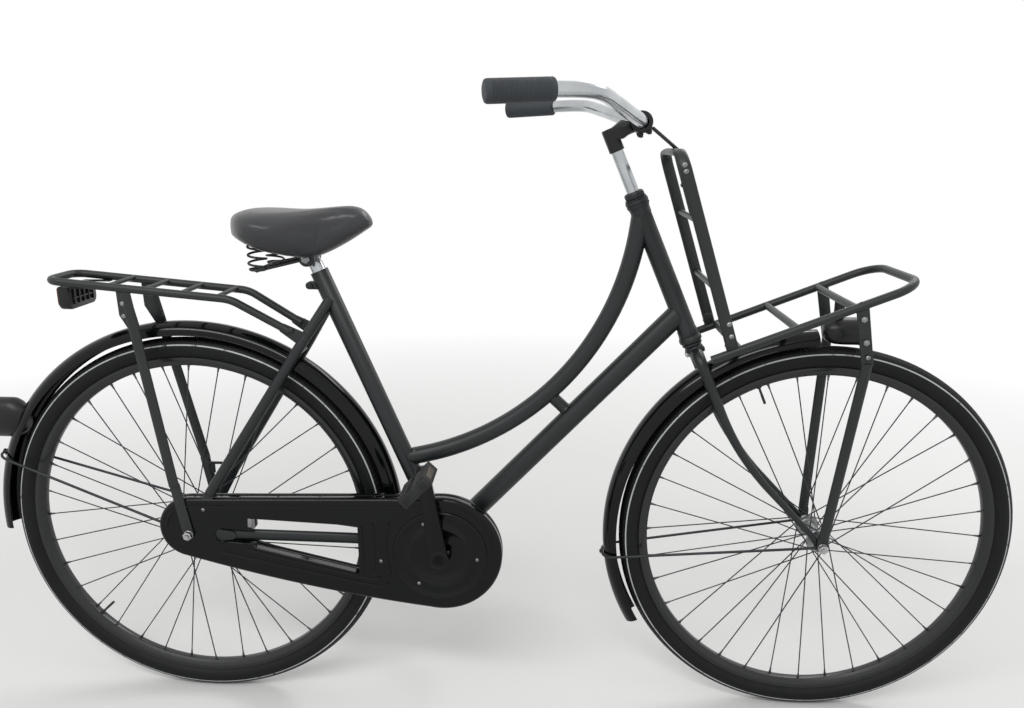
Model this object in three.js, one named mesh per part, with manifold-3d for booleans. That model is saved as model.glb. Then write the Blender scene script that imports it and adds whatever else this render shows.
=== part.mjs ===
// A dutch city bike with a loop frame, a closed chain case, laced wheels, a sprung saddle and
// carriers at the front and the rear. Lengths are in millimetres. X points forward, Y to the left
// side and Z up, and the origin is where the rear tyre meets the ground.
import * as THREE from "three";
import { mergeVertices } from "three/addons/utils/BufferGeometryUtils.js";
import Module from "manifold-3d";

// Clearances
const gap = 0.3; // between pieces that rest on each other
const runningGap = 0.7; // between pieces that turn in each other
const overrun = 5; // how far a cutting shape passes the face that it cuts
const cutterLonger = 40; // how far a tube's cutter passes the ends of the tube

// Places of the main points
const tyreRadius = 355;
const wheelbase = 1142;
const headAngle = THREE.MathUtils.degToRad(66.5);
const forkRake = 78;
const crankX = 460;
const crankZ = 325;
const seatAngle = THREE.MathUtils.degToRad(67.3);

// Wheels
const tyreHalfWidth = 19;
const beadHalfWidth = 9.5;
const tyreSideAngle = THREE.MathUtils.degToRad(140);
const rimRadius = 320;
const rimHalfWidth = 13;
const rimSideDepth = 8;
const rimLip = 3;
const rimWellDepth = 6;
const rimNoseRadius = 303;
const rimNoseHalfWidth = 6;
const valveRadius = 2.6;
const valveReach = 34;
const frontValveAngle = THREE.MathUtils.degToRad(113);
const rearValveAngle = THREE.MathUtils.degToRad(223);
const spokeCount = 36;
const spokeCrossings = 3;
const spokeRadius = 0.95;
const spokeSpread = 1.5;
const spokeSeat = 2;
const rimHoleStagger = 3;
const flangeThickness = 5.4;
const frontFlangeRadius = 21;
const frontFlangeY = 32;
const frontShellRadius = 12;
const rearFlangeRadius = 33;
const rearFlangeY = 27;
const rearShellRadius = 28;
const wheelSides = 32;
const rearHubLip = 1;
const driverRadius = 15.5;
const frontStubRadius = 9;
const hubSides = 10;

// Axles and their nuts
const axleRadius = 4.75;
const frontDropoutY = 50;
const rearDropoutY = 59;
const dropoutThickness = 5;
const nutRadius = 8.5;
const nutThickness = 8;
const axleStub = 4;
const legFootThickness = 3;

// Frame tubes
const headTubeRadius = 16.5;
const headTubeBore = 14;
const headTubeFoot = 440; // along the head axis, from its point nearest the front axle
const headTubeTop = 675;
const cupRadius = 20;
const lowerCupHeight = 13;
const loopTubeRadius = 15.9;
const loopBend = 490;
const loopHeadDrop = 7;
const loopStartAngle = THREE.MathUtils.degToRad(263);
const loopEndAngle = THREE.MathUtils.degToRad(193);
const loopStraight = 24;
const downTubeRadius = 19;
const downTubeRise = 43;
const bridgeRadius = 11;
const bridgeReach = 343;
const bridgeLength = 62;
const seatTubeRadius = 16;
const seatTubeLength = 550;
const seatPostRadius = 12.7;
const seatPostBoreDepth = 240;
const seatPostInsertion = 200;
const clampEarReach = 28;
const clampEarDrop = 28;
const clampEarRadius = 6.5;
const clampEarHalfWidth = 8;
const shellRadius = 20;
const shellHalfWidth = 34;
const crankAxleRadius = 8.5;
const seatStayRadius = 9.5;
const seatStayReach = 498;
const seatStayTopY = 10.5;
const seatStayBendY = 35;
const seatStayBendShare = 0.76; // share of the stay's height at which it bends inward
const seatStayBend = 60;
const stayEndShare = 0.1;
const stayTabX = 44;
const stayTabTop = 80;
const stayTabHalfWidth = 9;
const stayBridgeRadius = 6;
const chainStayHalfWidth = 6.5;
const chainStayHalfHeight = 10.5;
const chainStayStartX = 58;
const chainStayStartY = 58;
const chainStayBendX = 300;
const chainStayInnerY = 30.8;
const chainStayDrop = 0.07; // share of the run that a chain stay drops to the front
const chainStayEndInset = 24;
const dropoutRadius = 20;
const dropoutTabX = 78;
const dropoutTabHalfHeight = 8;

// Fork, headset and stem, in places along the head axis
const steererRadius = 12.7;
const quillRadius = 10.5;
const crownHeight = 404;
const crownY = 38;
const crownTabHalf = 7;
const crownTabDepth = 34;
const bladeRadius = 12.5;
const bladeTipRadius = 5.5;
const bladeKnee = 212;
const bladeBend = 500;
const shoulderBend = 24;
const bladeEndHeight = 16;
const forkEndRadius = 10.3;
const steererTop = 692;
const locknutHeight = 14;
const locknutRadius = 19;
const quillFoot = 610;
const sleeveFoot = 778;
const sleeveTop = 817;
const sleeveRadius = 13;
const barForward = 53;
const barHeight = 806;
const stemArmRadius = 11;
const barClampRadius = 18;
const barClampHalfWidth = 21;

// Handlebar
const barRadius = 11;
const barSides = 10;
const barSteps = 20;
const gripRadius = 16.5;
const gripEdge = 5;
const gripLength = 98;
// Places of one half of the bar, counted from its middle: to the rear, across and up
const barCourse = [
  [8, 50, 3],
  [27, 100, 11],
  [53, 160, 23],
  [86, 225, 35],
  [143, 266, 35.5],
  [231, 297, 31],
];

// Chain drive
const chainLine = 46;
const chainringTeeth = 38;
const sprocketTeeth = 18;
const chainPitch = 12.7;
const chainHalfHeight = 4;
const chainHalfWidth = 4.5;
const toothDepth = 4.5;
const toothedThickness = 3;
const chainringSpiderRadius = 45;
const chainringHoleRadius = 9;
const chainringHoles = 5;
const crankBossRadius = 13.5;
const crankLength = 167;
const crankInnerY = 70.5;
const crankThickness = 14;
const crankEyeRadius = 17;
const crankTipRadius = 12;
const crankPitch = THREE.MathUtils.degToRad(99);
const pedalAxleRadius = 5;
const pedalInset = 7;
const pedalHalfWidth = 40;
const pedalHalfLength = 32;
const pedalHalfHeight = 11;
const pedalBlockLength = 19;
const pedalCageThickness = 4;
const pedalBarrelRadius = 9;
const pedalGrooveDepth = 3;
const pedalGrooveHalfWidth = 3;
const pedalGrooves = 3;
const pedalPitch = THREE.MathUtils.degToRad(46);

// Chain case
const caseFrontRadius = 110;
const caseFrontX = 463;
const caseRearRadius = 58;
const caseRearX = 2;
const caseRearZ = 366;
const caseBow = 9;
const caseWall = 2;
const caseOuterY = 66;
const caseSplitY = 52;
const caseInnerY = 38;
const caseEdge = 5;
const caseWindowRear = 118;
const caseWindowFront = 311;
const caseWindowRearTop = 388;
const caseWindowRearFoot = 330;
const caseWindowFrontTop = 379;
const caseWindowFrontFoot = 284;
const caseSlotRear = 62;
const caseSlotFront = 334;
const caseSlotHalfHeight = 14;
const caseCoverHole = 70;
const caseCoverRadius = 86;
const caseCoverThickness = 2.6;
const caseCoverRingRadius = 56;
const caseCoverRing = 1.2;
const caseDriverHole = 24;

// Mudguards
const archSteps = 6;
const mudguardSteps = 15;
const mudguardBase = 362;
const mudguardCrown = 23;
const mudguardWall = 1.6;
const rearMudguardHalfWidth = 23.7;
const frontMudguardHalfWidth = 25;
const rearMudguardFrom = THREE.MathUtils.degToRad(-14);
const rearMudguardTo = THREE.MathUtils.degToRad(183);
const frontMudguardFrom = THREE.MathUtils.degToRad(94);
const frontMudguardTo = THREE.MathUtils.degToRad(209);
const stayWireRadius = 2.4;
const rearStayAngle = THREE.MathUtils.degToRad(160.7);
const frontStayAngle = THREE.MathUtils.degToRad(187);
const stayWireBend = 22;
const stayWireStart = 24;
const eyeRadius = 9;
const eyeThickness = 2.6;

// Rear carrier
const railRadius = 7;
const railY = 46;
const carrierRearX = -217;
const carrierRearZ = 817;
const carrierKneeX = 103;
const carrierKneeZ = 788;
const carrierPlateX = 200;
const carrierPlateZ = 731;
const railBend = 22;
const crossRodRadius = 4;
const crossRodRear = -107;
const crossRodSpacing = 63;
const crossRods = 4;
const endPlateThickness = 3;
const endPlateHalfHeight = 10;
const endPlateLength = 34;
const legHeadHeight = 46;
const legHeadRadius = 11;
const endPlateY = 35;
const legTopX = -81;
const legHalfWidth = 9.5;
const legHalfThickness = 4;
const legPlateTop = 95;

// Front carrier
const frontRailY = 101;
const platformRearX = 918;
const platformRearZ = 707;
const platformFrontX = 1243;
const platformSlope = THREE.MathUtils.degToRad(21.8);
const platformBend = 46;
const platformRodRadius = 6.4;
const platformCross = [48, 145, 240]; // along the platform from its rear end
const rackFootX = 950;
const rackTopX = 851;
const rackTopZ = 1037;
const rackHalfWidth = 10;
const rackHalfThickness = 5;
const rackBend = 30;
const rackBarHeights = [0.31, 0.66]; // shares of the rack's height
const rackBarRadius = 5;
const strutFootY = 57;
const strutTopX = 1168;
const strutTopZ = 705;
const strutPlateTopX = 1151;
const strutPlateFootHalfWidth = 9.6;
const strutPlateHalfWidth = 10.5;
const topRodRadius = 2.2;
const topRodY = 10;
const topRodAngle = THREE.MathUtils.degToRad(24);

// Headlamp
const lampX = 1125;
const lampLength = 64;
const lampRadius = 24;
const lampZ = 737;
const lensLength = 15;
const lampBracketHalfWidth = 9;
const lampBracketX = 1150;
const lampBracketThickness = 3;

// Rear reflector and tail light
const reflectorRearX = -204;
const reflectorFaceDepth = 20;
const reflectorFrontX = -147;
const reflectorHalfWidth = 46;
const reflectorHeight = 44;
const reflectorFrontHeight = 20;
const tailLightZ = 552;
const tailLightHalfWidth = 25;
const tailLightHalfHeight = 38;
const tailLightDepth = 46;
const tailLensThickness = 12;

// Saddle: places along the cushion, from the rear end to the nose
const saddleRear = 104;
const saddleLength = 243;
const saddleHalfWidth = 98;
const saddleTop = 945;
const saddleDepth = 87;
const railWireRadius = 3.5;
const railNoseShare = 0.89;
const railNoseZ = 902;
const clampZ = 856;
const clampSetback = 5;
const clampRadius = 14;
const clampHalfLength = 24;
const springRadius = 15;
const springWireRadius = 2;
const springCurls = 3;
const springSteps = 8; // in one curl
const springPitch = 14;
const springX = 156;
const springY = 46;
const springFootZ = 845;
const springPocketClearance = 3;

// Side marks: the chain side is the right side of the bike
const right = -1;
const left = 1;

// Places worked out from the sizes above
const hubHeight = tyreRadius;
const headUp = point(-Math.cos(headAngle), 0, Math.sin(headAngle));
const headForward = point(Math.sin(headAngle), 0, Math.cos(headAngle));
const headFoot = point(wheelbase, 0, hubHeight).addScaledVector(headForward, -forkRake);
const seatUp = point(-Math.cos(seatAngle), 0, Math.sin(seatAngle));
const crankCentre = point(crankX, 0, crankZ);
const chainringRadius = (chainPitch * chainringTeeth) / (2 * Math.PI);
const sprocketRadius = (chainPitch * sprocketTeeth) / (2 * Math.PI);

const wasm = await Module();
wasm.setup();

// General tools

function point(x, y, z) {
  return new THREE.Vector3(x, y, z);
}

/** A closed solid made from a geometry, with its shared corners merged. */
function solidOf(shape) {
  if (!shape.isBufferGeometry) return shape;
  const bare = new THREE.BufferGeometry();
  const loose = shape.index ? shape.toNonIndexed() : shape;
  bare.setAttribute("position", loose.getAttribute("position"));
  const merged = mergeVertices(bare);
  return new wasm.Manifold(
    new wasm.Mesh({
      numProp: 3,
      vertProperties: merged.attributes.position.array,
      triVerts: new Uint32Array(merged.index.array),
    }),
  );
}

/** All the given shapes as one solid. */
function join(...shapes) {
  return shapes.map(solidOf).reduce((whole, shape) => whole.add(shape));
}

/** The first shape without what the others take up. */
function cut(shape, ...tools) {
  return tools.map(solidOf).reduce((rest, tool) => rest.subtract(tool), solidOf(shape));
}

/** A geometry that a mesh can show, from a geometry or a solid. */
function geometryOf(shape) {
  if (shape.isBufferGeometry) return shape;
  const mesh = shape.getMesh();
  const geometry = new THREE.BufferGeometry();
  geometry.setAttribute("position", new THREE.BufferAttribute(mesh.vertProperties, 3));
  geometry.setIndex(new THREE.BufferAttribute(mesh.triVerts, 1));
  geometry.computeVertexNormals();
  return geometry;
}

/** A path through stations, each with its place and its direction. */
class Route extends THREE.Curve {
  constructor(stations) {
    super();
    this.stations = stations;
  }

  getPoint(share, target = new THREE.Vector3()) {
    const place = share * (this.stations.length - 1);
    const index = Math.min(Math.floor(place), this.stations.length - 2);
    const { at } = this.stations[index];
    return target.lerpVectors(at, this.stations[index + 1].at, place - index);
  }

  getPointAt(share, target) {
    return this.getPoint(share, target);
  }

  getTangentAt(share, target = new THREE.Vector3()) {
    return target.copy(this.stations[Math.round(share * (this.stations.length - 1))].along);
  }
}

/** Straight runs between corners, with a round bend of its own radius at each inner corner. */
function bentRoute(corners, bends, bendSteps) {
  const inner = corners.slice(1, -1).flatMap((corner, index) => {
    const into = corner.clone().sub(corners[index]).normalize();
    const out = corners[index + 2].clone().sub(corner).normalize();
    const turn = into.angleTo(out);
    const side = out.clone().addScaledVector(into, -into.dot(out)).normalize();
    const bend = Array.isArray(bends) ? bends[index] : bends;
    const centre = corner
      .clone()
      .addScaledVector(into, -bend * Math.tan(turn / 2))
      .addScaledVector(side, bend);
    return Array.from({ length: bendSteps + 1 }, (_, step) => {
      const angle = (turn * step) / bendSteps;
      return {
        at: centre
          .clone()
          .addScaledVector(side, -bend * Math.cos(angle))
          .addScaledVector(into, bend * Math.sin(angle)),
        along: into
          .clone()
          .multiplyScalar(Math.cos(angle))
          .addScaledVector(side, Math.sin(angle)),
      };
    });
  });
  const first = corners[0];
  const last = corners.at(-1);
  return new Route([
    { at: first, along: corners[1].clone().sub(first).normalize() },
    ...inner,
    { at: last, along: last.clone().sub(corners.at(-2)).normalize() },
  ]);
}

/** A round arc in the plane of the bike, counted from forward toward up. */
function arcRoute(centre, radius, from, to, steps) {
  return new Route(
    Array.from({ length: steps + 1 }, (_, step) => {
      const angle = from + ((to - from) * step) / steps;
      return {
        at: centre.clone().add(point(radius * Math.cos(angle), 0, radius * Math.sin(angle))),
        along: point(-Math.sin(angle), 0, Math.cos(angle)),
      };
    }),
  );
}

/** A smooth curve through a few places. */
function smoothRoute(places, steps) {
  const curve = new THREE.CatmullRomCurve3(places);
  return new Route(
    Array.from({ length: steps + 1 }, (_, step) => ({
      at: curve.getPointAt(step / steps),
      along: curve.getTangentAt(step / steps),
    })),
  );
}

/** An oval section as a shape. */
function ovalSection(halfWidth, halfHeight, sides) {
  return new THREE.Shape(
    Array.from({ length: sides }, (_, side) => {
      const angle = (2 * Math.PI * side) / sides;
      return new THREE.Vector2(halfWidth * Math.cos(angle), halfHeight * Math.sin(angle));
    }),
  );
}

/** A section carried along a route. */
function sweep(section, route) {
  return new THREE.ExtrudeGeometry(section, {
    steps: route.stations.length - 1,
    extrudePath: route,
    bevelEnabled: false,
  });
}

function pipe(route, radius, sides) {
  return sweep(ovalSection(radius, radius, sides), route);
}

/** Rings of as many points each, joined to a closed solid with flat ends. */
function loft(rings) {
  const count = rings[0].length;
  const faces = [];
  for (let ring = 1; ring < rings.length; ring += 1) {
    for (let side = 0; side < count; side += 1) {
      const next = (side + 1) % count;
      const low = (ring - 1) * count;
      const high = ring * count;
      faces.push(low + side, low + next, high + next, low + side, high + next, high + side);
    }
  }
  const end = (rings.length - 1) * count;
  for (let side = 1; side < count - 1; side += 1) {
    faces.push(0, side + 1, side, end, end + side, end + side + 1);
  }
  const geometry = new THREE.BufferGeometry().setFromPoints(rings.flat());
  geometry.setIndex(faces);
  return geometry;
}

/** A round pipe whose radius goes evenly from the first to the last station. */
function taperedPipe(route, radius, endRadius, sides) {
  const steps = route.stations.length - 1;
  const frames = route.computeFrenetFrames(steps, false);
  return loft(
    route.stations.map(({ at }, step) => {
      const size = radius + ((endRadius - radius) * step) / steps;
      return Array.from({ length: sides }, (_, side) => {
        const angle = (2 * Math.PI * side) / sides;
        return at
          .clone()
          .addScaledVector(frames.normals[step], size * Math.cos(angle))
          .addScaledVector(frames.binormals[step], size * Math.sin(angle));
      });
    }),
  );
}

/** A round bar between two points. */
function rod(start, end, radius, sides) {
  return sweep(ovalSection(radius, radius, sides), bentRoute([start, end], 0, 0));
}

/** A bar across the bike. */
function crossRod(x, z, radius, fromY, toY, sides) {
  return rod(point(x, fromY, z), point(x, toY, z), radius, sides);
}

/** A profile of radii and places across the bike, turned round the Y axis. */
function revolve(profile, sides) {
  return new THREE.LatheGeometry(
    profile.map(([radius, place]) => new THREE.Vector2(radius, place)),
    sides,
  );
}

/** A ring round the Y axis. */
function ring(bore, radius, from, to, sides) {
  return revolve([[bore, from], [radius, from], [radius, to], [bore, to], [bore, from]], sides);
}

/** A disc round the Y axis. */
function disc(radius, from, to, sides) {
  return revolve([[0, from], [radius, from], [radius, to], [0, to]], sides);
}

/** A flat outline in the plane of the bike, as thick as the distance between two places across. */
function plate(outline, fromY, toY, holes = []) {
  const shape = new THREE.Shape(outline);
  shape.holes = holes.map((hole) => new THREE.Path(hole));
  const low = Math.min(fromY, toY);
  const high = Math.max(fromY, toY);
  const geometry = new THREE.ExtrudeGeometry(shape, { depth: high - low, bevelEnabled: false });
  return geometry.rotateX(Math.PI / 2).translate(0, high, 0);
}

/** Points of an arc in an outline. */
function arc(x, z, radius, from, to, steps) {
  return Array.from({ length: steps + 1 }, (_, step) => {
    const angle = from + ((to - from) * step) / steps;
    return new THREE.Vector2(x + radius * Math.cos(angle), z + radius * Math.sin(angle));
  });
}

/** A full circle in an outline, open at its last side. */
function circle(x, z, radius, sides) {
  return arc(x, z, radius, 0, (2 * Math.PI * (sides - 1)) / sides, sides - 1);
}

/** A straight bar with round ends in the plane of the bike. */
function link(fromX, fromZ, toX, toZ, radius, toRadius, fromY, toY) {
  const turn = Math.atan2(toZ - fromZ, toX - fromX);
  const outline = [
    ...arc(toX, toZ, toRadius, turn - Math.PI / 2, turn + Math.PI / 2, 6),
    ...arc(fromX, fromZ, radius, turn + Math.PI / 2, turn + 1.5 * Math.PI, 6),
  ];
  return plate(outline, fromY, toY);
}

function box(fromX, toX, fromY, toY, fromZ, toZ) {
  const geometry = new THREE.BoxGeometry(toX - fromX, toY - fromY, toZ - fromZ);
  return geometry.translate((fromX + toX) / 2, (fromY + toY) / 2, (fromZ + toZ) / 2);
}

/** Turns a shape made round the Y axis so that it stands on the Z axis. */
function upright(geometry) {
  return geometry.rotateX(Math.PI / 2);
}

function onHeadAxis(along, forward = 0, y = 0) {
  return headFoot
    .clone()
    .addScaledVector(headUp, along)
    .addScaledVector(headForward, forward)
    .add(point(0, y, 0));
}

function onSeatTube(along) {
  return crankCentre.clone().addScaledVector(seatUp, along);
}

function headCutter() {
  const from = onHeadAxis(headTubeFoot - cutterLonger);
  const to = onHeadAxis(headTubeTop + cutterLonger);
  return rod(from, to, headTubeRadius + gap, 20);
}

function shellCutter() {
  return crossRod(crankX, crankZ, shellRadius + gap, -shellHalfWidth - overrun, shellHalfWidth + overrun, 20);
}

function seatTubeCutter() {
  const from = onSeatTube(0);
  const to = onSeatTube(seatTubeLength + cutterLonger);
  return rod(from, to, seatTubeRadius + gap, 18);
}

// Finishes

function finish(color, roughness, metalness) {
  return { color, roughness, metalness };
}

const blackFrame = finish(0x14191b, 0.38, 0.2);
const blackGloss = finish(0x0d0f11, 0.16, 0.1);
const blackCarrier = finish(0x23282b, 0.45, 0.2);
const blackPlastic = finish(0x15171a, 0.5, 0);
const chrome = finish(0xd5d8da, 0.12, 1);
const steel = finish(0x8f9396, 0.35, 1);
const darkSteel = finish(0x34373a, 0.4, 0.8);
const rubber = finish(0x1a1c1e, 0.85, 0);
const vinyl = finish(0x121417, 0.32, 0);
const redLens = finish(0x8c1210, 0.2, 0);
const clearLens = finish(0xdde4e8, 0.08, 0);

function addPiece(group, name, shape, look) {
  const mesh = new THREE.Mesh(geometryOf(shape), new THREE.MeshStandardMaterial(look));
  mesh.name = name;
  group.add(mesh);
}

function sideName(side) {
  return side === right ? "right" : "left";
}

// Frame

function headTube() {
  return upright(ring(headTubeBore, headTubeRadius, headTubeFoot, headTubeTop, 20));
}

/** A headset cup: a flared ring that stands on one end of the head tube. */
function headsetCup(from, to) {
  const bore = steererRadius + runningGap;
  const waist = headTubeRadius + (cupRadius - headTubeRadius) / 2;
  const profile = [
    [bore, from],
    [waist, from],
    [cupRadius, (from + to) / 2],
    [cupRadius, to],
    [bore, to],
    [bore, from],
  ];
  if (from < to) return upright(revolve(profile, 16));
  return upright(revolve(profile.reverse(), 16));
}

/** The centre line of the loop tube, which drops from the head tube in one wide bend. */
function loopRoute() {
  const start = onHeadAxis(headTubeTop - loopHeadDrop);
  const startWay = point(Math.cos(loopStartAngle), 0, Math.sin(loopStartAngle));
  const turn = loopStartAngle - loopEndAngle;
  const corner = start
    .clone()
    .addScaledVector(startWay, loopStraight + loopBend * Math.tan(turn / 2));
  const endWay = point(Math.cos(loopEndAngle), 0, Math.sin(loopEndAngle));
  const toSeat = (corner.x - crankX) * Math.sin(seatAngle) + (corner.z - crankZ) * Math.cos(seatAngle);
  const approach = -(endWay.x * Math.sin(seatAngle) + endWay.z * Math.cos(seatAngle));
  const end = corner.clone().addScaledVector(endWay, toSeat / approach);
  return bentRoute([start, corner, end], loopBend, 10);
}

function loopTube() {
  return cut(pipe(loopRoute(), loopTubeRadius, 12), headCutter(), seatTubeCutter());
}

function downTube() {
  const top = onHeadAxis(headTubeFoot + downTubeRise);
  const way = top.clone().sub(crankCentre).normalize();
  const tube = rod(crankCentre, top, downTubeRadius, 16);
  const foot = crankCentre.clone().addScaledVector(way, bridgeReach);
  const across = point(-way.z, 0, way.x);
  const bridge = rod(foot, foot.clone().addScaledVector(across, bridgeLength), bridgeRadius, 12);
  return cut(
    join(tube, bridge),
    headCutter(),
    shellCutter(),
    seatTubeCutter(),
    pipe(loopRoute(), loopTubeRadius + gap, 12),
  );
}

function seatTube() {
  const top = onSeatTube(seatTubeLength);
  const tube = rod(crankCentre, top, seatTubeRadius, 18);
  const ear = onSeatTube(seatTubeLength - clampEarDrop);
  const earBar = link(
    ear.x,
    ear.z,
    ear.x - clampEarReach,
    ear.z,
    clampEarRadius,
    clampEarRadius,
    -clampEarHalfWidth,
    clampEarHalfWidth,
  );
  const boreFoot = onSeatTube(seatTubeLength - seatPostBoreDepth);
  const boreTop = onSeatTube(seatTubeLength + overrun);
  const bore = rod(boreFoot, boreTop, seatPostRadius + gap, 20);
  return cut(join(tube, earBar), bore, shellCutter());
}

function bottomBracketShell() {
  return ring(crankAxleRadius + runningGap, shellRadius, -shellHalfWidth, shellHalfWidth, 20);
}

/** The flat fork end of one rear side, with its tabs for the seat stay and the chain stay. */
function rearDropout(side) {
  const inner = side * rearDropoutY;
  const outer = side * (rearDropoutY + dropoutThickness);
  const round = link(
    0,
    hubHeight,
    dropoutTabX,
    chainStayZ(dropoutTabX),
    dropoutRadius,
    dropoutTabHalfHeight,
    inner,
    outer,
  );
  const tab = stayTab(side, 0);
  const hole = crossRod(0, hubHeight, axleRadius + gap, inner - side * overrun, outer + side * overrun, 12);
  return cut(join(round, tab), hole);
}

/** The tab that carries the seat stay, grown by a margin all round. */
function stayTab(side, margin) {
  const half = stayTabHalfWidth + margin;
  const inner = side * (rearDropoutY - margin);
  const outer = side * (rearDropoutY + dropoutThickness + margin);
  return link(0, hubHeight, stayTabX, hubHeight + stayTabTop, half, half, inner, outer);
}

function chainStayZ(x) {
  return hubHeight + chainStayHalfWidth / 2 - chainStayDrop * x;
}

/** The centre line of a chain stay, from its fork end to the crank shell. */
function chainStayRoute(side) {
  const endX = crankX;
  return bentRoute(
    [
      point(chainStayStartX, side * chainStayStartY, chainStayZ(chainStayStartX)),
      point(chainStayBendX, side * chainStayInnerY, chainStayZ(chainStayBendX)),
      point(endX - shellRadius, side * chainStayInnerY, chainStayZ(endX - shellRadius)),
      point(endX, side * chainStayEndInset, crankZ),
    ],
    [tyreRadius, shellRadius / 2],
    3,
  );
}

function chainStay(side) {
  const section = ovalSection(chainStayHalfHeight, chainStayHalfWidth, 10);
  return cut(join(sweep(section, chainStayRoute(side)), rearDropout(side)), shellCutter());
}

function seatStayEnds(side) {
  const lower = point(stayTabX, side * (rearDropoutY + dropoutThickness / 2), hubHeight + stayTabTop);
  const upper = onSeatTube(seatStayReach).add(point(0, side * seatStayTopY, 0));
  return { lower, upper };
}

/** The place on a seat stay where the mudguard's crown passes between the stays. */
function stayBridgePlace() {
  const { lower, upper } = seatStayEnds(left);
  const reach = mudguardBase + mudguardCrown + gap + stayBridgeRadius;
  const from = lower.clone().setY(0).sub(point(0, 0, hubHeight));
  const way = upper.clone().setY(0).sub(point(0, 0, hubHeight)).sub(from);
  const half = from.dot(way) / way.lengthSq();
  const rest = (from.lengthSq() - reach ** 2) / way.lengthSq();
  const share = -half + Math.sqrt(half ** 2 - rest);
  const bendY = (seatStayBendY - lower.y) / seatStayBendShare;
  return lower.clone().lerp(upper, share).setY(lower.y + bendY * share);
}

/** The centre line of a seat stay: apart beside the wheel, then inward to the seat tube. */
function seatStayRoute(side, longer = 0) {
  const { lower, upper } = seatStayEnds(side);
  const bend = lower.clone().lerp(upper, seatStayBendShare).setY(side * seatStayBendY);
  const foot = lower.clone().lerp(bend, -longer);
  return bentRoute([foot, bend, upper], seatStayBend, 3);
}

function seatStay(side) {
  const tube = pipe(seatStayRoute(side), seatStayRadius, 10);
  const tabCutter = stayTab(side, gap);
  const bridgeAt = stayBridgePlace();
  if (side === right) return cut(tube, tabCutter, seatTubeCutter(), bridgeCutter(bridgeAt));
  const bridge = crossRod(bridgeAt.x, bridgeAt.z, stayBridgeRadius, -bridgeAt.y, bridgeAt.y, 8);
  const halfTube = box(-tyreRadius, tyreRadius, right * tyreRadius, 0, hubHeight, saddleTop);
  const nearHalf = cut(tube, tabCutter, seatTubeCutter(), halfTube);
  return join(nearHalf, bridge);
}

/** What the right seat stay leaves free for the end of the bridge. */
function bridgeCutter(at) {
  return crossRod(at.x, at.z, stayBridgeRadius + gap, -at.y - gap, at.y, 8);
}

// Steering

/** One fork blade from the crown down to its end, raked forward in its lower part. */
function forkBlade(side) {
  const endY = side * (frontDropoutY + dropoutThickness / 2);
  const route = bentRoute(
    [
      point(0, 0, crownHeight),
      point(0, side * crownY, crownHeight),
      point(0, side * (crownY + (frontDropoutY - crownY) / 2), bladeKnee),
      point(forkRake - bladeEndHeight / 3, endY, bladeEndHeight),
    ],
    [shoulderBend, bladeBend],
    4,
  );
  return taperedPipe(route, bladeRadius, bladeTipRadius, 8);
}

function forkEnd(side) {
  const from = side * frontDropoutY;
  const to = side * (frontDropoutY + dropoutThickness);
  const topX = forkRake - bladeEndHeight / 2;
  const topZ = bladeEndHeight + bladeTipRadius;
  const tab = link(forkRake, 0, topX, topZ, forkEndRadius, bladeTipRadius, from, to);
  const hole = crossRod(forkRake, 0, axleRadius + gap, from - side * overrun, to + side * overrun, 12);
  return cut(tab, hole);
}

function fork() {
  const steerer = upright(disc(steererRadius, crownHeight, steererTop, 16));
  const boreFoot = crownHeight + bladeRadius * 2;
  const bore = upright(disc(quillRadius + gap, boreFoot, steererTop + overrun, 16));
  const blades = [right, left].map((side) => join(forkBlade(side), forkEnd(side)));
  const holeEnd = frontDropoutY + dropoutThickness + overrun;
  const holes = crossRod(forkRake, 0, axleRadius + gap, -holeEnd, holeEnd, 12);
  const tabFoot = crownHeight - crownTabDepth;
  const tab = box(-crownTabHalf, crownTabHalf, -crownTabHalf, crownTabHalf, tabFoot, crownHeight);
  const guard = mudguardSpace(frontMudguardHalfWidth, frontMudguardFrom, frontMudguardTo)
    .rotateY(Math.PI / 2 - headAngle)
    .translate(forkRake, 0, 0);
  return cut(join(steerer, cut(tab, guard), ...blades), bore, holes);
}

function headsetLocknut() {
  const low = steererTop + gap;
  const high = low + locknutHeight;
  const edge = locknutHeight / 4;
  const profile = [
    [quillRadius + gap, low],
    [locknutRadius, low],
    [locknutRadius, high - edge],
    [locknutRadius - edge, high],
    [quillRadius + gap, high],
    [quillRadius + gap, low],
  ];
  return upright(revolve(profile, 16));
}

function quill() {
  return upright(disc(quillRadius, quillFoot, sleeveTop - stemArmRadius, 16));
}

function stemClamp() {
  const sleeve = upright(disc(sleeveRadius, sleeveFoot, sleeveTop, 16));
  const arm = rod(point(0, 0, barHeight), point(barForward, 0, barHeight), stemArmRadius, 14);
  const clamp = disc(barClampRadius, -barClampHalfWidth, barClampHalfWidth, 12);
  clamp.translate(barForward, 0, barHeight);
  const boreTop = sleeveTop - stemArmRadius + gap;
  const quillBore = upright(disc(quillRadius + gap, sleeveFoot - overrun, boreTop, 16));
  return cut(join(sleeve, arm, clamp), quillBore, barBore());
}

/** The places of one half of the bar, in the frame of the head axis. */
function barPlaces(side) {
  const tilt = Math.PI / 2 - headAngle;
  return barCourse.map(([back, across, up]) =>
    point(-back, side * across, up)
      .applyAxisAngle(point(0, 1, 0), tilt)
      .add(point(barForward, 0, barHeight)),
  );
}

function barRoute() {
  const middle = point(barForward, 0, barHeight);
  return smoothRoute([...barPlaces(right).reverse(), middle, ...barPlaces(left)], barSteps);
}

function gripAxis(side) {
  const [front, rear] = barPlaces(side).slice(-2);
  return { rear, way: front.clone().sub(rear).normalize() };
}

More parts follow.
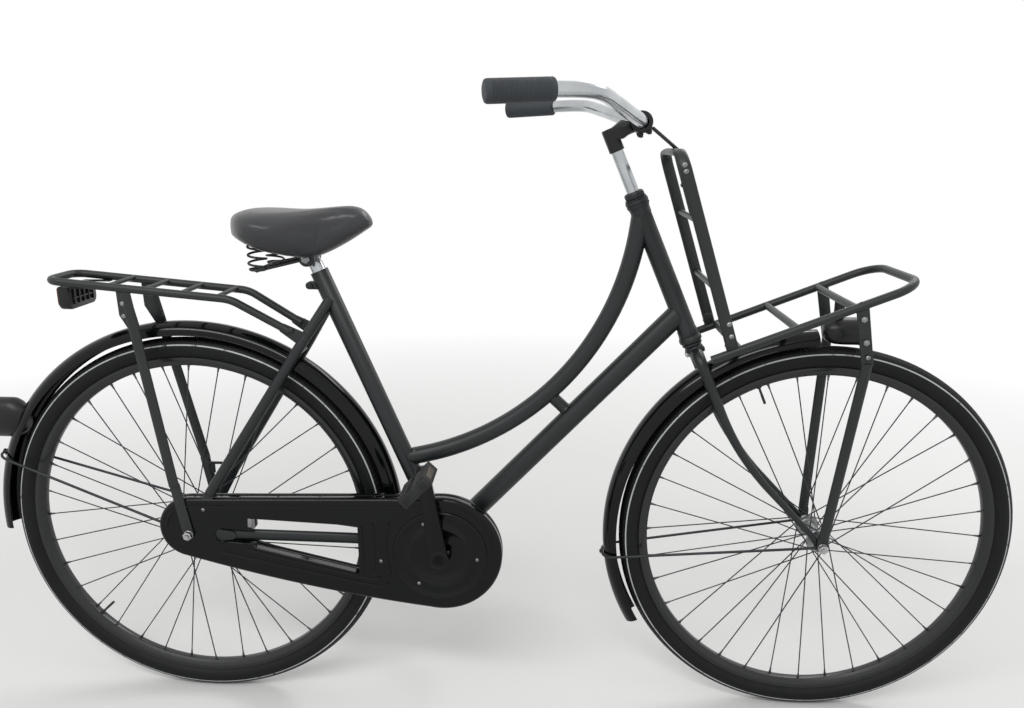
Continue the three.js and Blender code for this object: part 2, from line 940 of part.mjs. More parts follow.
function grip(side) {
  const { rear, way } = gripAxis(side);
  const neck = gripRadius - gripEdge / 2;
  const profile = [
    [0, -gripEdge],
    [neck, -gripEdge],
    [gripRadius, -gripEdge / 2],
    [gripRadius, gripLength - gripEdge * 1.5],
    [neck, gripLength - gripEdge],
    [0, gripLength - gripEdge],
  ];
  const sleeve = revolve(profile, 12);
  sleeve.applyQuaternion(new THREE.Quaternion().setFromUnitVectors(point(0, 1, 0), way));
  sleeve.translate(rear.x, rear.y, rear.z);
  return sleeve;
}

/** The bore that the bar leaves in what sits on it, a little longer than the bar. */
function barBore() {
  const { stations } = barRoute();
  const longer = (station, way) => ({
    at: station.at.clone().addScaledVector(station.along, way * gap),
    along: station.along,
  });
  const route = new Route([longer(stations[0], -1), ...stations.slice(1, -1), longer(stations.at(-1), 1)]);
  return pipe(route, barRadius + gap, barSides);
}

/** The grip bored out along the real course of the bar. */
function boredGrip(side) {
  return cut(grip(side), barBore());
}

// Wheels

function tyre() {
  const ringRadius = tyreRadius - tyreHalfWidth;
  const section = arc(ringRadius, 0, tyreHalfWidth, -tyreSideAngle, tyreSideAngle, 6);
  const bead = rimRadius - rimWellDepth + gap * 2;
  const profile = [
    [bead, -beadHalfWidth],
    ...section.map((corner) => [corner.x, corner.y]),
    [bead, beadHalfWidth],
    [bead, -beadHalfWidth],
  ];
  return revolve(profile, wheelSides);
}

/** The rim with its valve, which stands on the inside at its own angle. */
function rim(valveAngle) {
  const shoulder = rimRadius - rimSideDepth;
  const well = rimRadius - rimWellDepth;
  const profile = [
    [shoulder, -rimHalfWidth],
    [rimRadius, -rimHalfWidth],
    [well, -rimHalfWidth + rimLip],
    [well, rimHalfWidth - rimLip],
    [rimRadius, rimHalfWidth],
    [shoulder, rimHalfWidth],
    [rimNoseRadius, rimNoseHalfWidth],
    [rimNoseRadius, -rimNoseHalfWidth],
    [shoulder, -rimHalfWidth],
  ];
  const way = point(Math.cos(valveAngle), 0, Math.sin(valveAngle));
  const valve = rod(
    way.clone().multiplyScalar(rimNoseRadius - valveReach),
    way.clone().multiplyScalar(rimNoseRadius + overrun / 2),
    valveRadius,
    6,
  );
  return join(revolve(profile, wheelSides), valve);
}

/** The 36 spokes of a wheel: each runs from its flange, nearly along its edge, to the rim. */
function spokes(flangeRadius, flangeY) {
  const perSide = spokeCount / 2;
  const holeTurn = (2 * Math.PI) / perSide;
  const seatRadius = flangeRadius - spokeSeat;
  const reach = rimNoseRadius * Math.cos(Math.PI / wheelSides) - gap;
  return [right, left].flatMap((side) =>
    Array.from({ length: perSide }, (_, hole) => {
      const way = hole % 2 ? -1 : 1;
      const hubAngle = holeTurn * (hole + (side === right ? 0.5 : 0));
      const rimAngle = hubAngle + way * spokeCrossings * holeTurn;
      const startY = side * flangeY + way * spokeSpread;
      const start = point(seatRadius * Math.cos(hubAngle), startY, seatRadius * Math.sin(hubAngle));
      const end = point(reach * Math.cos(rimAngle), side * rimHoleStagger, reach * Math.sin(rimAngle));
      return rod(start, end, spokeRadius, 3);
    }),
  );
}

/** A hub shell between its flanges, with an open bore for the axle and a stub at each end. */
function hubShell(flangeRadius, flangeY, shellSize, stub, rightReach, leftReach) {
  const bore = axleRadius + runningGap;
  const half = flangeThickness / 2;
  const neck = shellSize + (flangeRadius - shellSize) / 3;
  const profile = [
    [bore, -rightReach],
    [stub, -rightReach],
    [stub, -flangeY - half],
    [flangeRadius, -flangeY - half],
    [flangeRadius, -flangeY + half],
    [neck, -flangeY + half],
    [shellSize, -flangeY + half * 3],
    [shellSize, flangeY - half * 3],
    [neck, flangeY - half],
    [flangeRadius, flangeY - half],
    [flangeRadius, flangeY + half],
    [stub, flangeY + half],
    [stub, leftReach],
    [bore, leftReach],
    [bore, -rightReach],
  ];
  return revolve(profile, hubSides);
}

function frontHub() {
  const reach = frontDropoutY - runningGap;
  const shell = hubShell(frontFlangeRadius, frontFlangeY, frontShellRadius, frontStubRadius, reach, reach);
  return join(shell, ...spokes(frontFlangeRadius, frontFlangeY));
}

/** The rear hub, which leaves room for the driver with its sprocket at the right. */
function rearHub() {
  const rightReach = rearFlangeY + flangeThickness / 2 + rearHubLip;
  const leftReach = rearDropoutY - runningGap;
  const shell = hubShell(rearFlangeRadius, rearFlangeY, rearShellRadius, driverRadius, rightReach, leftReach);
  return join(shell, ...spokes(rearFlangeRadius, rearFlangeY));
}

/** The three pieces of a wheel, in a group that stands at the axle. */
function wheel(prefix, x, valveAngle, hub) {
  const group = new THREE.Group();
  group.position.set(x, 0, hubHeight);
  addPiece(group, prefix + "_tyre", tyre(), rubber);
  addPiece(group, prefix + "_rim", rim(valveAngle), darkSteel);
  addPiece(group, prefix + "_hub_with_spokes", hub, darkSteel);
  return group;
}

/** An axle with a nut at each end, as far out as the pieces that it clamps. */
function axle(rightNutY, leftNutY) {
  const nut = (from) => crossRod(0, 0, nutRadius, from, from + Math.sign(from) * nutThickness, 6);
  const reach = nutThickness + axleStub;
  const bar = crossRod(0, 0, axleRadius, rightNutY - reach, leftNutY + reach, 10);
  return join(bar, nut(rightNutY), nut(leftNutY));
}

// Mudguards

/** Half an oval: across the bike, and out from the wheel. */
function arch(width, height) {
  return Array.from({ length: archSteps + 1 }, (_, step) => {
    const angle = (Math.PI * step) / archSteps;
    return new THREE.Vector2(width * Math.cos(angle), height * Math.sin(angle));
  });
}

function alongMudguard(outline, from, to) {
  return sweep(new THREE.Shape(outline), arcRoute(point(0, 0, 0), mudguardBase, from, to, mudguardSteps));
}

function mudguard(halfWidth, from, to) {
  const inner = arch(halfWidth - mudguardWall, mudguardCrown - mudguardWall).reverse();
  return alongMudguard([...arch(halfWidth, mudguardCrown), ...inner], from, to);
}

/** The space of a mudguard, down past its foot, that a piece seated on it leaves free. */
function mudguardSpace(halfWidth, from, to) {
  const foot = [
    new THREE.Vector2(-halfWidth - gap, -mudguardCrown * 2),
    new THREE.Vector2(halfWidth + gap, -mudguardCrown * 2),
  ];
  return alongMudguard([...arch(halfWidth + gap, mudguardCrown + gap), ...foot], from, to);
}

/** A wire stay: from the axle on both sides to a bow over the outside of the mudguard. */
function wireStay(angle, eyeY, bowReach, halfWidth, startReach) {
  const way = point(Math.cos(angle), 0, Math.sin(angle));
  const bowY = halfWidth + stayWireRadius + gap;
  const at = (reach, y) => way.clone().multiplyScalar(reach).setY(y);
  const route = bentRoute(
    [at(startReach, -eyeY), at(bowReach, -bowY), at(bowReach, bowY), at(startReach, eyeY)],
    stayWireBend,
    3,
  );
  return pipe(route, stayWireRadius, 6);
}

/** The rear stay bows round the outside of the mudguard, and a clip there holds the two together. */
function rearMudguardStay() {
  const crown = mudguardBase + mudguardCrown;
  const bowReach = crown + gap + stayWireRadius + stayWireRadius;
  const eyeY = rearDropoutY + dropoutThickness / 2;
  const wire = wireStay(rearStayAngle, eyeY, bowReach, rearMudguardHalfWidth, stayWireStart);
  const way = point(Math.cos(rearStayAngle), 0, Math.sin(rearStayAngle));
  const clipFrom = way.clone().multiplyScalar(crown + gap);
  const clipTo = way.clone().multiplyScalar(bowReach + stayWireRadius + stayWireRadius);
  const clip = rod(clipFrom, clipTo, stayWireRadius * 3, 8);
  return join(wire, clip);
}

/** The front stay bows inside the mudguard's outline and has an eye at each end on the axle. */
function frontMudguardStay() {
  const crown = mudguardBase + mudguardCrown;
  const bowReach = crown + gap + stayWireRadius;
  const eyeY = frontDropoutY + dropoutThickness + gap;
  const wireY = eyeY + stayWireRadius;
  const start = eyeRadius * 1.5;
  const wire = wireStay(frontStayAngle, wireY, bowReach, frontMudguardHalfWidth, start);
  const tipX = start * Math.cos(frontStayAngle);
  const tipZ = start * Math.sin(frontStayAngle);
  const eyes = [right, left].map((side) =>
    link(0, 0, tipX, tipZ, eyeRadius, stayWireRadius, side * eyeY, side * (eyeY + eyeThickness)),
  );
  const holes = crossRod(0, 0, axleRadius + gap, -wireY - overrun, wireY + overrun, 12);
  return cut(join(wire, ...eyes), holes);
}

// Chain drive

/** The outline round two circles and the two straight runs between them. */
function beltOutline(rearX, rearZ, rearRadius, frontX, frontZ, frontRadius, bow) {
  const lean = Math.atan2(frontZ - rearZ, frontX - rearX);
  const spread = Math.asin((frontRadius - rearRadius) / Math.hypot(frontX - rearX, frontZ - rearZ));
  const top = lean + spread + Math.PI / 2;
  const foot = lean - spread - Math.PI / 2;
  const rearArc = arc(rearX, rearZ, rearRadius, top, foot + 2 * Math.PI, 10);
  const frontArc = arc(frontX, frontZ, frontRadius, foot, top, 14);
  const low = rearArc.at(-1);
  const high = frontArc[0];
  const bowPoints = [0.25, 0.5, 0.75].map((share) => {
    const place = low.clone().lerp(high, share);
    return place.setY(place.y - bow * 4 * share * (1 - share));
  });
  return [...frontArc, ...rearArc, ...(bow ? bowPoints : [])];
}

function chain() {
  const outline = (offset) =>
    beltOutline(0, hubHeight, sprocketRadius + offset, crankX, crankZ, chainringRadius + offset, 0);
  const from = right * (chainLine + chainHalfWidth);
  const to = right * (chainLine - chainHalfWidth);
  return plate(outline(chainHalfHeight), from, to, [outline(-gap).reverse()]);
}

/** A toothed disc: a corner at each tooth's tip and one between the teeth. */
function toothedOutline(teeth, pitchRadius) {
  const tip = pitchRadius - gap * 3;
  const root = tip - toothDepth;
  const shares = [[0, root], [0.5, tip]];
  return Array.from({ length: teeth }, (_, tooth) =>
    shares.map(([share, radius]) => {
      const angle = (2 * Math.PI * (tooth + share)) / teeth;
      return new THREE.Vector2(radius * Math.cos(angle), radius * Math.sin(angle));
    }),
  ).flat();
}

function toothedPlate(teeth, pitchRadius, holes) {
  const from = right * (chainLine + toothedThickness / 2);
  const to = right * (chainLine - toothedThickness / 2);
  return plate(toothedOutline(teeth, pitchRadius), from, to, holes);
}

function chainring() {
  const holes = Array.from({ length: chainringHoles }, (_, hole) => {
    const angle = (2 * Math.PI * hole) / chainringHoles;
    const x = chainringSpiderRadius * Math.cos(angle);
    const z = chainringSpiderRadius * Math.sin(angle);
    return circle(x, z, chainringHoleRadius, 8).reverse();
  });
  const boss = disc(crankBossRadius, right * (crankInnerY - gap), right * chainLine, 14);
  const bore = crossRod(0, 0, crankAxleRadius + gap, right * (crankInnerY + overrun), 0, 14);
  return cut(join(toothedPlate(chainringTeeth, chainringRadius, holes), boss), bore);
}

/** The sprocket on its driver, the sleeve that turns on the axle beside the hub. */
function rearSprocket() {
  const from = right * (rearFlangeY + flangeThickness / 2 + rearHubLip + runningGap);
  const to = right * (rearDropoutY - runningGap);
  const driver = disc(driverRadius, to, from, 16);
  const bore = crossRod(0, 0, axleRadius + runningGap, to - overrun, from + overrun, 12);
  return cut(join(toothedPlate(sprocketTeeth, sprocketRadius, []), driver), bore);
}

function crankAxle() {
  const reach = crankInnerY + crankThickness;
  return crossRod(0, 0, crankAxleRadius, -reach, reach, 14);
}

function pedalPlace(side) {
  const way = side === right ? 1 : -1;
  return point(way * crankLength * Math.cos(crankPitch), 0, way * crankLength * Math.sin(crankPitch));
}

/** A crank arm with the pedal's axle in its tip. */
function crankArm(side) {
  const tip = pedalPlace(side);
  const from = side * crankInnerY;
  const to = side * (crankInnerY + crankThickness);
  const arm = link(0, 0, tip.x, tip.z, crankEyeRadius, crankTipRadius, from, to);
  const bore = crossRod(0, 0, crankAxleRadius + gap, from - side * overrun, to + side * overrun, 14);
  const axleFrom = from + (to - from) / 2;
  const axleTo = to + side * (pedalInset + pedalHalfWidth * 2 - pedalCageThickness);
  const pedalAxle = crossRod(tip.x, tip.z, pedalAxleRadius, axleFrom, axleTo, 10);
  return join(cut(arm, bore), pedalAxle);
}

/** A block pedal: two grooved rubber blocks between end plates, on a barrel round its axle. */
function pedal() {
  const inner = -pedalHalfWidth;
  const outer = pedalHalfWidth;
  const blockFrom = pedalHalfLength - pedalBlockLength;
  const grooveSpacing = (2 * pedalHalfWidth) / (pedalGrooves + 1);
  const blocks = [
    box(blockFrom, pedalHalfLength, inner, outer, -pedalHalfHeight, pedalHalfHeight),
    box(-pedalHalfLength, -blockFrom, inner, outer, -pedalHalfHeight, pedalHalfHeight),
  ];
  const plateReach = blockFrom + pedalBlockLength / 4;
  const ends = [inner, outer - pedalCageThickness].map((from) =>
    box(-plateReach, plateReach, from, from + pedalCageThickness, -pedalHalfHeight / 2, pedalHalfHeight / 2),
  );
  const barrel = crossRod(0, 0, pedalBarrelRadius, inner, outer, 10);
  const bore = crossRod(0, 0, pedalAxleRadius + runningGap, inner - overrun, outer + overrun, 10);
  const grooves = Array.from({ length: pedalGrooves }, (_, groove) => {
    const y = inner + grooveSpacing * (groove + 1);
    return [pedalHalfHeight - pedalGrooveDepth, -pedalHalfHeight - overrun].map((from) =>
      box(
        -pedalHalfLength - overrun,
        pedalHalfLength + overrun,
        y - pedalGrooveHalfWidth,
        y + pedalGrooveHalfWidth,
        from,
        from + pedalGrooveDepth + overrun,
      ),
    );
  }).flat();
  return cut(cut(join(...blocks, ...ends), ...grooves).add(solidOf(barrel)), bore);
}

// Chain case

function caseOutline(inset) {
  const rear = caseRearRadius - inset;
  return beltOutline(caseRearX, caseRearZ, rear, caseFrontX, crankZ, caseFrontRadius - inset, caseBow);
}

/** The window between the two chain runs, grown by a margin. */
function caseWindow(margin) {
  return [
    new THREE.Vector2(caseWindowRear - margin, caseWindowRearFoot - margin),
    new THREE.Vector2(caseWindowFront + margin, caseWindowFrontFoot - margin),
    new THREE.Vector2(caseWindowFront + margin, caseWindowFrontTop + margin),
    new THREE.Vector2(caseWindowRear - margin, caseWindowRearTop + margin),
  ];
}

/** The walls that close the case above and below its window. */
function caseLegWalls(fromY, toY) {
  const corner = (x, z) => new THREE.Vector2(x, z);
  const wall = (rearZ, frontZ) =>
    plate(
      [
        corner(caseWindowRear, rearZ),
        corner(caseWindowFront, frontZ),
        corner(caseWindowFront, frontZ + caseWall),
        corner(caseWindowRear, rearZ + caseWall),
      ],
      fromY,
      toY,
    );
  return [
    wall(caseWindowRearTop, caseWindowFrontTop),
    wall(caseWindowRearFoot - caseWall, caseWindowFrontFoot - caseWall),
  ];
}

/** The outer half: a face with rounded edge and a rim that reaches the split. */
function chaincaseOuter() {
  const outerY = right * caseOuterY;
  const splitY = right * (caseSplitY + gap / 2);
  const depth = caseOuterY - caseSplitY - gap / 2;
  const body = plate(caseOutline(0), outerY + caseEdge, splitY);
  const edgeRing = (inset, y) => caseOutline(inset).map((corner) => point(corner.x, y, corner.y));
  const edge = loft([
    edgeRing(0, outerY + caseEdge),
    edgeRing(caseEdge / 3, outerY + caseEdge / 3),
    edgeRing(caseEdge, outerY),
  ]);
  const hollow = plate(caseOutline(caseWall + caseEdge / 2), outerY + caseWall, splitY + overrun);
  const pan = cut(join(body, edge), hollow);
  const walls = caseLegWalls(outerY + caseWall / 2, splitY);
  const window = plate(caseWindow(0), outerY - overrun, splitY + overrun);
  const slot = link(
    caseSlotRear,
    chainStayZ(caseSlotRear),
    caseSlotFront,
    chainStayZ(caseSlotFront),
    caseSlotHalfHeight,
    caseSlotHalfHeight,
    outerY - overrun,
    outerY + caseWall + depth / 2,
  );
  const holeFrom = outerY - overrun;
  const coverHole = crossRod(crankX, crankZ, caseCoverHole, holeFrom, outerY + caseWall + gap, 24);
  const axleHole = crossRod(0, hubHeight, axleRadius + runningGap, holeFrom, splitY + overrun, 12);
  return cut(join(pan, ...walls), window, slot, coverHole, axleHole, ...stayNotches());
}

/** The notches in the rim of the case for the seat stay's tab and the mudguard's wire. */
function stayNotches() {
  const tab = stayTab(right, gap);
  const way = point(Math.cos(rearStayAngle), 0, Math.sin(rearStayAngle));
  const hub = point(0, 0, hubHeight);
  const wire = rod(
    hub.clone().addScaledVector(way, caseRearRadius / 2).setY(right * (rearDropoutY + dropoutThickness / 2)),
    hub.clone().addScaledVector(way, caseRearRadius * 1.5).setY(right * rearDropoutY),
    stayWireRadius * 2,
    8,
  );
  const stay = pipe(seatStayRoute(right, stayEndShare), seatStayRadius + gap, 10);
  return [tab, wire, stay];
}

function chaincaseInner() {
  const innerY = right * caseInnerY;
  const splitY = right * (caseSplitY - gap / 2);
  const pan = cut(
    plate(caseOutline(0), splitY, innerY),
    plate(caseOutline(caseWall + caseEdge / 2), splitY - overrun, innerY - caseWall),
  );
  const walls = caseLegWalls(splitY, innerY - caseWall / 2);
  const window = plate(caseWindow(0), splitY - overrun, innerY + overrun);
  const holeFrom = splitY - overrun;
  const driverHole = crossRod(0, hubHeight, caseDriverHole, holeFrom, innerY + overrun, 18);
  const axleHole = crossRod(crankX, crankZ, crankBossRadius, holeFrom, innerY + overrun, 14);
  return cut(join(pan, ...walls), window, driverHole, axleHole);
}

/** The round cover over the crank, with a raised ring, and a hole for the crank's boss. */
function chaincaseCover() {
  const inner = right * (caseOuterY + gap);
  const outer = inner + right * caseCoverThickness;
  const bore = crankBossRadius + runningGap;
  const edge = caseCoverThickness;
  const profile = [
    [bore, inner],
    [bore, outer],
    [caseCoverRingRadius - edge * 2, outer],
    [caseCoverRingRadius - edge, outer + right * caseCoverRing],
    [caseCoverRingRadius + edge, outer + right * caseCoverRing],
    [caseCoverRingRadius + edge * 2, outer],
    [caseCoverRadius - edge, outer],
    [caseCoverRadius, inner],
    [bore, inner],
  ];
  return revolve(profile, 28);
}

/** The flat arm that holds the brake of the rear hub on the left chain stay, with its clip. */
function brakeArm() {
  const from = rearDropoutY + dropoutThickness + gap;
  const to = from + legFootThickness;
  const tipX = chainStayBendX / 2;
  const tipZ = chainStayZ(tipX);
  const arm = link(0, hubHeight, tipX, tipZ, nutRadius * 2, nutRadius, from, to);
  const hole = crossRod(0, hubHeight, axleRadius + gap, from - overrun, to + overrun, 12);
  const strapFrom = tipX - clampEarRadius;
  const strap = box(
    strapFrom,
    tipX + clampEarRadius,
    chainStayInnerY + chainStayHalfWidth,
    to,
    tipZ - chainStayHalfHeight - legFootThickness,
    tipZ + chainStayHalfHeight + legFootThickness,
  );
  const section = ovalSection(chainStayHalfHeight + gap, chainStayHalfWidth + gap, 12);
  const inward = box(
    strapFrom - overrun,
    tipX + clampEarRadius + overrun,
    0,
    chainStayInnerY + chainStayHalfWidth * 1.5,
    0,
    hubHeight * 2,
  );
  return cut(join(arm, strap), hole, sweep(section, chainStayRoute(left)), inward);
}

// Rear carrier

function railRoute() {
  const half = (side) => [
    point(carrierPlateX, side * (endPlateY + endPlateThickness / 2), carrierPlateZ),
    point(carrierKneeX, side * railY, carrierKneeZ),
    point(carrierRearX, side * railY, carrierRearZ),
  ];
  const bends = [railBend * 3, railBend];
  return bentRoute([...half(right), ...half(left).reverse()], [...bends, ...bends.slice().reverse()], 3);
}

/** The height of the rail's centre at a place between its rear end and its knee. */
function railZ(x) {
  const share = (x - carrierRearX) / (carrierKneeX - carrierRearX);
  return carrierRearZ + (carrierKneeZ - carrierRearZ) * share;
}

function rearCarrier() {
  const rods = Array.from({ length: crossRods }, (_, index) => {
    const x = crossRodRear + crossRodSpacing * index;
    return crossRod(x, railZ(x) + railRadius - crossRodRadius, crossRodRadius, -railY, railY, 6);
  });
  const slope = Math.atan2(carrierKneeZ - carrierPlateZ, carrierPlateX - carrierKneeX);
  const plates = [right, left].map((side) =>
    link(
      carrierPlateX - endPlateHalfHeight,
      carrierPlateZ + endPlateHalfHeight / 2,
      carrierPlateX - endPlateHalfHeight + endPlateLength * Math.cos(slope),
      carrierPlateZ + endPlateHalfHeight / 2 - endPlateLength * Math.sin(slope),
      endPlateHalfHeight,
      endPlateHalfHeight,
      side * endPlateY,
      side * (endPlateY + endPlateThickness),
    ),
  );
  const stays = [right, left].map((side) => pipe(seatStayRoute(side), seatStayRadius + gap, 10));
  return cut(join(pipe(railRoute(), railRadius, 8), ...rods, ...plates), ...stays);
}

/** How far out a leg's foot lies: on the chain case at the right, on the brake arm at the left. */
function legFootY(side) {
  const armOuter = rearDropoutY + dropoutThickness + gap + legFootThickness;
  return (side === right ? caseOuterY : armOuter) + gap;
}

/** A flattened leg of the carrier: a plate on the axle, and an oval tube up to the rail. */
function carrierLeg(side) {
  const footY = side * legFootY(side);
  const footOuter = footY + side * legFootThickness;
  const topZ = railZ(legTopX);
  const lean = legTopX / (topZ - hubHeight);
  const plateX = lean * legPlateTop;
  const plateZ = hubHeight + legPlateTop;
  const foot = link(0, hubHeight, plateX, plateZ, legHalfWidth, legHalfWidth, footY, footOuter);
  const holeFrom = footY - side * overrun;
  const hole = crossRod(0, hubHeight, axleRadius + gap, holeFrom, footOuter + side * overrun, 12);
  const tube = sweep(
    ovalSection(legHalfThickness, legHalfWidth, 10),
    bentRoute(
      [
        point(plateX, footY + side * legHalfThickness, hubHeight + legPlateTop),
        point(legTopX, side * railY, topZ),
      ],
      0,
      0,
    ),
  );
  const headX = legTopX - lean * legHeadHeight;
  const headY = railY - legFootThickness / 2;
  const head = link(
    headX,
    topZ - legHeadHeight,
    legTopX,
    topZ,
    legHalfWidth,
    legHeadRadius,
    side * headY,
    side * (headY + legFootThickness),
  );
  const above = box(
    legTopX - legHeadRadius * 2,
    legTopX + legHeadRadius * 2,
    -railY - legHalfWidth,
    railY + legHalfWidth,
    topZ,
    topZ + legHeadHeight,
  );
  return cut(join(cut(foot, hole), tube, head), pipe(railRoute(), railRadius + gap, 8), above);
}

/** The rear reflector: a deep housing under the rails, whose foot rises toward the front. */
function rearReflector() {
  const topZ = (x) => railZ(x) - railRadius / 2;
  const corner = (x, drop) => new THREE.Vector2(x, topZ(x) - drop);
  const outline = [
    corner(reflectorRearX, reflectorHeight),
    corner(reflectorRearX + reflectorFaceDepth, reflectorHeight),
    corner(reflectorFrontX, reflectorFrontHeight),
    corner(reflectorFrontX, 0),
    corner(reflectorRearX, 0),
  ];
  const body = plate(outline, -reflectorHalfWidth, reflectorHalfWidth);
  return cut(body, pipe(railRoute(), railRadius + gap, 8));
}

/** An upright oval outline as rings at several depths, for the tail light and its lens. */
function tailRings(places) {
  const steps = 16;
  return places.map(([x, share]) =>
    Array.from({ length: steps }, (_, step) => {
      const angle = (-2 * Math.PI * step) / steps;
      const y = tailLightHalfWidth * share * Math.cos(angle);
      return point(x, y, tailLightZ + tailLightHalfHeight * share * Math.sin(angle));
    }),
  );
}

function tailLightBack() {
  return -Math.sqrt((mudguardBase + mudguardCrown) ** 2 - (tailLightZ - hubHeight) ** 2);
}

function tailLight() {
  const back = tailLightBack();
  const space = mudguardSpace(rearMudguardHalfWidth, rearMudguardFrom, rearMudguardTo);
  const crown = space.translate(0, 0, hubHeight);
  const body = loft(
    tailRings([
      [back + tailLightHalfWidth, 0.6],
      [back - overrun, 1],
      [back - tailLightDepth + overrun, 1],
      [back - tailLightDepth, 0.92],
    ]),
  );
  return cut(body, crown);
}

function tailLens() {
  const from = tailLightBack() - tailLightDepth - gap;
  return loft(
    tailRings([
      [from, 0.92],
      [from - tailLensThickness / 2, 0.86],
      [from - tailLensThickness, 0.6],
    ]),
  );
}

// Front carrier

/** A place on the platform, at a distance from its rear end. */
function onPlatform(along, y, up = 0) {
  const x = platformRearX + along * Math.cos(platformSlope) - up * Math.sin(platformSlope);
  return point(x, y, platformRearZ + along * Math.sin(platformSlope) + up * Math.cos(platformSlope));
}

function platformLength() {
  return (platformFrontX - platformRearX) / Math.cos(platformSlope);
}

function platformRoute() {
  const length = platformLength();
  const corners = [
    onPlatform(0, -frontRailY),
    onPlatform(length, -frontRailY),
    onPlatform(length, frontRailY),
    onPlatform(0, frontRailY),
  ];
  return bentRoute(corners, platformBend, 5);
}

function frontPlatform() {
  const cross = platformCross.map((along) =>
    rod(onPlatform(along, -frontRailY), onPlatform(along, frontRailY), platformRodRadius, 8),
  );
  return join(pipe(platformRoute(), railRadius, 8), ...cross);
}

function rackFootZ() {
  return platformRearZ + (rackFootX - platformRearX) * Math.tan(platformSlope) + railRadius + gap;
}

/** The upright rack: a looped flat tube that stands on the platform's rails, with two cross bars. */
function frontRack() {
  const footZ = rackFootZ();
  const foot = (side) => point(rackFootX, side * frontRailY, footZ);
  const top = (side) => point(rackTopX, side * frontRailY, rackTopZ);
  const route = bentRoute([foot(right), top(right), top(left), foot(left)], rackBend, 5);
  const bars = rackBarHeights.map((share) => {
    const place = foot(right).lerp(top(right), share);
    return crossRod(place.x, place.z, rackBarRadius, -frontRailY, frontRailY, 6);
  });
  const rails = pipe(platformRoute(), railRadius + gap, 8);
  const tube = sweep(ovalSection(rackHalfThickness, rackHalfWidth, 10), route);
  return cut(join(tube, ...bars), rails, carrierTopRod(topRodRadius + gap));
}

/** The round bow of two rods from the rack's top to the middle of the bar. */
function carrierTopRod(radius) {
  const barMiddle = onHeadAxis(barHeight, barForward);
  const clear = barClampRadius + gap + topRodRadius;
  const way = point(Math.cos(topRodAngle), 0, -Math.sin(topRodAngle));
  const start = barMiddle.clone().addScaledVector(way, clear);
  const end = point(rackTopX + rackHalfWidth, 0, rackTopZ + rackHalfThickness / 2);
  const at = (place, side) => place.clone().setY(side * topRodY);
  const corners = [at(start, right), at(end, right), at(end, left), at(start, left)];
  return pipe(bentRoute(corners, topRodY / 2, 3), radius, 6);
}

/** A strut of the front carrier: eye on the axle, oval tube, and a plate under the platform's rail. */
function carrierStrut(side) {
  const footFrom = side * (frontDropoutY + dropoutThickness + eyeThickness + gap * 2);
  const footTo = footFrom + side * legFootThickness;
  const kneeZ = hubHeight + dropoutRadius;
  const foot = link(wheelbase, hubHeight, wheelbase, kneeZ, legHalfWidth, legHalfWidth, footFrom, footTo);
  const holeFrom = footFrom - side * overrun;
  const hole = crossRod(wheelbase, hubHeight, axleRadius + gap, holeFrom, footTo + side * overrun, 12);
  const knee = point(wheelbase, footFrom + side * legHalfThickness, kneeZ);
  const tubeTop = point(strutTopX, side * frontRailY, strutTopZ);
  const tube = sweep(ovalSection(legHalfThickness, legHalfWidth, 10), bentRoute([knee, tubeTop], 0, 0));
  const railAt = platformRearZ + (strutPlateTopX - platformRearX) * Math.tan(platformSlope);
  const head = link(
    strutTopX,
    strutTopZ,
    strutPlateTopX,
    railAt,
    strutPlateFootHalfWidth,
    strutPlateHalfWidth,
    side * (frontRailY - legHalfThickness / 2),
    side * (frontRailY + legHalfThickness / 2),
  );
  const rail = pipe(platformRoute(), railRadius + gap, 8);
  const length = platformLength();
  const above = plate(
    [
      [0, 0],
      [length, 0],
      [length, length],
      [0, length],
    ].map(([along, up]) => {
      const place = onPlatform(along, 0, up);
      return new THREE.Vector2(place.x, place.z);
    }),
    -frontRailY * 2,
    frontRailY * 2,
  );
  return cut(join(cut(foot, hole), tube, head), rail, above);
}

/** The lamp's round shell, tapering to the rear, with the strip that hangs it from the platform. */
function headlamp() {
  const profile = [
    [0, 0],
    [lampRadius / 2, 0],
    [lampRadius * 0.85, lampLength / 5],
    [lampRadius, lampLength / 2],
    [lampRadius, lampLength],
    [0, lampLength],
  ];
  const shell = revolve(profile, 16).rotateZ(-Math.PI / 2).translate(lampX, 0, lampZ);
  const top = platformRearZ + (lampBracketX - platformRearX) * Math.tan(platformSlope);
  const strip = box(
    lampBracketX - lampBracketHalfWidth,
    lampBracketX + lampBracketHalfWidth,
    -lampBracketThickness / 2,
    lampBracketThickness / 2,
    lampZ,
    top,
  );
  const rodAt = (y) => onPlatform(platformCross[2], y);
  const cross = rod(rodAt(-frontRailY), rodAt(frontRailY), platformRodRadius + gap, 8);
  return cut(join(shell, strip), cross);
}

function headlampLens() {
  const from = lampLength + gap;
  const profile = [
    [0, from],
    [lampRadius, from],
    [lampRadius, from + lensLength / 3],
    [lampRadius * 0.7, from + lensLength * 0.85],
    [0, from + lensLength],
  ];
  return revolve(profile, 16).rotateZ(-Math.PI / 2).translate(lampX, 0, lampZ);
}

// Saddle

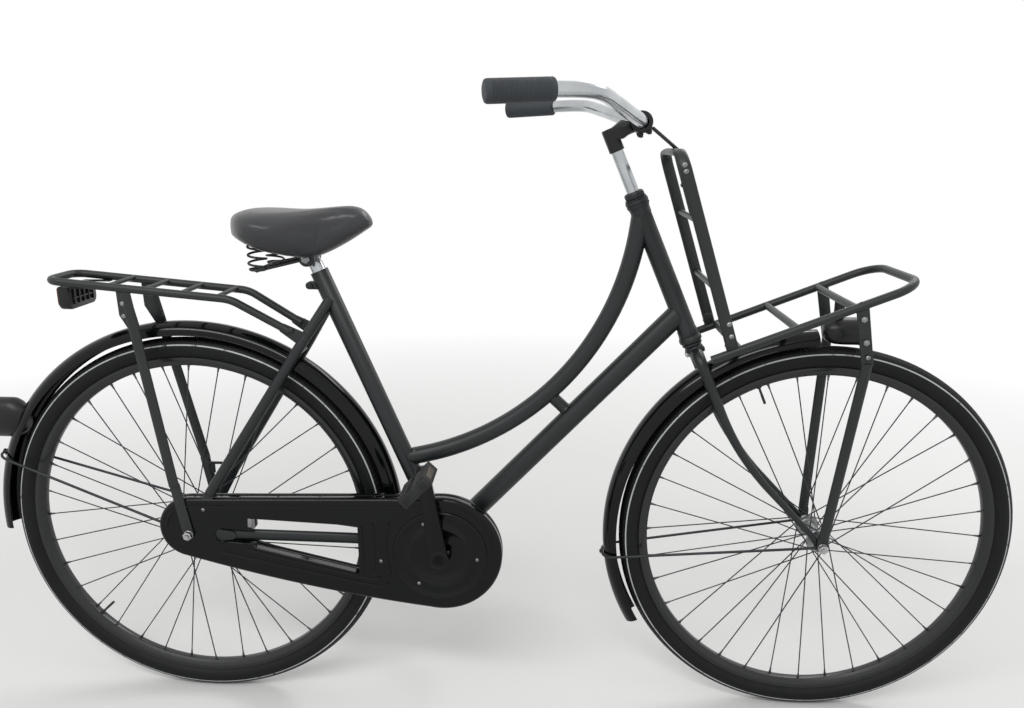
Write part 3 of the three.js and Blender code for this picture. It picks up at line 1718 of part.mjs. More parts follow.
// Shares of the saddle's length, half width and depth at each place from the rear to the nose:
// place, width, top of the side, height of the crown, foot of the skirt
const saddleShares = [
  [0, 0.22, 0.72, 0.78, 0.4],
  [0.016, 0.33, 0.77, 0.84, 0.37],
  [0.05, 0.51, 0.8, 0.885, 0.36],
  [0.1, 0.73, 0.83, 0.92, 0.33],
  [0.18, 0.92, 0.83, 0.937, 0.26],
  [0.28, 1, 0.816, 0.93, 0.167],
  [0.395, 0.92, 0.8, 0.914, 0.09],
  [0.51, 0.7, 0.816, 0.914, 0.02],
  [0.61, 0.5, 0.84, 0.937, 0.02],
  [0.724, 0.38, 0.874, 0.97, 0.17],
  [0.84, 0.32, 0.897, 1, 0.356],
  [0.922, 0.275, 0.874, 0.983, 0.494],
  [0.971, 0.2, 0.76, 0.85, 0.575],
  [1, 0.1, 0.66, 0.7, 0.61],
];

/** One cross-section of the cushion: a crown, rounded shoulders and sides drawn in to the skirt. */
function saddleRing([place, width, shoulder, crown, skirt]) {
  const base = saddleTop - saddleDepth;
  const x = saddleRear + saddleLength * place;
  const half = [
    [0, crown],
    [0.4, crown - (crown - shoulder) * 0.12],
    [0.75, crown - (crown - shoulder) * 0.45],
    [0.96, shoulder - (shoulder - skirt) * 0.12],
    [1, shoulder - (shoulder - skirt) * 0.4],
    [0.93, skirt + (shoulder - skirt) * 0.2],
    [0.8, skirt],
    [0, skirt],
  ];
  const side = (mark, [across, height]) =>
    point(x, mark * across * width * saddleHalfWidth, base + height * saddleDepth);
  const rightHalf = half.map((share) => side(right, share));
  const leftHalf = half.slice(1, -1).reverse().map((share) => side(left, share));
  return [...rightHalf, ...leftHalf];
}

function springPocket(side) {
  const radius = springRadius + springWireRadius + springPocketClearance;
  const top = springFootZ + springCurls * springPitch + springWireRadius + gap;
  const at = (z) => point(springX, side * springY, z);
  return rod(at(springSeatZ() - cutterLonger), at(top), radius, 14);
}

function saddleCushion() {
  const body = loft(saddleShares.map(saddleRing));
  return cut(body, springPocket(right), springPocket(left), cushionClearance());
}

/** The space that the under-frame takes up inside the skirt. */
function cushionClearance() {
  const post = rod(onSeatTube(seatTubeLength), onSeatTube(seatPostTop() + gap), seatPostRadius + gap, 16);
  return join(
    post,
    ...frameRails(railWireRadius + gap),
    frameClamp(clampRadius + gap, clampHalfLength + gap),
    frameBuffer(railWireRadius * 2 + gap * 2),
  );
}

/** The two under-rails, from inside the nose down past the clamp and back to the springs. */
function frameRails(radius) {
  const noseX = saddleRear + saddleLength * railNoseShare;
  const inset = clampHalfLength - railWireRadius * 2;
  return [right, left].map((side) =>
    pipe(
      bentRoute(
        [
          point(noseX, side * inset * 0.75, railNoseZ),
          point(clampX(), side * inset, clampZ),
          point(springX, side * springY, springSeatZ()),
        ],
        springRadius,
        2,
      ),
      radius,
      6,
    ),
  );
}

function springSeatZ() {
  return springFootZ - railWireRadius - springWireRadius - gap;
}

function clampX() {
  return crankX - (clampZ - crankZ) / Math.tan(seatAngle) - clampSetback;
}

function frameClamp(radius, halfLength) {
  return crossRod(clampX(), clampZ, radius, -halfLength, halfLength, 14);
}

/** The bar across the rear that carries both springs. */
function frameBuffer(radius) {
  const reach = springY + springRadius / 2;
  return crossRod(springX, springSeatZ(), radius / 2, -reach, reach, 8);
}

function saddleFrame() {
  const post = rod(onSeatTube(0), onSeatTube(seatPostTop() + gap), seatPostRadius + gap, 16);
  const cups = [right, left].map((side) => {
    const cupFrom = springFootZ - springWireRadius - gap;
    return rod(
      point(springX, side * springY, cupFrom - railWireRadius),
      point(springX, side * springY, cupFrom),
      springRadius,
      10,
    );
  });
  const clamp = frameClamp(clampRadius, clampHalfLength);
  return cut(join(...frameRails(railWireRadius), clamp, frameBuffer(railWireRadius * 2), ...cups), post);
}

function seatPostTop() {
  return (clampZ - crankZ) / Math.sin(seatAngle);
}

function seatPost() {
  const foot = seatTubeLength - seatPostInsertion;
  return rod(onSeatTube(foot), onSeatTube(seatPostTop()), seatPostRadius, 16);
}

/** Points on the wire of a saddle spring, which winds up from its cup into the cushion. */
function springPlaces(side) {
  const steps = springCurls * springSteps;
  return Array.from({ length: steps + 1 }, (_, step) => {
    const angle = (2 * Math.PI * step) / springSteps;
    return point(
      springX + springRadius * Math.cos(angle),
      side * (springY + springRadius * Math.sin(angle)),
      springFootZ + (springPitch * step) / springSteps,
    );
  });
}

function saddleSpring(side) {
  const places = springPlaces(side);
  const stations = places.map((at, index) => {
    const before = places[Math.max(index - 1, 0)];
    const after = places[Math.min(index + 1, places.length - 1)];
    return { at, along: after.clone().sub(before).normalize() };
  });
  return taperedPipe(new Route(stations), springWireRadius, springWireRadius, 5);
}

/** The least distance between two curls of a spring, less the wire: it prints in millimetres. */
function springGap() {
  const places = springPlaces(left);
  let least = Infinity;
  places.forEach((place, index) => {
    places.slice(index + springSteps / 2).forEach((other) => {
      least = Math.min(least, place.distanceTo(other));
    });
  });
  return least - 2 * springWireRadius;
}

// The bike

function buildFrame() {
  const group = new THREE.Group();
  const headGroup = steeringGroup();
  addPiece(headGroup, "head_tube", headTube(), blackFrame);
  addPiece(headGroup, "upper_headset_cup", headsetCup(headTubeTop + gap, steererTop), steel);
  const lowerTop = headTubeFoot - gap;
  addPiece(headGroup, "lower_headset_cup", headsetCup(lowerTop, lowerTop - lowerCupHeight), blackFrame);
  addPiece(group, "loop_tube", loopTube(), blackFrame);
  addPiece(group, "down_tube", downTube(), blackFrame);
  addPiece(group, "seat_tube", seatTube(), blackFrame);
  [right, left].forEach((side) => {
    addPiece(group, sideName(side) + "_chain_stay", chainStay(side), blackFrame);
    addPiece(group, sideName(side) + "_seat_stay", seatStay(side), blackFrame);
    addPiece(group, sideName(side) + "_carrier_leg", carrierLeg(side), blackCarrier);
    addPiece(group, sideName(side) + "_saddle_spring", saddleSpring(side), darkSteel);
  });
  addPiece(group, "brake_arm", brakeArm(), blackFrame);
  addPiece(group, "rear_carrier", rearCarrier(), blackCarrier);
  addPiece(group, "rear_reflector", rearReflector(), redLens);
  addPiece(group, "tail_light_housing", tailLight(), blackPlastic);
  addPiece(group, "tail_light_lens", tailLens(), redLens);
  addPiece(group, "chaincase_outer", chaincaseOuter(), blackGloss);
  addPiece(group, "chaincase_inner", chaincaseInner(), blackGloss);
  addPiece(group, "chain", chain(), darkSteel);
  addPiece(group, "seat_post", seatPost(), chrome);
  addPiece(group, "saddle_frame", saddleFrame(), darkSteel);
  addPiece(group, "saddle_cushion", saddleCushion(), vinyl);
  group.add(headGroup);
  return group;
}

/** What stands at the rear axle: its own pieces, the mudguard and the mudguard's stay. */
function buildRearAxle() {
  const group = new THREE.Group();
  group.position.set(0, 0, hubHeight);
  const nutY = (side) => side * (legFootY(side) + legFootThickness + gap);
  addPiece(group, "rear_axle", axle(nutY(right), nutY(left)), steel);
  addPiece(group, "rear_sprocket", rearSprocket(), darkSteel);
  const guard = mudguard(rearMudguardHalfWidth, rearMudguardFrom, rearMudguardTo);
  addPiece(group, "rear_mudguard", guard, blackGloss);
  addPiece(group, "rear_mudguard_stay", rearMudguardStay(), darkSteel);
  return group;
}

function steeringGroup() {
  const group = new THREE.Group();
  group.position.copy(headFoot);
  group.rotation.y = headAngle - Math.PI / 2;
  return group;
}

function buildSteering() {
  const group = steeringGroup();
  addPiece(group, "fork", fork(), blackFrame);
  addPiece(group, "headset_locknut", headsetLocknut(), chrome);
  addPiece(group, "quill_stem", quill(), chrome);
  addPiece(group, "stem_clamp", stemClamp(), blackPlastic);
  addPiece(group, "handlebar", pipe(barRoute(), barRadius, barSides), chrome);
  [right, left].forEach((side) => {
    addPiece(group, sideName(side) + "_grip", boredGrip(side), rubber);
  });
  return group;
}

function buildFrontCarrier() {
  const group = new THREE.Group();
  addPiece(group, "front_carrier_platform", frontPlatform(), blackCarrier);
  addPiece(group, "front_carrier_rack", frontRack(), blackCarrier);
  addPiece(group, "carrier_top_rod", carrierTopRod(topRodRadius), darkSteel);
  [right, left].forEach((side) => {
    addPiece(group, sideName(side) + "_carrier_strut", carrierStrut(side), blackCarrier);
  });
  addPiece(group, "headlamp", headlamp(), blackPlastic);
  addPiece(group, "headlamp_lens", headlampLens(), clearLens);
  return group;
}

/** What stands at the front axle beside the wheel. */
function buildFrontAxle() {
  const group = new THREE.Group();
  group.position.set(wheelbase, 0, hubHeight);
  const nutY = frontDropoutY + dropoutThickness + eyeThickness + legFootThickness + gap * 3;
  addPiece(group, "front_axle", axle(-nutY, nutY), steel);
  const guard = mudguard(frontMudguardHalfWidth, frontMudguardFrom, frontMudguardTo);
  addPiece(group, "front_mudguard", guard, blackGloss);
  addPiece(group, "front_mudguard_stay", frontMudguardStay(), darkSteel);
  return group;
}

/** What stays still round the crank axle. */
function buildCrankBearing() {
  const group = new THREE.Group();
  group.position.copy(crankCentre);
  addPiece(group, "bottom_bracket_shell", bottomBracketShell(), blackFrame);
  addPiece(group, "chaincase_cover", chaincaseCover(), blackGloss);
  return group;
}

function buildCranks() {
  const group = new THREE.Group();
  group.position.copy(crankCentre);
  addPiece(group, "crank_axle", crankAxle(), steel);
  addPiece(group, "chainring", chainring(), darkSteel);
  [right, left].forEach((side) => {
    addPiece(group, sideName(side) + "_crank", crankArm(side), blackGloss);
    const pedalGroup = new THREE.Group();
    const middleY = side * (crankInnerY + crankThickness + pedalInset + pedalHalfWidth);
    pedalGroup.position.copy(pedalPlace(side)).setY(middleY);
    pedalGroup.rotation.y = -pedalPitch;
    addPiece(pedalGroup, sideName(side) + "_pedal", pedal(), rubber);
    group.add(pedalGroup);
  });
  return group;
}

const bike = new THREE.Group();
bike.add(
  buildFrame(),
  buildRearAxle(),
  buildSteering(),
  buildFrontCarrier(),
  buildFrontAxle(),
  buildCrankBearing(),
  buildCranks(),
  wheel("rear", 0, rearValveAngle, rearHub()),
  wheel("front", wheelbase, frontValveAngle, frontHub()),
);
console.log("least gap between spring curls, mm: " + springGap().toFixed(2));

export default bike;
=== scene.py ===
import logging
import math
from dataclasses import dataclass, field, replace
from enum import Enum

import bmesh
import bpy
from mathutils import Matrix, Vector


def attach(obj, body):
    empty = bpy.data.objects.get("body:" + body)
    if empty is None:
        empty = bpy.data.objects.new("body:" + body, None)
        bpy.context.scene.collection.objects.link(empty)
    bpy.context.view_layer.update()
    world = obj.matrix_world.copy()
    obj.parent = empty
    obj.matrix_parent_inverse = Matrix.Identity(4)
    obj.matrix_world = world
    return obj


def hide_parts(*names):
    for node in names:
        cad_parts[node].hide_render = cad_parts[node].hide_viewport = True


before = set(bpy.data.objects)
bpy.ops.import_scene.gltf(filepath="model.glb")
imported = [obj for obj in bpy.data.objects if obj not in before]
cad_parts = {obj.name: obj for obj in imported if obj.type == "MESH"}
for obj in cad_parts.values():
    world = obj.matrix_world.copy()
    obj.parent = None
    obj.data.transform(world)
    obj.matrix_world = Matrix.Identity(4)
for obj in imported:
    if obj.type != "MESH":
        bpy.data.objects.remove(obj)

log = logging.getLogger("city_bicycle")

MM = 0.001
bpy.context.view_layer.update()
RIGHT = -1
LEFT = 1
SIDES = {RIGHT: "right", LEFT: "left"}

Place = tuple[float, float]
Spot = tuple[float, float, float]
Colour = tuple[float, float, float]

AHEAD = Vector((1, 0, 0))
UP = Vector((0, 0, 1))


def aside(side: float) -> Vector:
    """The way, or the distance, to the left, or to the right where it is less than nothing."""
    return Vector((0, side, 0))


# Main places of the bicycle, shared by every sub-assembly


@dataclass(frozen=True)
class Layout:
    """The main places and angles of the bicycle, in millimetres and degrees."""

    hub_height: float = 355.0
    wheelbase: float = 1142.0
    head_angle: float = 66.5
    fork_rake: float = 78.0
    crank_x: float = 460.0
    crank_z: float = 325.0
    seat_angle: float = 67.3
    stay_drop: float = 0.07
    rear_fork_y: float = 59.0
    front_fork_y: float = 50.0
    fork_thickness: float = 5.0
    gap: float = 0.3

    @property
    def head_up(self) -> Vector:
        """The way up along the steering axis."""
        angle = math.radians(self.head_angle)
        return Vector((-math.cos(angle), 0, math.sin(angle)))

    @property
    def head_forward(self) -> Vector:
        """The way forward, square to the steering axis."""
        angle = math.radians(self.head_angle)
        return Vector((math.sin(angle), 0, math.cos(angle)))

    @property
    def head_foot(self) -> Vector:
        """The place on the steering axis that lies nearest the front axle."""
        return Vector((self.wheelbase, 0, self.hub_height)) - self.head_forward * self.fork_rake

    @property
    def head_matrix(self) -> Matrix:
        """Brings shapes made along the steering axis to their place.

        Returns:
            The turn and the move.
        """
        columns = (self.head_forward, Vector((0, 1, 0)), self.head_up)
        turn = Matrix(columns).transposed().to_4x4()
        return Matrix.Translation(self.head_foot) @ turn

    @property
    def crank(self) -> Vector:
        """The middle of the crank axle."""
        return Vector((self.crank_x, 0, self.crank_z))

    def on_head(self, along: float, forward: float = 0.0, across: float = 0.0) -> Vector:
        """A place counted from the foot of the steering axis.

        Args:
            along: distance up the axis.
            forward: distance in front of the axis.
            across: distance to the left.

        Returns:
            The place in the frame of the bicycle.
        """
        return self.head_matrix @ Vector((forward, across, along))

    def on_seat_tube(self, along: float, across: float = 0.0) -> Vector:
        """A place on the axis of the seat tube.

        Args:
            along: distance up from the crank axle.
            across: distance to the left.

        Returns:
            The place in the frame of the bicycle.
        """
        angle = math.radians(self.seat_angle)
        up = Vector((-math.cos(angle), 0, math.sin(angle)))
        return self.crank + up * along + Vector((0, across, 0))

    def stay_z(self, x: float) -> float:
        """The height of the chain stays' middle at a place along the bicycle."""
        return self.hub_height + 3.25 - self.stay_drop * x


LAYOUT = Layout()


# Routes that tubes and wires follow


def bent_route(corners: list[Vector], bends: float | list[float], steps: int = 10) -> list[Vector]:
    """Straight runs between corners, with a round bend at each inner corner.

    Args:
        corners: the places where the straight runs meet.
        bends: one radius for all bends, or one for each.
        steps: how many runs each bend is divided into.

    Returns:
        The places along the route.
    """
    radii = bends if isinstance(bends, list) else [bends] * (len(corners) - 2)
    route = [corners[0].copy()]
    for before, corner, after, bend in zip(corners, corners[1:], corners[2:], radii):
        into = (corner - before).normalized()
        out = (after - corner).normalized()
        turn = into.angle(out)
        side = (out - into * into.dot(out)).normalized()
        centre = corner - into * (bend * math.tan(turn / 2)) + side * bend
        for step in range(steps + 1):
            angle = turn * step / steps
            route.append(centre - side * (bend * math.cos(angle)) + into * (bend * math.sin(angle)))
    route.append(corners[-1].copy())
    return route


def smooth_route(places: list[Vector], steps: int = 12) -> list[Vector]:
    """A smooth curve that passes through every place.

    Args:
        places: the places to pass through.
        steps: how many runs there are between two of them.

    Returns:
        The places along the route.
    """
    longer = [places[0] * 2 - places[1], *places, places[-1] * 2 - places[-2]]
    route = []
    for p0, p1, p2, p3 in zip(longer, longer[1:], longer[2:], longer[3:]):
        d0, d1, d2 = (math.sqrt((b - a).length) for a, b in ((p0, p1), (p1, p2), (p2, p3)))
        out = ((p1 - p0) / d0 - (p2 - p0) / (d0 + d1) + (p2 - p1) / d1) * d1
        into = ((p2 - p1) / d1 - (p3 - p1) / (d1 + d2) + (p3 - p2) / d2) * d1
        for step in range(steps):
            t = step / steps
            bend = (p1 - p2) * 2 + out + into
            rest = (p2 - p1) * 3 - out * 2 - into
            route.append(p1 + out * t + rest * t * t + bend * t * t * t)
    route.append(places[-1].copy())
    return route


def helix_route(centre: Vector, radius: float, pitch: float, turns: float, steps: int, mirror: int) -> list[Vector]:
    """A wire wound up round a vertical axis.

    Args:
        centre: the foot of the axis.
        radius: from the axis to the middle of the wire.
        pitch: the rise in one turn.
        turns: how many turns there are.
        steps: how many runs each turn has.
        mirror: the way that it winds, 1 or -1.

    Returns:
        The places along the wire.
    """
    count = round(turns * steps)
    return [
        centre
        + Vector(
            (
                radius * math.cos(2 * math.pi * step / steps),
                mirror * radius * math.sin(2 * math.pi * step / steps),
                pitch * step / steps,
            )
        )
        for step in range(count + 1)
    ]


def arc_places(x: float, z: float, radius: float, start: float, end: float, steps: int) -> list[Place]:
    """Places on an arc in the plane of the bicycle, counted from forward toward up.

    Args:
        x: the arc's centre along the bicycle.
        z: the arc's centre in height.
        radius: the arc's radius.
        start: the first angle, in radians.
        end: the last angle, in radians.
        steps: how many runs the arc is divided into.

    Returns:
        The places as pairs of x and z.
    """
    angles = [start + (end - start) * step / steps for step in range(steps + 1)]
    return [(x + radius * math.cos(angle), z + radius * math.sin(angle)) for angle in angles]


def link_outline(start: Place, end: Place, start_radius: float, end_radius: float) -> list[Place]:
    """The outline of a flat bar with round ends.

    Args:
        start: the middle of its first end.
        end: the middle of its last end.
        start_radius: the first end's radius.
        end_radius: the last end's radius.

    Returns:
        The outline's places.
    """
    turn = math.atan2(end[1] - start[1], end[0] - start[0])
    quarter = math.pi / 2
    return [
        *arc_places(*end, end_radius, turn - quarter, turn + quarter, 16),
        *arc_places(*start, start_radius, turn + quarter, turn + 3 * quarter, 16),
    ]


# Shapes


def joined(*parts: bmesh.types.BMesh) -> bmesh.types.BMesh:
    """Several shapes as one.

    Args:
        parts: the shapes, which are used up.

    Returns:
        One shape that holds them all.
    """
    whole = bmesh.new()
    for part in parts:
        data = bpy.data.meshes.new("part")
        part.to_mesh(data)
        part.free()
        whole.from_mesh(data)
        bpy.data.meshes.remove(data)
    return whole


def moved(shape: bmesh.types.BMesh, matrix: Matrix) -> bmesh.types.BMesh:
    """A shape brought to another place."""
    bmesh.ops.transform(shape, matrix=matrix, verts=shape.verts)
    return shape


def softened(shape: bmesh.types.BMesh, edge: float, segments: int = 2, angle: float = 50) -> bmesh.types.BMesh:
    """A shape with its sharp edges rounded.

    Args:
        shape: the shape to round.
        edge: how far the rounding reaches from each edge.
        segments: how many faces run across the rounding.
        angle: the least angle of a sharp edge, in degrees.

    Returns:
        The same shape, rounded.
    """
    sharp = [e for e in shape.edges if e.is_manifold and e.calc_face_angle(0) > math.radians(angle)]
    bmesh.ops.bevel(
        shape, geom=sharp, offset=edge, affect="EDGES", segments=segments, profile=0.5, material=-1, clamp_overlap=True
    )
    return shape


def tube(
    route: list[Vector],
    size: float | Place | list[float | Place],
    sides: int = 20,
    across: Vector | None = None,
) -> bmesh.types.BMesh:
    """A tube with closed ends: a circle that is extruded from place to place.

    Args:
        route: the places that its middle follows.
        size: its radius, or its half width and half height, or one of these for each place.
        sides: how many faces run round it.
        across: the way of its half width, where it isn't round.

    Returns:
        The tube.
    """
    last = len(route) - 1
    ways = [(route[min(i + 1, last)] - route[max(i - 1, 0)]).normalized() for i in range(last + 1)]
    normal = across or ways[0].orthogonal()
    shape = bmesh.new()
    rim: list[bmesh.types.BMEdge] = []
    before = Matrix()
    for index, (place, way) in enumerate(zip(route, ways)):
        normal = (normal - way * normal.dot(way)).normalized()
        here_size = size[index] if isinstance(size, list) else size
        wide, high = here_size if isinstance(here_size, tuple) else (here_size, here_size)
        turn = Matrix((normal * wide, way.cross(normal) * high, way)).transposed().to_4x4()
        here = Matrix.Translation(place) @ turn
        if not index:
            bmesh.ops.create_circle(shape, cap_ends=True, radius=1, segments=sides, matrix=here)
            rim = shape.edges[:]
        else:
            geom = bmesh.ops.extrude_edge_only(shape, edges=rim)["geom"]
            corners = {item for item in geom if isinstance(item, bmesh.types.BMVert)}
            rim = [e for e in geom if isinstance(e, bmesh.types.BMEdge) and set(e.verts) <= corners]
            bmesh.ops.transform(shape, matrix=here @ before.inverted(), verts=list(corners))
        before = here
    bmesh.ops.edgeloop_fill(shape, edges=rim)
    bmesh.ops.recalc_face_normals(shape, faces=shape.faces)
    return shape


def bar(start: Vector, end: Vector, radius: float, sides: int = 16, edge: float = 0.0) -> bmesh.types.BMesh:
    """A straight round bar between two places, with rounded ends where an edge is given."""
    shape = tube([start, end], radius, sides)
    return softened(shape, edge) if edge else shape


def lathe(
    profile: list[Place], place: Vector = Vector(), axis: Vector = Vector((0, 1, 0)), steps: int = 48
) -> bmesh.types.BMesh:
    """A profile turned round an axis.

    Args:
        profile: pairs of radius and distance along the axis.
        place: the start of the axis.
        axis: the way of the axis.
        steps: how many faces run round it.

    Returns:
        The turned shape, with its poles and seam closed.
    """
    shape = bmesh.new()
    chain = [shape.verts.new((radius, 0, along)) for radius, along in profile]
    edges = [shape.edges.new(pair) for pair in zip(chain, chain[1:])]
    bmesh.ops.spin(
        shape, geom=chain + edges, cent=(0, 0, 0), axis=(0, 0, 1), angle=2 * math.pi, steps=steps, use_merge=True
    )
    bmesh.ops.remove_doubles(shape, verts=shape.verts, dist=0.002)
    bmesh.ops.dissolve_degenerate(shape, edges=shape.edges, dist=0.001)
    bmesh.ops.recalc_face_normals(shape, faces=shape.faces)
    turn = Vector((0, 0, 1)).rotation_difference(axis).to_matrix().to_4x4()
    return moved(shape, Matrix.Translation(place) @ turn)


def outline_ring(shape: bmesh.types.BMesh, outline: list[Place], y: float) -> list[bmesh.types.BMEdge]:
    """A closed chain of edges along an outline in the plane of the bicycle.

    Args:
        shape: the shape that receives it.
        outline: the outline's places.
        y: its place across the bicycle.

    Returns:
        The chain's edges.
    """
    corners = [shape.verts.new((x, y, z)) for x, z in outline]
    return [shape.edges.new(pair) for pair in zip(corners, corners[1:] + corners[:1])]


def plate(
    outline: list[Place], start: float, end: float, edge: float = 0.0, holes: tuple[list[Place], ...] = ()
) -> bmesh.types.BMesh:
    """A flat plate in the plane of the bicycle.

    Args:
        outline: the outline's places.
        start: the place of its first face across the bicycle.
        end: the place of its last face.
        edge: how far its edges are rounded.
        holes: the outlines of its holes.

    Returns:
        The plate.
    """
    shape = bmesh.new()
    for ring in (outline, *holes):
        outline_ring(shape, ring, start)
    if holes:
        bmesh.ops.triangle_fill(shape, use_beauty=True, edges=shape.edges[:])
    else:
        bmesh.ops.contextual_create(shape, geom=shape.verts[:])
    grown = bmesh.ops.extrude_face_region(shape, geom=shape.faces[:])["geom"]
    corners = [item for item in grown if isinstance(item, bmesh.types.BMVert)]
    bmesh.ops.translate(shape, vec=(0, end - start, 0), verts=corners)
    bmesh.ops.recalc_face_normals(shape, faces=shape.faces)
    return softened(shape, edge) if edge else shape


def block(low: tuple[float, float, float], high: tuple[float, float, float], edge: float) -> bmesh.types.BMesh:
    """A block with rounded edges.

    Args:
        low: its lowest corner.
        high: its highest corner.
        edge: how far its edges are rounded.

    Returns:
        The block.
    """
    size = [b - a for a, b in zip(low, high)]
    middle = Vector([(a + b) / 2 for a, b in zip(low, high)])
    shape = bmesh.new()
    bmesh.ops.create_cube(shape, size=1, matrix=Matrix.Translation(middle) @ Matrix.Diagonal((*size, 1)))
    return softened(shape, edge, segments=3)


def hex_nut(place: Vector, axis: Vector, radius: float, height: float, turn: float = 0.0) -> bmesh.types.BMesh:
    """A six-sided nut or bolt head with its corners turned off and a domed end in it.

    Args:
        place: the middle of its seat.
        axis: the way that it points.
        radius: from its middle to its corners.
        height: how far it stands off its seat.
        turn: how far it is turned on its axis, in degrees.

    Returns:
        The nut with the end of its bolt.
    """
    head = bmesh.new()
    middle = Matrix.Translation((0, 0, height / 2)) @ Matrix.Rotation(math.radians(turn), 4, "Z")
    bmesh.ops.create_cone(
        head, cap_ends=True, segments=6, radius1=radius, radius2=radius, depth=height, matrix=middle
    )
    softened(head, height * 0.14, segments=2)
    end = radius * 0.52
    stub = lathe([(0, 0), (end, 0), (end, height * 1.18), (end * 0.72, height * 1.3), (0, height * 1.34)], steps=16,
                 axis=UP)
    whole = joined(head, stub)
    return moved(whole, Matrix.Translation(place) @ Vector((0, 0, 1)).rotation_difference(axis).to_matrix().to_4x4())


def dome_screw(place: Vector, axis: Vector, radius: float) -> bmesh.types.BMesh:
    """A round-headed screw with a recess in its head.

    Args:
        place: the middle of its seat.
        axis: the way that it points.
        radius: its outer radius.

    Returns:
        The shape, in millimetres.
    """
    profile = [
        (0, radius * 0.3),
        (radius * 0.28, radius * 0.3),
        (radius * 0.38, radius * 0.62),
        (radius * 0.72, radius * 0.5),
        (radius * 0.95, radius * 0.22),
        (radius, 0),
        (0, 0),
    ]
    return lathe(profile, place, axis, steps=20)


def washer(place: Vector, axis: Vector, bore: float, radius: float, thickness: float) -> bmesh.types.BMesh:
    """A flat washer with softened rims.

    Args:
        place: the middle of its seat.
        axis: the way that it points.
        bore: the radius of its hole.
        radius: its outer radius.
        thickness: how thick it is.

    Returns:
        The shape, in millimetres.
    """
    edge = thickness * 0.3
    profile = [
        (bore, 0),
        (radius - edge, 0),
        (radius, edge),
        (radius, thickness - edge),
        (radius - edge, thickness),
        (bore, thickness),
        (bore, 0),
    ]
    return lathe(profile, place, axis, steps=32)


# Finishes


@dataclass
class NodeSheet:
    """The nodes of one material or one group, with short ways to add and join them."""

    tree: bpy.types.NodeTree

    def add(self, kind: str, inputs: dict | None = None, **settings: object) -> bpy.types.Node:
        """A new node with its settings and inputs.

        Args:
            kind: the node's type, without the common first word.
            inputs: by name or number, a value or the output that feeds it.
            settings: the node's own options.

        Returns:
            The node.
        """
        node = self.tree.nodes.new("ShaderNode" + kind)
        for name, value in settings.items():
            setattr(node, name, value)
        self.feed(node, inputs or {})
        return node

    def feed(self, node: bpy.types.Node, inputs: dict) -> None:
        """Gives a node's inputs their values, or joins them to the outputs that feed them.

        Args:
            node: the node.
            inputs: by name or number, a value or an output.
        """
        for key, value in inputs.items():
            if isinstance(value, bpy.types.NodeSocket):
                self.tree.links.new(value, node.inputs[key])
            else:
                node.inputs[key].default_value = value

    def math(self, operation: str, *values: object) -> bpy.types.NodeSocket:
        """The result of one sum on numbers or outputs."""
        return self.add("Math", dict(enumerate(values)), operation=operation).outputs[0]

    def noise(self, place: bpy.types.NodeSocket, size: float, detail: float = 2.0) -> bpy.types.NodeSocket:
        """Soft noise from 0 to 1 that has so many features to a metre."""
        inputs = {"Vector": place, "Scale": size, "Detail": detail, "Roughness": 0.55}
        return self.add("TexNoise", inputs).outputs["Fac"]

    def ramp(self, value: bpy.types.NodeSocket, low: float, high: float, top: float = 1.0) -> bpy.types.NodeSocket:
        """A value stretched so that low becomes 0 and high becomes top."""
        inputs = {"Value": value, "From Min": low, "From Max": high, "To Max": top}
        return self.add("MapRange", inputs, clamp=True).outputs["Result"]

    def mix(self, share: object, first: object, last: object) -> bpy.types.NodeSocket:
        """One colour that goes over into another."""
        node = self.add("Mix", {0: share, 6: first, 7: last}, data_type="RGBA")
        return node.outputs[2]

    def stretched(self, place: bpy.types.NodeSocket, scale: tuple[float, float, float]) -> bpy.types.NodeSocket:
        """A place whose three ways are scaled apart."""
        return self.add("Mapping", {"Vector": place, "Scale": scale}).outputs["Vector"]


class Effect(Enum):
    """The effects that several finishes share, each built once as a node group."""

    WORN = "worn_surface"
    GRAIN = "moulded_grain"
    HIDE = "pressed_hide"
    BRUSHED = "brushed_lines"
    WHEEL = "place_on_wheel"

    def group(self) -> bpy.types.NodeTree:
        """The effect's node group, built at its first use."""
        known = bpy.data.node_groups.get(self.value)
        return known or EFFECT_BUILDERS[self](self.value)


def new_group(name: str, inputs: dict[str, str], outputs: dict[str, str]) -> tuple[NodeSheet, object, object]:
    """An empty node group with named inputs and outputs.

    Args:
        name: the group's name.
        inputs: each input's name and kind.
        outputs: each output's name and kind.

    Returns:
        The group's sheet, its inputs by name, and the node that takes its outputs.
    """
    tree = bpy.data.node_groups.new(name, "ShaderNodeTree")
    for way, sockets in (("INPUT", inputs), ("OUTPUT", outputs)):
        for label, kind in sockets.items():
            tree.interface.new_socket(label, in_out=way, socket_type="NodeSocket" + kind)
    sheet = NodeSheet(tree)
    entry = tree.nodes.new("NodeGroupInput")
    leave = tree.nodes.new("NodeGroupOutput")
    return sheet, entry.outputs, leave.inputs


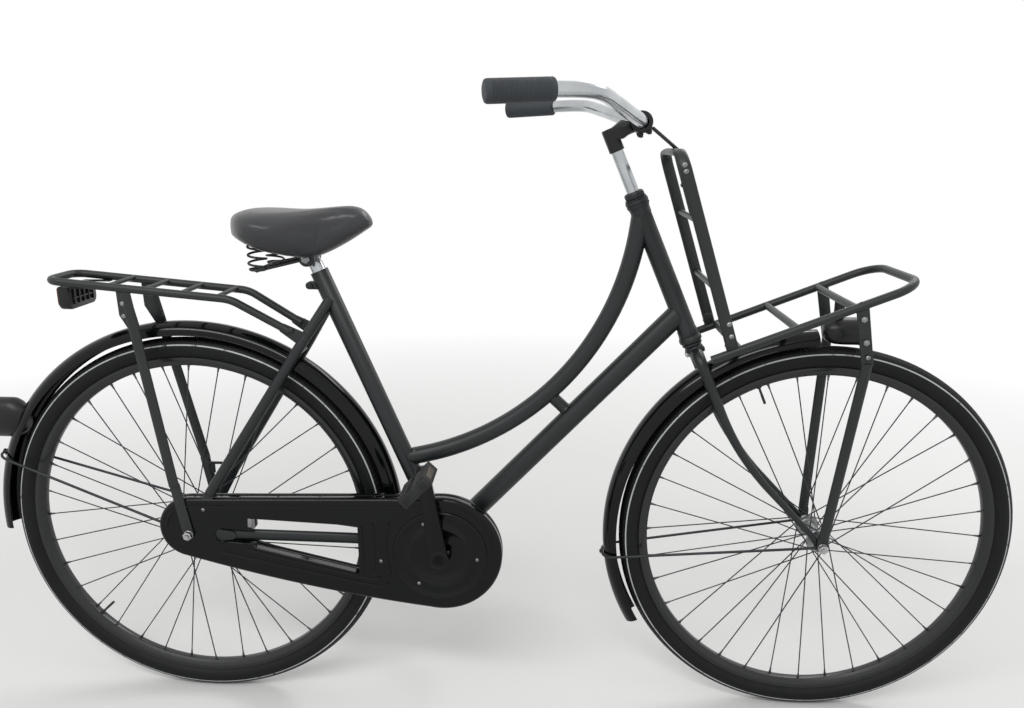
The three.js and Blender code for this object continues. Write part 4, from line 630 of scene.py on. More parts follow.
def build_worn(name: str) -> bpy.types.NodeTree:
    """Colour and gloss that vary, fine scratches, and dust on what faces up.

    Args:
        name: the group's name.

    Returns:
        The finished group.
    """
    sheet, given, out = new_group(
        name,
        {"Place": "Vector", "Colour": "Color", "Dust Colour": "Color", "Roughness": "Float", "Wear": "Float",
         "Dust": "Float"},
        {"Colour": "Color", "Roughness": "Float", "Height": "Float"},
    )
    cloudy = sheet.noise(given["Place"], 11, 4)
    fine = sheet.noise(given["Place"], 900, 2)
    streaks = sheet.noise(sheet.stretched(given["Place"], (38, 38, 520)), 1, 3)
    crossing = sheet.noise(sheet.stretched(given["Place"], (460, 60, 34)), 1, 3)
    scratch = sheet.math("MAXIMUM", sheet.ramp(streaks, 0.68, 0.76), sheet.ramp(crossing, 0.7, 0.77))
    scratch = sheet.math("MULTIPLY", scratch, sheet.ramp(cloudy, 0.45, 0.7))
    scratch = sheet.math("MULTIPLY", scratch, given["Wear"])
    upward = sheet.add("SeparateXYZ", {0: sheet.add("NewGeometry").outputs["Normal"]}).outputs["Z"]
    settled = sheet.math("MULTIPLY", sheet.ramp(upward, 0.2, 1),
                         sheet.ramp(sheet.noise(given["Place"], 60, 5), 0.3, 0.75))
    specks = sheet.ramp(sheet.noise(given["Place"], 700, 2), 0.64, 0.72, 0.55)
    dust = sheet.math("MULTIPLY", sheet.math("MAXIMUM", settled, specks), given["Dust"])
    shade = sheet.ramp(cloudy, 0.3, 0.7, 0.28)
    varied = sheet.mix(shade, given["Colour"], (0.0, 0.0, 0.0, 1))
    rubbed = sheet.mix(sheet.math("MULTIPLY", scratch, 0.4), varied, given["Dust Colour"])
    sheet.tree.links.new(sheet.mix(dust, rubbed, given["Dust Colour"]), out["Colour"])
    rough = sheet.math("ADD", given["Roughness"], sheet.ramp(cloudy, 0.3, 0.75, 0.09))
    rough = sheet.math("ADD", rough, sheet.math("MULTIPLY", dust, 0.5))
    sheet.tree.links.new(sheet.math("ADD", rough, sheet.math("MULTIPLY", scratch, 0.2)), out["Roughness"])
    height = sheet.math("SUBTRACT", sheet.math("MULTIPLY", fine, 0.35), scratch)
    sheet.tree.links.new(height, out["Height"])
    return sheet.tree


def build_grain(name: str) -> bpy.types.NodeTree:
    """The pebbled skin of moulded plastic and rubber.

    Args:
        name: the group's name.

    Returns:
        The finished group.
    """
    sheet, given, out = new_group(name, {"Place": "Vector", "Size": "Float"}, {"Height": "Float"})
    cells = sheet.add("TexVoronoi", {"Vector": given["Place"], "Scale": given["Size"]}, feature="SMOOTH_F1")
    soft = sheet.add("TexNoise", {"Vector": given["Place"], "Scale": given["Size"], "Detail": 3.0})
    height = sheet.math("ADD", sheet.math("MULTIPLY", cells.outputs["Distance"], -0.8), soft.outputs["Fac"])
    sheet.tree.links.new(height, out["Height"])
    return sheet.tree


def build_hide(name: str) -> bpy.types.NodeTree:
    """The pressed creases of a vinyl saddle cover.

    Args:
        name: the group's name.

    Returns:
        The finished group.
    """
    sheet, given, out = new_group(
        name, {"Place": "Vector", "Size": "Float"}, {"Height": "Float", "Crease": "Float"}
    )
    drift = sheet.add("TexNoise", {"Vector": given["Place"], "Scale": 160.0, "Detail": 2.0}).outputs["Color"]
    bent = sheet.add("VectorMath", {0: drift, 3: 0.004}, operation="SCALE").outputs[0]
    place = sheet.add("VectorMath", {0: given["Place"], 1: bent}).outputs[0]
    cells = sheet.add("TexVoronoi", {"Vector": place, "Scale": given["Size"]}, feature="DISTANCE_TO_EDGE")
    # crease is 0 along the creases and 1 on the ridges; the saddle cover uses it to paint shade into the creases and to
    # make them rougher
    crease = sheet.ramp(cells.outputs["Distance"], 0.0, 0.16)
    pores = sheet.noise(given["Place"], 2600, 2)
    sheet.tree.links.new(sheet.math("ADD", crease, sheet.math("MULTIPLY", pores, 0.25)), out["Height"])
    sheet.tree.links.new(crease, out["Crease"])
    return sheet.tree


def build_brushed(name: str) -> bpy.types.NodeTree:
    """The fine lines that turning and drawing leave in bright metal.

    Args:
        name: the group's name.

    Returns:
        The finished group.
    """
    sheet, given, out = new_group(
        name, {"Place": "Vector", "Roughness": "Float"}, {"Height": "Float", "Roughness": "Float"}
    )
    lines = sheet.noise(sheet.stretched(given["Place"], (300, 4200, 300)), 1, 3)
    blotch = sheet.noise(given["Place"], 45, 4)
    rough = sheet.math("ADD", given["Roughness"], sheet.ramp(blotch, 0.35, 0.8, 0.16))
    sheet.tree.links.new(lines, out["Height"])
    sheet.tree.links.new(sheet.math("ADD", rough, sheet.math("MULTIPLY", lines, 0.05)), out["Roughness"])
    return sheet.tree


def build_wheel_place(name: str) -> bpy.types.NodeTree:
    """Where a place lies on a wheel: its distance from the axle, its turn and its side.

    Args:
        name: the group's name.

    Returns:
        The finished group.
    """
    sheet, given, out = new_group(
        name, {"Place": "Vector", "Centre": "Vector"}, {"Radius": "Float", "Turn": "Float", "Side": "Float"}
    )
    away = sheet.add("VectorMath", {0: given["Place"], 1: given["Centre"]}, operation="SUBTRACT").outputs[0]
    parts = sheet.add("SeparateXYZ", {0: away}).outputs
    square = sheet.math("ADD", sheet.math("MULTIPLY", parts["X"], parts["X"]),
                        sheet.math("MULTIPLY", parts["Z"], parts["Z"]))
    sheet.tree.links.new(sheet.math("SQRT", square), out["Radius"])
    sheet.tree.links.new(sheet.math("ARCTAN2", parts["Z"], parts["X"]), out["Turn"])
    sheet.tree.links.new(parts["Y"], out["Side"])
    return sheet.tree


EFFECT_BUILDERS = {
    Effect.WORN: build_worn,
    Effect.GRAIN: build_grain,
    Effect.HIDE: build_hide,
    Effect.BRUSHED: build_brushed,
    Effect.WHEEL: build_wheel_place,
}


@dataclass(frozen=True)
class Finish:
    """A finish of the bicycle: painted metal, unless a more special finish changes its details."""

    name: str
    slot: str
    colour: Colour
    roughness: float
    metallic: float = 0.0
    specular: float = 0.5
    coat: float = 0.0
    coat_roughness: float = 0.06
    wear: float = 0.4
    dust: float = 0.12
    dust_colour: Colour = (0.16, 0.155, 0.145)
    relief: float = 0.00002

    def details(self, sheet: NodeSheet, place: bpy.types.NodeSocket) -> tuple:
        """What varies over the surface.

        Args:
            sheet: the material's nodes.
            place: the place on the piece.

        Returns:
            The outputs for the base colour, the roughness and the height.
        """
        worn = self.worn(sheet, place, self.colour)
        return worn["Colour"], worn["Roughness"], worn["Height"]

    def worn(self, sheet: NodeSheet, place: bpy.types.NodeSocket, colour: object) -> bpy.types.NodeInputs:
        """The wear and dust of this finish.

        Args:
            sheet: the material's nodes.
            place: the place on the piece.
            colour: the clean colour, or the output that gives it.

        Returns:
            The outputs of the effect.
        """
        clean = (*colour, 1) if isinstance(colour, tuple) else colour
        inputs = {
            "Place": place,
            "Colour": clean,
            "Dust Colour": (*self.dust_colour, 1),
            "Roughness": self.roughness,
            "Wear": self.wear,
            "Dust": self.dust,
        }
        return self.effect(sheet, Effect.WORN, inputs)

    def effect(self, sheet: NodeSheet, effect: Effect, inputs: dict) -> bpy.types.NodeInputs:
        """The outputs of a shared effect with this finish's own values.

        Args:
            sheet: the material's nodes.
            effect: which effect.
            inputs: its inputs by name.

        Returns:
            Its outputs by name.
        """
        node = sheet.tree.nodes.new("ShaderNodeGroup")
        node.node_tree = effect.group()
        sheet.feed(node, inputs)
        return node.outputs

    def own_sockets(self) -> dict[str, float]:
        """The plain values of the shader that are the same all over the surface.

        Returns:
            The values, by the name of the socket.
        """
        return {
            "Metallic": self.metallic,
            "Specular IOR Level": self.specular,
            "Coat Weight": self.coat,
            "Coat Roughness": self.coat_roughness,
        }

    def material(self) -> bpy.types.Material:
        """The finish's material, built at its first use.

        Returns:
            The material.
        """
        known = bpy.data.materials.get(self.name)
        if known:
            return known
        made = bpy.data.materials.new(self.name)
        made.use_nodes = True
        sheet = NodeSheet(made.node_tree)
        shader = made.node_tree.nodes["Principled BSDF"]
        for key, value in self.own_sockets().items():
            shader.inputs[key].default_value = value
        place = sheet.add("TexCoord").outputs["Object"]
        colour, rough, height = self.details(sheet, place)
        bump = sheet.add("Bump", {"Strength": 1.0, "Distance": self.relief, "Height": height})
        for key, source in (("Base Color", colour), ("Roughness", rough), ("Normal", bump.outputs[0])):
            made.node_tree.links.new(source, shader.inputs[key])
        made.diffuse_color = (*self.colour, 1)
        return made


@dataclass(frozen=True)
class BrightMetal(Finish):
    """Bare or plated metal with drawn lines and a few dull places."""

    metallic: float = 1.0
    dust: float = 0.05
    relief: float = 0.000004

    def details(self, sheet: NodeSheet, place: bpy.types.NodeSocket) -> tuple:
        """The colour, roughness and height outputs of the metal.

        Args:
            sheet: the material's nodes.
            place: the place on the piece.

        Returns:
            The outputs for the base colour, the roughness and the height.
        """
        lines = self.effect(sheet, Effect.BRUSHED, {"Place": place, "Roughness": self.roughness})
        worn = self.worn(sheet, place, self.colour)
        both = sheet.math("ADD", lines["Roughness"], sheet.math("SUBTRACT", worn["Roughness"], self.roughness))
        return worn["Colour"], both, lines["Height"]


@dataclass(frozen=True)
class Moulding(Finish):
    """Moulded plastic or rubber with a pebbled skin."""

    grain: float = 1400.0
    specular: float = 0.4
    relief: float = 0.00012

    def details(self, sheet: NodeSheet, place: bpy.types.NodeSocket) -> tuple:
        """The colour, roughness and height outputs of the moulding.

        Args:
            sheet: the material's nodes.
            place: the place on the piece.

        Returns:
            The outputs for the base colour, the roughness and the height.
        """
        worn = self.worn(sheet, place, self.colour)
        pebbles = self.effect(sheet, Effect.GRAIN, {"Place": place, "Size": self.grain})
        return worn["Colour"], worn["Roughness"], pebbles["Height"]


@dataclass(frozen=True)
class SaddleCover(Finish):
    """Black vinyl, pressed like hide, with painted shade in its creases, so that the ridges between them look a little
    brighter.
    """

    crease: float = 620.0
    relief: float = 0.00016

    def details(self, sheet: NodeSheet, place: bpy.types.NodeSocket) -> tuple:
        """The colour, roughness and height outputs of the cover.

        Args:
            sheet: the material's nodes.
            place: the place on the piece.

        Returns:
            The outputs for the base colour, the roughness and the height.
        """
        hide = self.effect(sheet, Effect.HIDE, {"Place": place, "Size": self.crease})
        # painted shade: the creases get the vinyl's colour at 55 per cent, and the ridges keep its full colour
        dark = tuple(part * 0.55 for part in self.colour)
        clean = sheet.mix(hide["Crease"], (*dark, 1), (*self.colour, 1))
        worn = self.worn(sheet, place, clean)
        rough = sheet.math("ADD", worn["Roughness"], sheet.ramp(hide["Crease"], 1.0, 0.0, 0.12))
        return worn["Colour"], rough, hide["Height"]


@dataclass(frozen=True)
class TyreRubber(Finish):
    """Tyre rubber with a pale stripe on both sides and a tread of slanted blocks."""

    centre_x: float = 0.0
    stripe: Colour = (0.55, 0.57, 0.58)
    stripe_radius: float = 0.3437
    stripe_half: float = 0.0011
    tread_radius: float = 0.3475
    tread_rim: float = 0.0012
    rib_band: tuple[float, float] = (0.001, 0.0025)
    rib_height: float = 0.07
    blocks: float = 232.0
    slant: float = 210.0
    relief: float = 0.0011

    def details(self, sheet: NodeSheet, place: bpy.types.NodeSocket) -> tuple:
        """The colour, roughness and height outputs of the tyre.

        Args:
            sheet: the material's nodes.
            place: the place on the piece.

        Returns:
            The outputs for the base colour, the roughness and the height.
        """
        centre = (self.centre_x * MM, 0.0, LAYOUT.hub_height * MM)
        on = self.effect(sheet, Effect.WHEEL, {"Place": place, "Centre": centre})
        away = sheet.math("ABSOLUTE", sheet.math("SUBTRACT", on["Radius"], self.stripe_radius))
        line = sheet.ramp(away, self.stripe_half * 1.15, self.stripe_half * 0.85)
        scuffed = sheet.math("MULTIPLY", line, sheet.ramp(sheet.noise(place, 90, 4), 0.28, 0.42))
        clean = sheet.mix(scuffed, (*self.colour, 1), (*self.stripe, 1))
        worn = self.worn(sheet, place, clean)
        slant = sheet.math("MULTIPLY", sheet.math("ABSOLUTE", on["Side"]), self.slant)
        wave = sheet.math("SINE", sheet.math("ADD", sheet.math("MULTIPLY", on["Turn"], self.blocks), slant))
        crown = sheet.ramp(on["Radius"], self.tread_radius, self.tread_radius + self.tread_rim)
        tread = sheet.math("MULTIPLY", sheet.ramp(wave, -0.25, 0.2), crown)
        ribs = sheet.math("SINE", sheet.math("MULTIPLY", on["Turn"], self.blocks * 3))
        high, low = (self.tread_radius - drop for drop in self.rib_band)
        side = sheet.math("MULTIPLY", ribs, sheet.ramp(on["Radius"], high, low, self.rib_height))
        return worn["Colour"], worn["Roughness"], sheet.math("ADD", tread, side)


@dataclass(frozen=True)
class ClearPlastic(Finish):
    """A clear lens with fine vertical flutes."""

    transmission: float = 1.0
    flutes: float = 640.0
    relief: float = 0.0003
    dust: float = 0.02

    def own_sockets(self) -> dict[str, float]:
        """The plain values of the lens."""
        return {**super().own_sockets(), "Transmission Weight": self.transmission, "IOR": 1.47}

    def details(self, sheet: NodeSheet, place: bpy.types.NodeSocket) -> tuple:
        """The colour, roughness and height outputs of the lens.

        Args:
            sheet: the material's nodes.
            place: the place on the piece.

        Returns:
            The outputs for the base colour, the roughness and the height.
        """
        worn = self.worn(sheet, place, self.colour)
        side = sheet.add("SeparateXYZ", {0: place}).outputs["Y"]
        flutes = sheet.math("SINE", sheet.math("MULTIPLY", side, self.flutes * math.pi / 2))
        return worn["Colour"], worn["Roughness"], flutes


@dataclass(frozen=True)
class CubeCornered(Finish):
    """A reflector whose back is pressed into small prisms, with painted shade that darkens its colour toward each
    prism's edge.
    """

    prisms: float = 420.0
    relief: float = 0.0006

    def details(self, sheet: NodeSheet, place: bpy.types.NodeSocket) -> tuple:
        """The colour, roughness and height outputs of the reflector.

        Args:
            sheet: the material's nodes.
            place: the place on the piece.

        Returns:
            The outputs for the base colour, the roughness and the height.
        """
        cells = sheet.add("TexVoronoi", {"Vector": place, "Scale": self.prisms, "Randomness": 0.0}, feature="F1")
        edge = sheet.ramp(cells.outputs["Distance"], 0.0, 0.9)
        # painted shade of the prism facets: the colour falls to 35 per cent toward each prism's edge
        dark = tuple(part * 0.35 for part in self.colour)
        clean = sheet.mix(edge, (*self.colour, 1), (*dark, 1))
        worn = self.worn(sheet, place, clean)
        return worn["Colour"], worn["Roughness"], edge


FRAME_PAINT = Finish("frame_paint", "frame_black", (0.0085, 0.0118, 0.0128), 0.36, specular=0.42, dust=0.07)
GLOSS_PAINT = Finish("gloss_paint", "gloss_black", (0.0016, 0.0021, 0.0023), 0.11, specular=0.17, coat=0.12,
                     coat_roughness=0.04, wear=0.3, dust=0.015, relief=0.000006)
CARRIER_PAINT = Finish("carrier_paint", "carrier_black", (0.0115, 0.0148, 0.0155), 0.4, specular=0.42, dust=0.1)
CHROME = BrightMetal("bar_chrome", "chrome", (0.56, 0.585, 0.6), 0.07, wear=0.3)
STEEL = BrightMetal("plain_steel", "steel", (0.3, 0.305, 0.31), 0.27, wear=0.5, dust=0.12)
NIPPLE_STEEL = BrightMetal("nipple_steel", "steel", (0.09, 0.092, 0.095), 0.3, metallic=0.8, wear=0.2, dust=0.06)
DARK_STEEL = BrightMetal("oiled_steel", "dark_steel", (0.045, 0.047, 0.05), 0.34, metallic=0.85, dust=0.08)
SPOKE_STEEL = BrightMetal("spoke_steel", "dark_steel", (0.05, 0.054, 0.056), 0.34, metallic=0.8, dust=0.05)
BRIGHT_STEEL = BrightMetal("bright_steel", "steel", (0.5, 0.5, 0.5), 0.2, wear=0.2, dust=0.08)
RIM_PAINT = Finish("rim_paint", "dark_steel", (0.005, 0.006, 0.0066), 0.24, specular=0.5, dust=0.08)
GRIP_RUBBER = Moulding("grip_rubber", "rubber", (0.04, 0.046, 0.053), 0.6, grain=1100.0, relief=0.00022, dust=0.1)
PEDAL_RUBBER = Moulding("pedal_rubber", "rubber", (0.0115, 0.0125, 0.013), 0.55, grain=900.0, dust=0.3)
REAR_TYRE = TyreRubber("rear_tyre_rubber", "tyre", (0.006, 0.0065, 0.0068), 0.5, specular=0.2, dust=0.08)
FRONT_TYRE = replace(REAR_TYRE, name="front_tyre_rubber", centre_x=LAYOUT.wheelbase)
BLACK_PLASTIC = Moulding("moulded_plastic", "black_plastic", (0.0045, 0.005, 0.0055), 0.3, specular=0.35, dust=0.03,
                         relief=0.00003)
SADDLE_VINYL = SaddleCover("saddle_vinyl", "vinyl", (0.008, 0.0095, 0.013), 0.3, specular=0.5, coat=0.3,
                           coat_roughness=0.22, dust=0.06)
RED_LENS = CubeCornered("red_reflector", "red_lens", (0.3, 0.011, 0.008), 0.14, coat=0.5)
AMBER_LENS = CubeCornered("pedal_reflector", "clear_lens", (0.19, 0.115, 0.022), 0.2, coat=0.3, dust=0.35)
LAMP_LENS = ClearPlastic("lamp_lens", "clear_lens", (0.92, 0.95, 0.96), 0.04)
LAMP_BOWL = BrightMetal("lamp_bowl", "chrome", (0.75, 0.77, 0.78), 0.12)


def finished(
    name: str,
    shape: bmesh.types.BMesh,
    body: str,
    finish: Finish,
    replaces: tuple[str, ...] = (),
    smooth: float = 38,
) -> bpy.types.Object:
    """A piece of the bicycle, in metres, that rides on its body and has its finish.

    Args:
        name: the piece's name.
        shape: its shape in millimetres, which is used up.
        body: the body that it moves with.
        finish: its finish.
        replaces: the solids that it stands for.
        smooth: edges flatter than this angle, in degrees, look round.

    Returns:
        The piece's object.
    """
    bmesh.ops.scale(shape, vec=(MM,) * 3, verts=shape.verts)
    data = bpy.data.meshes.new(name)
    shape.to_mesh(data)
    shape.free()
    data.materials.append(finish.material())
    data.shade_smooth()
    data.set_sharp_from_angle(angle=math.radians(smooth))
    piece = bpy.data.objects.new(name, data)
    bpy.context.scene.collection.objects.link(piece)
    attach(piece, body)
    if replaces:
        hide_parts(*replaces)
    log.info("%s: %d faces, rides on %s", name, len(data.polygons), body)
    return piece


def repaint(finish: Finish, *nodes: str) -> None:
    """Gives solids of the frame a better finish.

    Args:
        finish: the finish.
        nodes: the solids' names.
    """
    for node in nodes:
        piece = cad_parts[node]
        if not piece.material_slots:
            piece.data.materials.append(None)
        for holder in piece.material_slots:
            holder.material = finish.material()
        log.info("%s: keeps its solid", node)


def add_pin(shape: bmesh.types.BMesh, start: Vector, end: Vector, radii: Place, sides: int = 6) -> None:
    """Adds a thin straight pin to a shape.

    Args:
        shape: the shape that receives it.
        start: its first end.
        end: its last end.
        radii: its radius at both ends.
        sides: how many faces run round it.
    """
    way = end - start
    turn = Vector((0, 0, 1)).rotation_difference(way.normalized()).to_matrix().to_4x4()
    middle = Matrix.Translation((start + end) / 2) @ turn
    bmesh.ops.create_cone(
        shape, cap_ends=True, segments=sides, radius1=radii[0], radius2=radii[1], depth=way.length, matrix=middle
    )


# Wheels


@dataclass
class Wheel:
    """A laced wheel: its tyre, rim, spokes with their nipples, and hub."""

    name: str
    x: float
    finish: Finish
    flange_radius: float
    flange_y: float
    shell_radius: float
    stub_radius: float
    right_reach: float
    left_reach: float
    valve_angle: float
    tyre_radius: float = 355.0
    tyre_half_width: float = 19.0
    side_angle: float = 140.0
    bead_radius: float = 314.6
    bead_half_width: float = 9.5
    rim_radius: float = 320.0
    rim_half_width: float = 13.0
    rim_side_depth: float = 8.0
    rim_well: float = 314.0
    nose_radius: float = 303.0
    nose_half_width: float = 6.0
    groove_depth: float = 0.8
    grooves: tuple[float, ...] = (-22.0, 0.0, 22.0)
    holes: int = 18
    crossings: int = 3
    spoke_radius: float = 1.1
    spoke_spread: float = 1.5
    hole_stagger: float = 3.0
    flange_half: float = 2.7

    @property
    def centre(self) -> Vector:
        """The middle of the wheel."""
        return Vector((self.x, 0, LAYOUT.hub_height))

    @property
    def body(self) -> str:
        """The body that the wheel's pieces ride on."""
        return self.name + "_wheel"

    def tyre(self) -> bmesh.types.BMesh:
        """The tyre: a round section with grooves in its tread, turned round the axle.

        Returns:
            The shape, in millimetres.
        """
        ring = self.tyre_radius - self.tyre_half_width
        profile = [(self.bead_radius, -self.bead_half_width)]
        steps = 70
        for step in range(steps + 1):
            degrees = self.side_angle * (2 * step / steps - 1)
            near = min(abs(degrees - groove) for groove in self.grooves)
            radius = self.tyre_half_width - (self.groove_depth if near < 3 else 0)
            angle = math.radians(degrees)
            profile.append((ring + radius * math.cos(angle), radius * math.sin(angle)))
        profile += [(self.bead_radius, self.bead_half_width), (self.bead_radius, -self.bead_half_width)]
        return lathe(profile, self.centre, steps=160)

    def rim(self) -> bmesh.types.BMesh:
        """The rim with rounded edges, and the valve with its cap.

        Returns:
            The shape, in millimetres.
        """
        shoulder = self.rim_radius - self.rim_side_depth
        half = [
            (self.rim_well, self.rim_half_width - 3.2),
            (self.rim_radius - 1, self.rim_half_width - 2.2),
            (self.rim_radius, self.rim_half_width - 1.2),
            (self.rim_radius - 0.8, self.rim_half_width - 0.1),
            (self.rim_radius - 3, self.rim_half_width),
            (shoulder + 1.5, self.rim_half_width),
            (shoulder - 0.5, self.rim_half_width - 0.7),
            (self.nose_radius + 3, self.nose_half_width + 2),
            (self.nose_radius + 0.6, self.nose_half_width),
            (self.nose_radius, self.nose_half_width - 2),
        ]
        mirrored = [(radius, -y) for radius, y in reversed(half)]
        shape = lathe([*half, *mirrored, half[0]], self.centre, steps=160)
        return joined(shape, self.valve())

    def valve(self) -> bmesh.types.BMesh:
        """The valve: a threaded stem with its ring nut and a ribbed cap.

        Returns:
            The shape, in millimetres.
        """
        angle = math.radians(self.valve_angle)
        inward = Vector((-math.cos(angle), 0, -math.sin(angle)))
        foot = self.centre - inward * self.nose_radius
        stem = [(0, -2), (2.3, -2)]
        for step in range(14):
            stem += [(2.3, step), (2.05, step + 0.5)]
        stem += [(2.5, 17), (2.5, 33), (1.6, 34), (0, 34)]
        nut = washer(foot, inward, 2.2, 5.2, 2.2)
        return joined(lathe(stem, foot, inward, steps=14), nut)

    def spoke_ends(self) -> list[tuple[Vector, Vector, int]]:
        """Where each spoke starts at its flange and ends at the rim, and its side.

        Returns:
            Start, end and side of each spoke.
        """
        turn = 2 * math.pi / self.holes
        ends = []
        for side in SIDES:
            for hole in range(self.holes):
                way = -1 if hole % 2 else 1
                hub = turn * (hole + (0.5 if side == RIGHT else 0))
                rim = hub + way * self.crossings * turn
                seat = self.flange_radius - 2
                start = Vector((seat * math.cos(hub), side * self.flange_y + way * self.spoke_spread,
                                seat * math.sin(hub)))
                reach = self.nose_radius
                end = Vector((reach * math.cos(rim), side * self.hole_stagger, reach * math.sin(rim)))
                ends.append((self.centre + start, self.centre + end, way * side))
        return ends

    def spokes(self) -> bmesh.types.BMesh:
        """The laced spokes, each with its head in the flange.

        Returns:
            The shape, in millimetres.
        """
        shape = bmesh.new()
        for start, end, outward in self.spoke_ends():
            add_pin(shape, start, end, (self.spoke_radius, self.spoke_radius), 8)
            head = Vector((0, outward * (1 if start.y > 0 else -1), 0))
            add_pin(shape, start - head * 0.4, start + head * 1.6, (1.9, 1.1), 8)
        return shape

    def nipples(self) -> bmesh.types.BMesh:
        """The nipples that hold the spokes in the rim.

        Returns:
            The shape, in millimetres.
        """
        shape = bmesh.new()
        for start, end, _ in self.spoke_ends():
            way = (end - start).normalized()
            add_pin(shape, end - way * 10, end - way * 3, (1.5, 1.9), 6)
            add_pin(shape, end - way * 3, end + way * 2, (2.4, 2.6), 8)
        return shape

    def hub(self) -> bmesh.types.BMesh:
        """The hub shell between its two flanges, with rounded edges and a bearing lip at each end.

        Returns:
            The shape, in millimetres.
        """
        bore, edge = 5.45, 0.8
        flange, y, half, stub = self.flange_radius, self.flange_y, self.flange_half, self.stub_radius
        neck = self.shell_radius + (flange - self.shell_radius) / 3

        def end(side: int, reach: float) -> list[Place]:
            """The profile from the bore at one end to the shell.

            Args:
                side: RIGHT or LEFT.
                reach: how far this end stands out.

            Returns:
                The profile's points.
            """
            outer, inner = side * (y + half), side * (y - half)
            return [
                (bore, side * reach),
                (stub - edge, side * reach),
                (stub, side * (reach - edge)),
                (stub, outer + side * edge),
                (stub + edge, outer),
                (flange - edge, outer),
                (flange, outer - side * edge),
                (flange, inner + side * edge),
                (flange - edge, inner),
                (neck, inner - side * edge),
                (self.shell_radius + 1.2, inner - side * half * 0.9),
                (self.shell_radius, inner - side * half * 2),
            ]

        left = end(LEFT, self.left_reach)
        profile = [*end(RIGHT, self.right_reach), *reversed(left)]
        return lathe([*profile, profile[0]], self.centre, steps=48)

    def build(self) -> None:
        """Builds the wheel's pieces."""
        hub_node = self.name + "_hub_with_spokes"
        finished(self.name + "_tyre_dressed", self.tyre(), self.body, self.finish, (self.name + "_tyre",), 30)
        finished(self.name + "_rim_dressed", self.rim(), self.body, RIM_PAINT, (self.name + "_rim",), 30)
        finished(self.name + "_spokes", self.spokes(), self.body, SPOKE_STEEL)
        finished(self.name + "_nipples", self.nipples(), self.body, NIPPLE_STEEL)
        finished(self.name + "_hub_dressed", self.hub(), self.body, STEEL, (hub_node,), 30)


@dataclass
class Axle:
    """A threaded axle with a nut and a washer at each end."""

    name: str
    x: float
    body: str
    right_y: float
    left_y: float
    radius: float = 4.75
    nut_radius: float = 8.5
    nut_height: float = 8.0
    stub: float = 4.0

    def build(self) -> None:
        """Builds the axle with its nuts."""
        middle = Vector((self.x, 0, LAYOUT.hub_height))
        parts = []
        for side, seat in ((RIGHT, self.right_y), (LEFT, self.left_y)):
            way = aside(side)
            place = middle + way * seat
            parts.append(washer(place, way, self.radius, self.nut_radius, 1.2))
            parts.append(hex_nut(place + way * 1.2, way, self.nut_radius, self.nut_height - 1.2, 12))
        threads = [(0, -self.right_y - self.nut_height - self.stub + 0.6)]
        low = -self.right_y - self.nut_height - self.stub
        high = self.left_y + self.nut_height + self.stub
        count = round((high - low) / 2)
        for step in range(count):
            threads += [(self.radius - 0.35, low + 2 * step), (self.radius, low + 2 * step + 1)]
        threads += [(self.radius - 1, high), (0, high)]
        parts.append(lathe(threads, middle, steps=16))
        finished(self.name + "_dressed", joined(*parts), self.body, BRIGHT_STEEL, (self.name,), 30)


# Mudguards


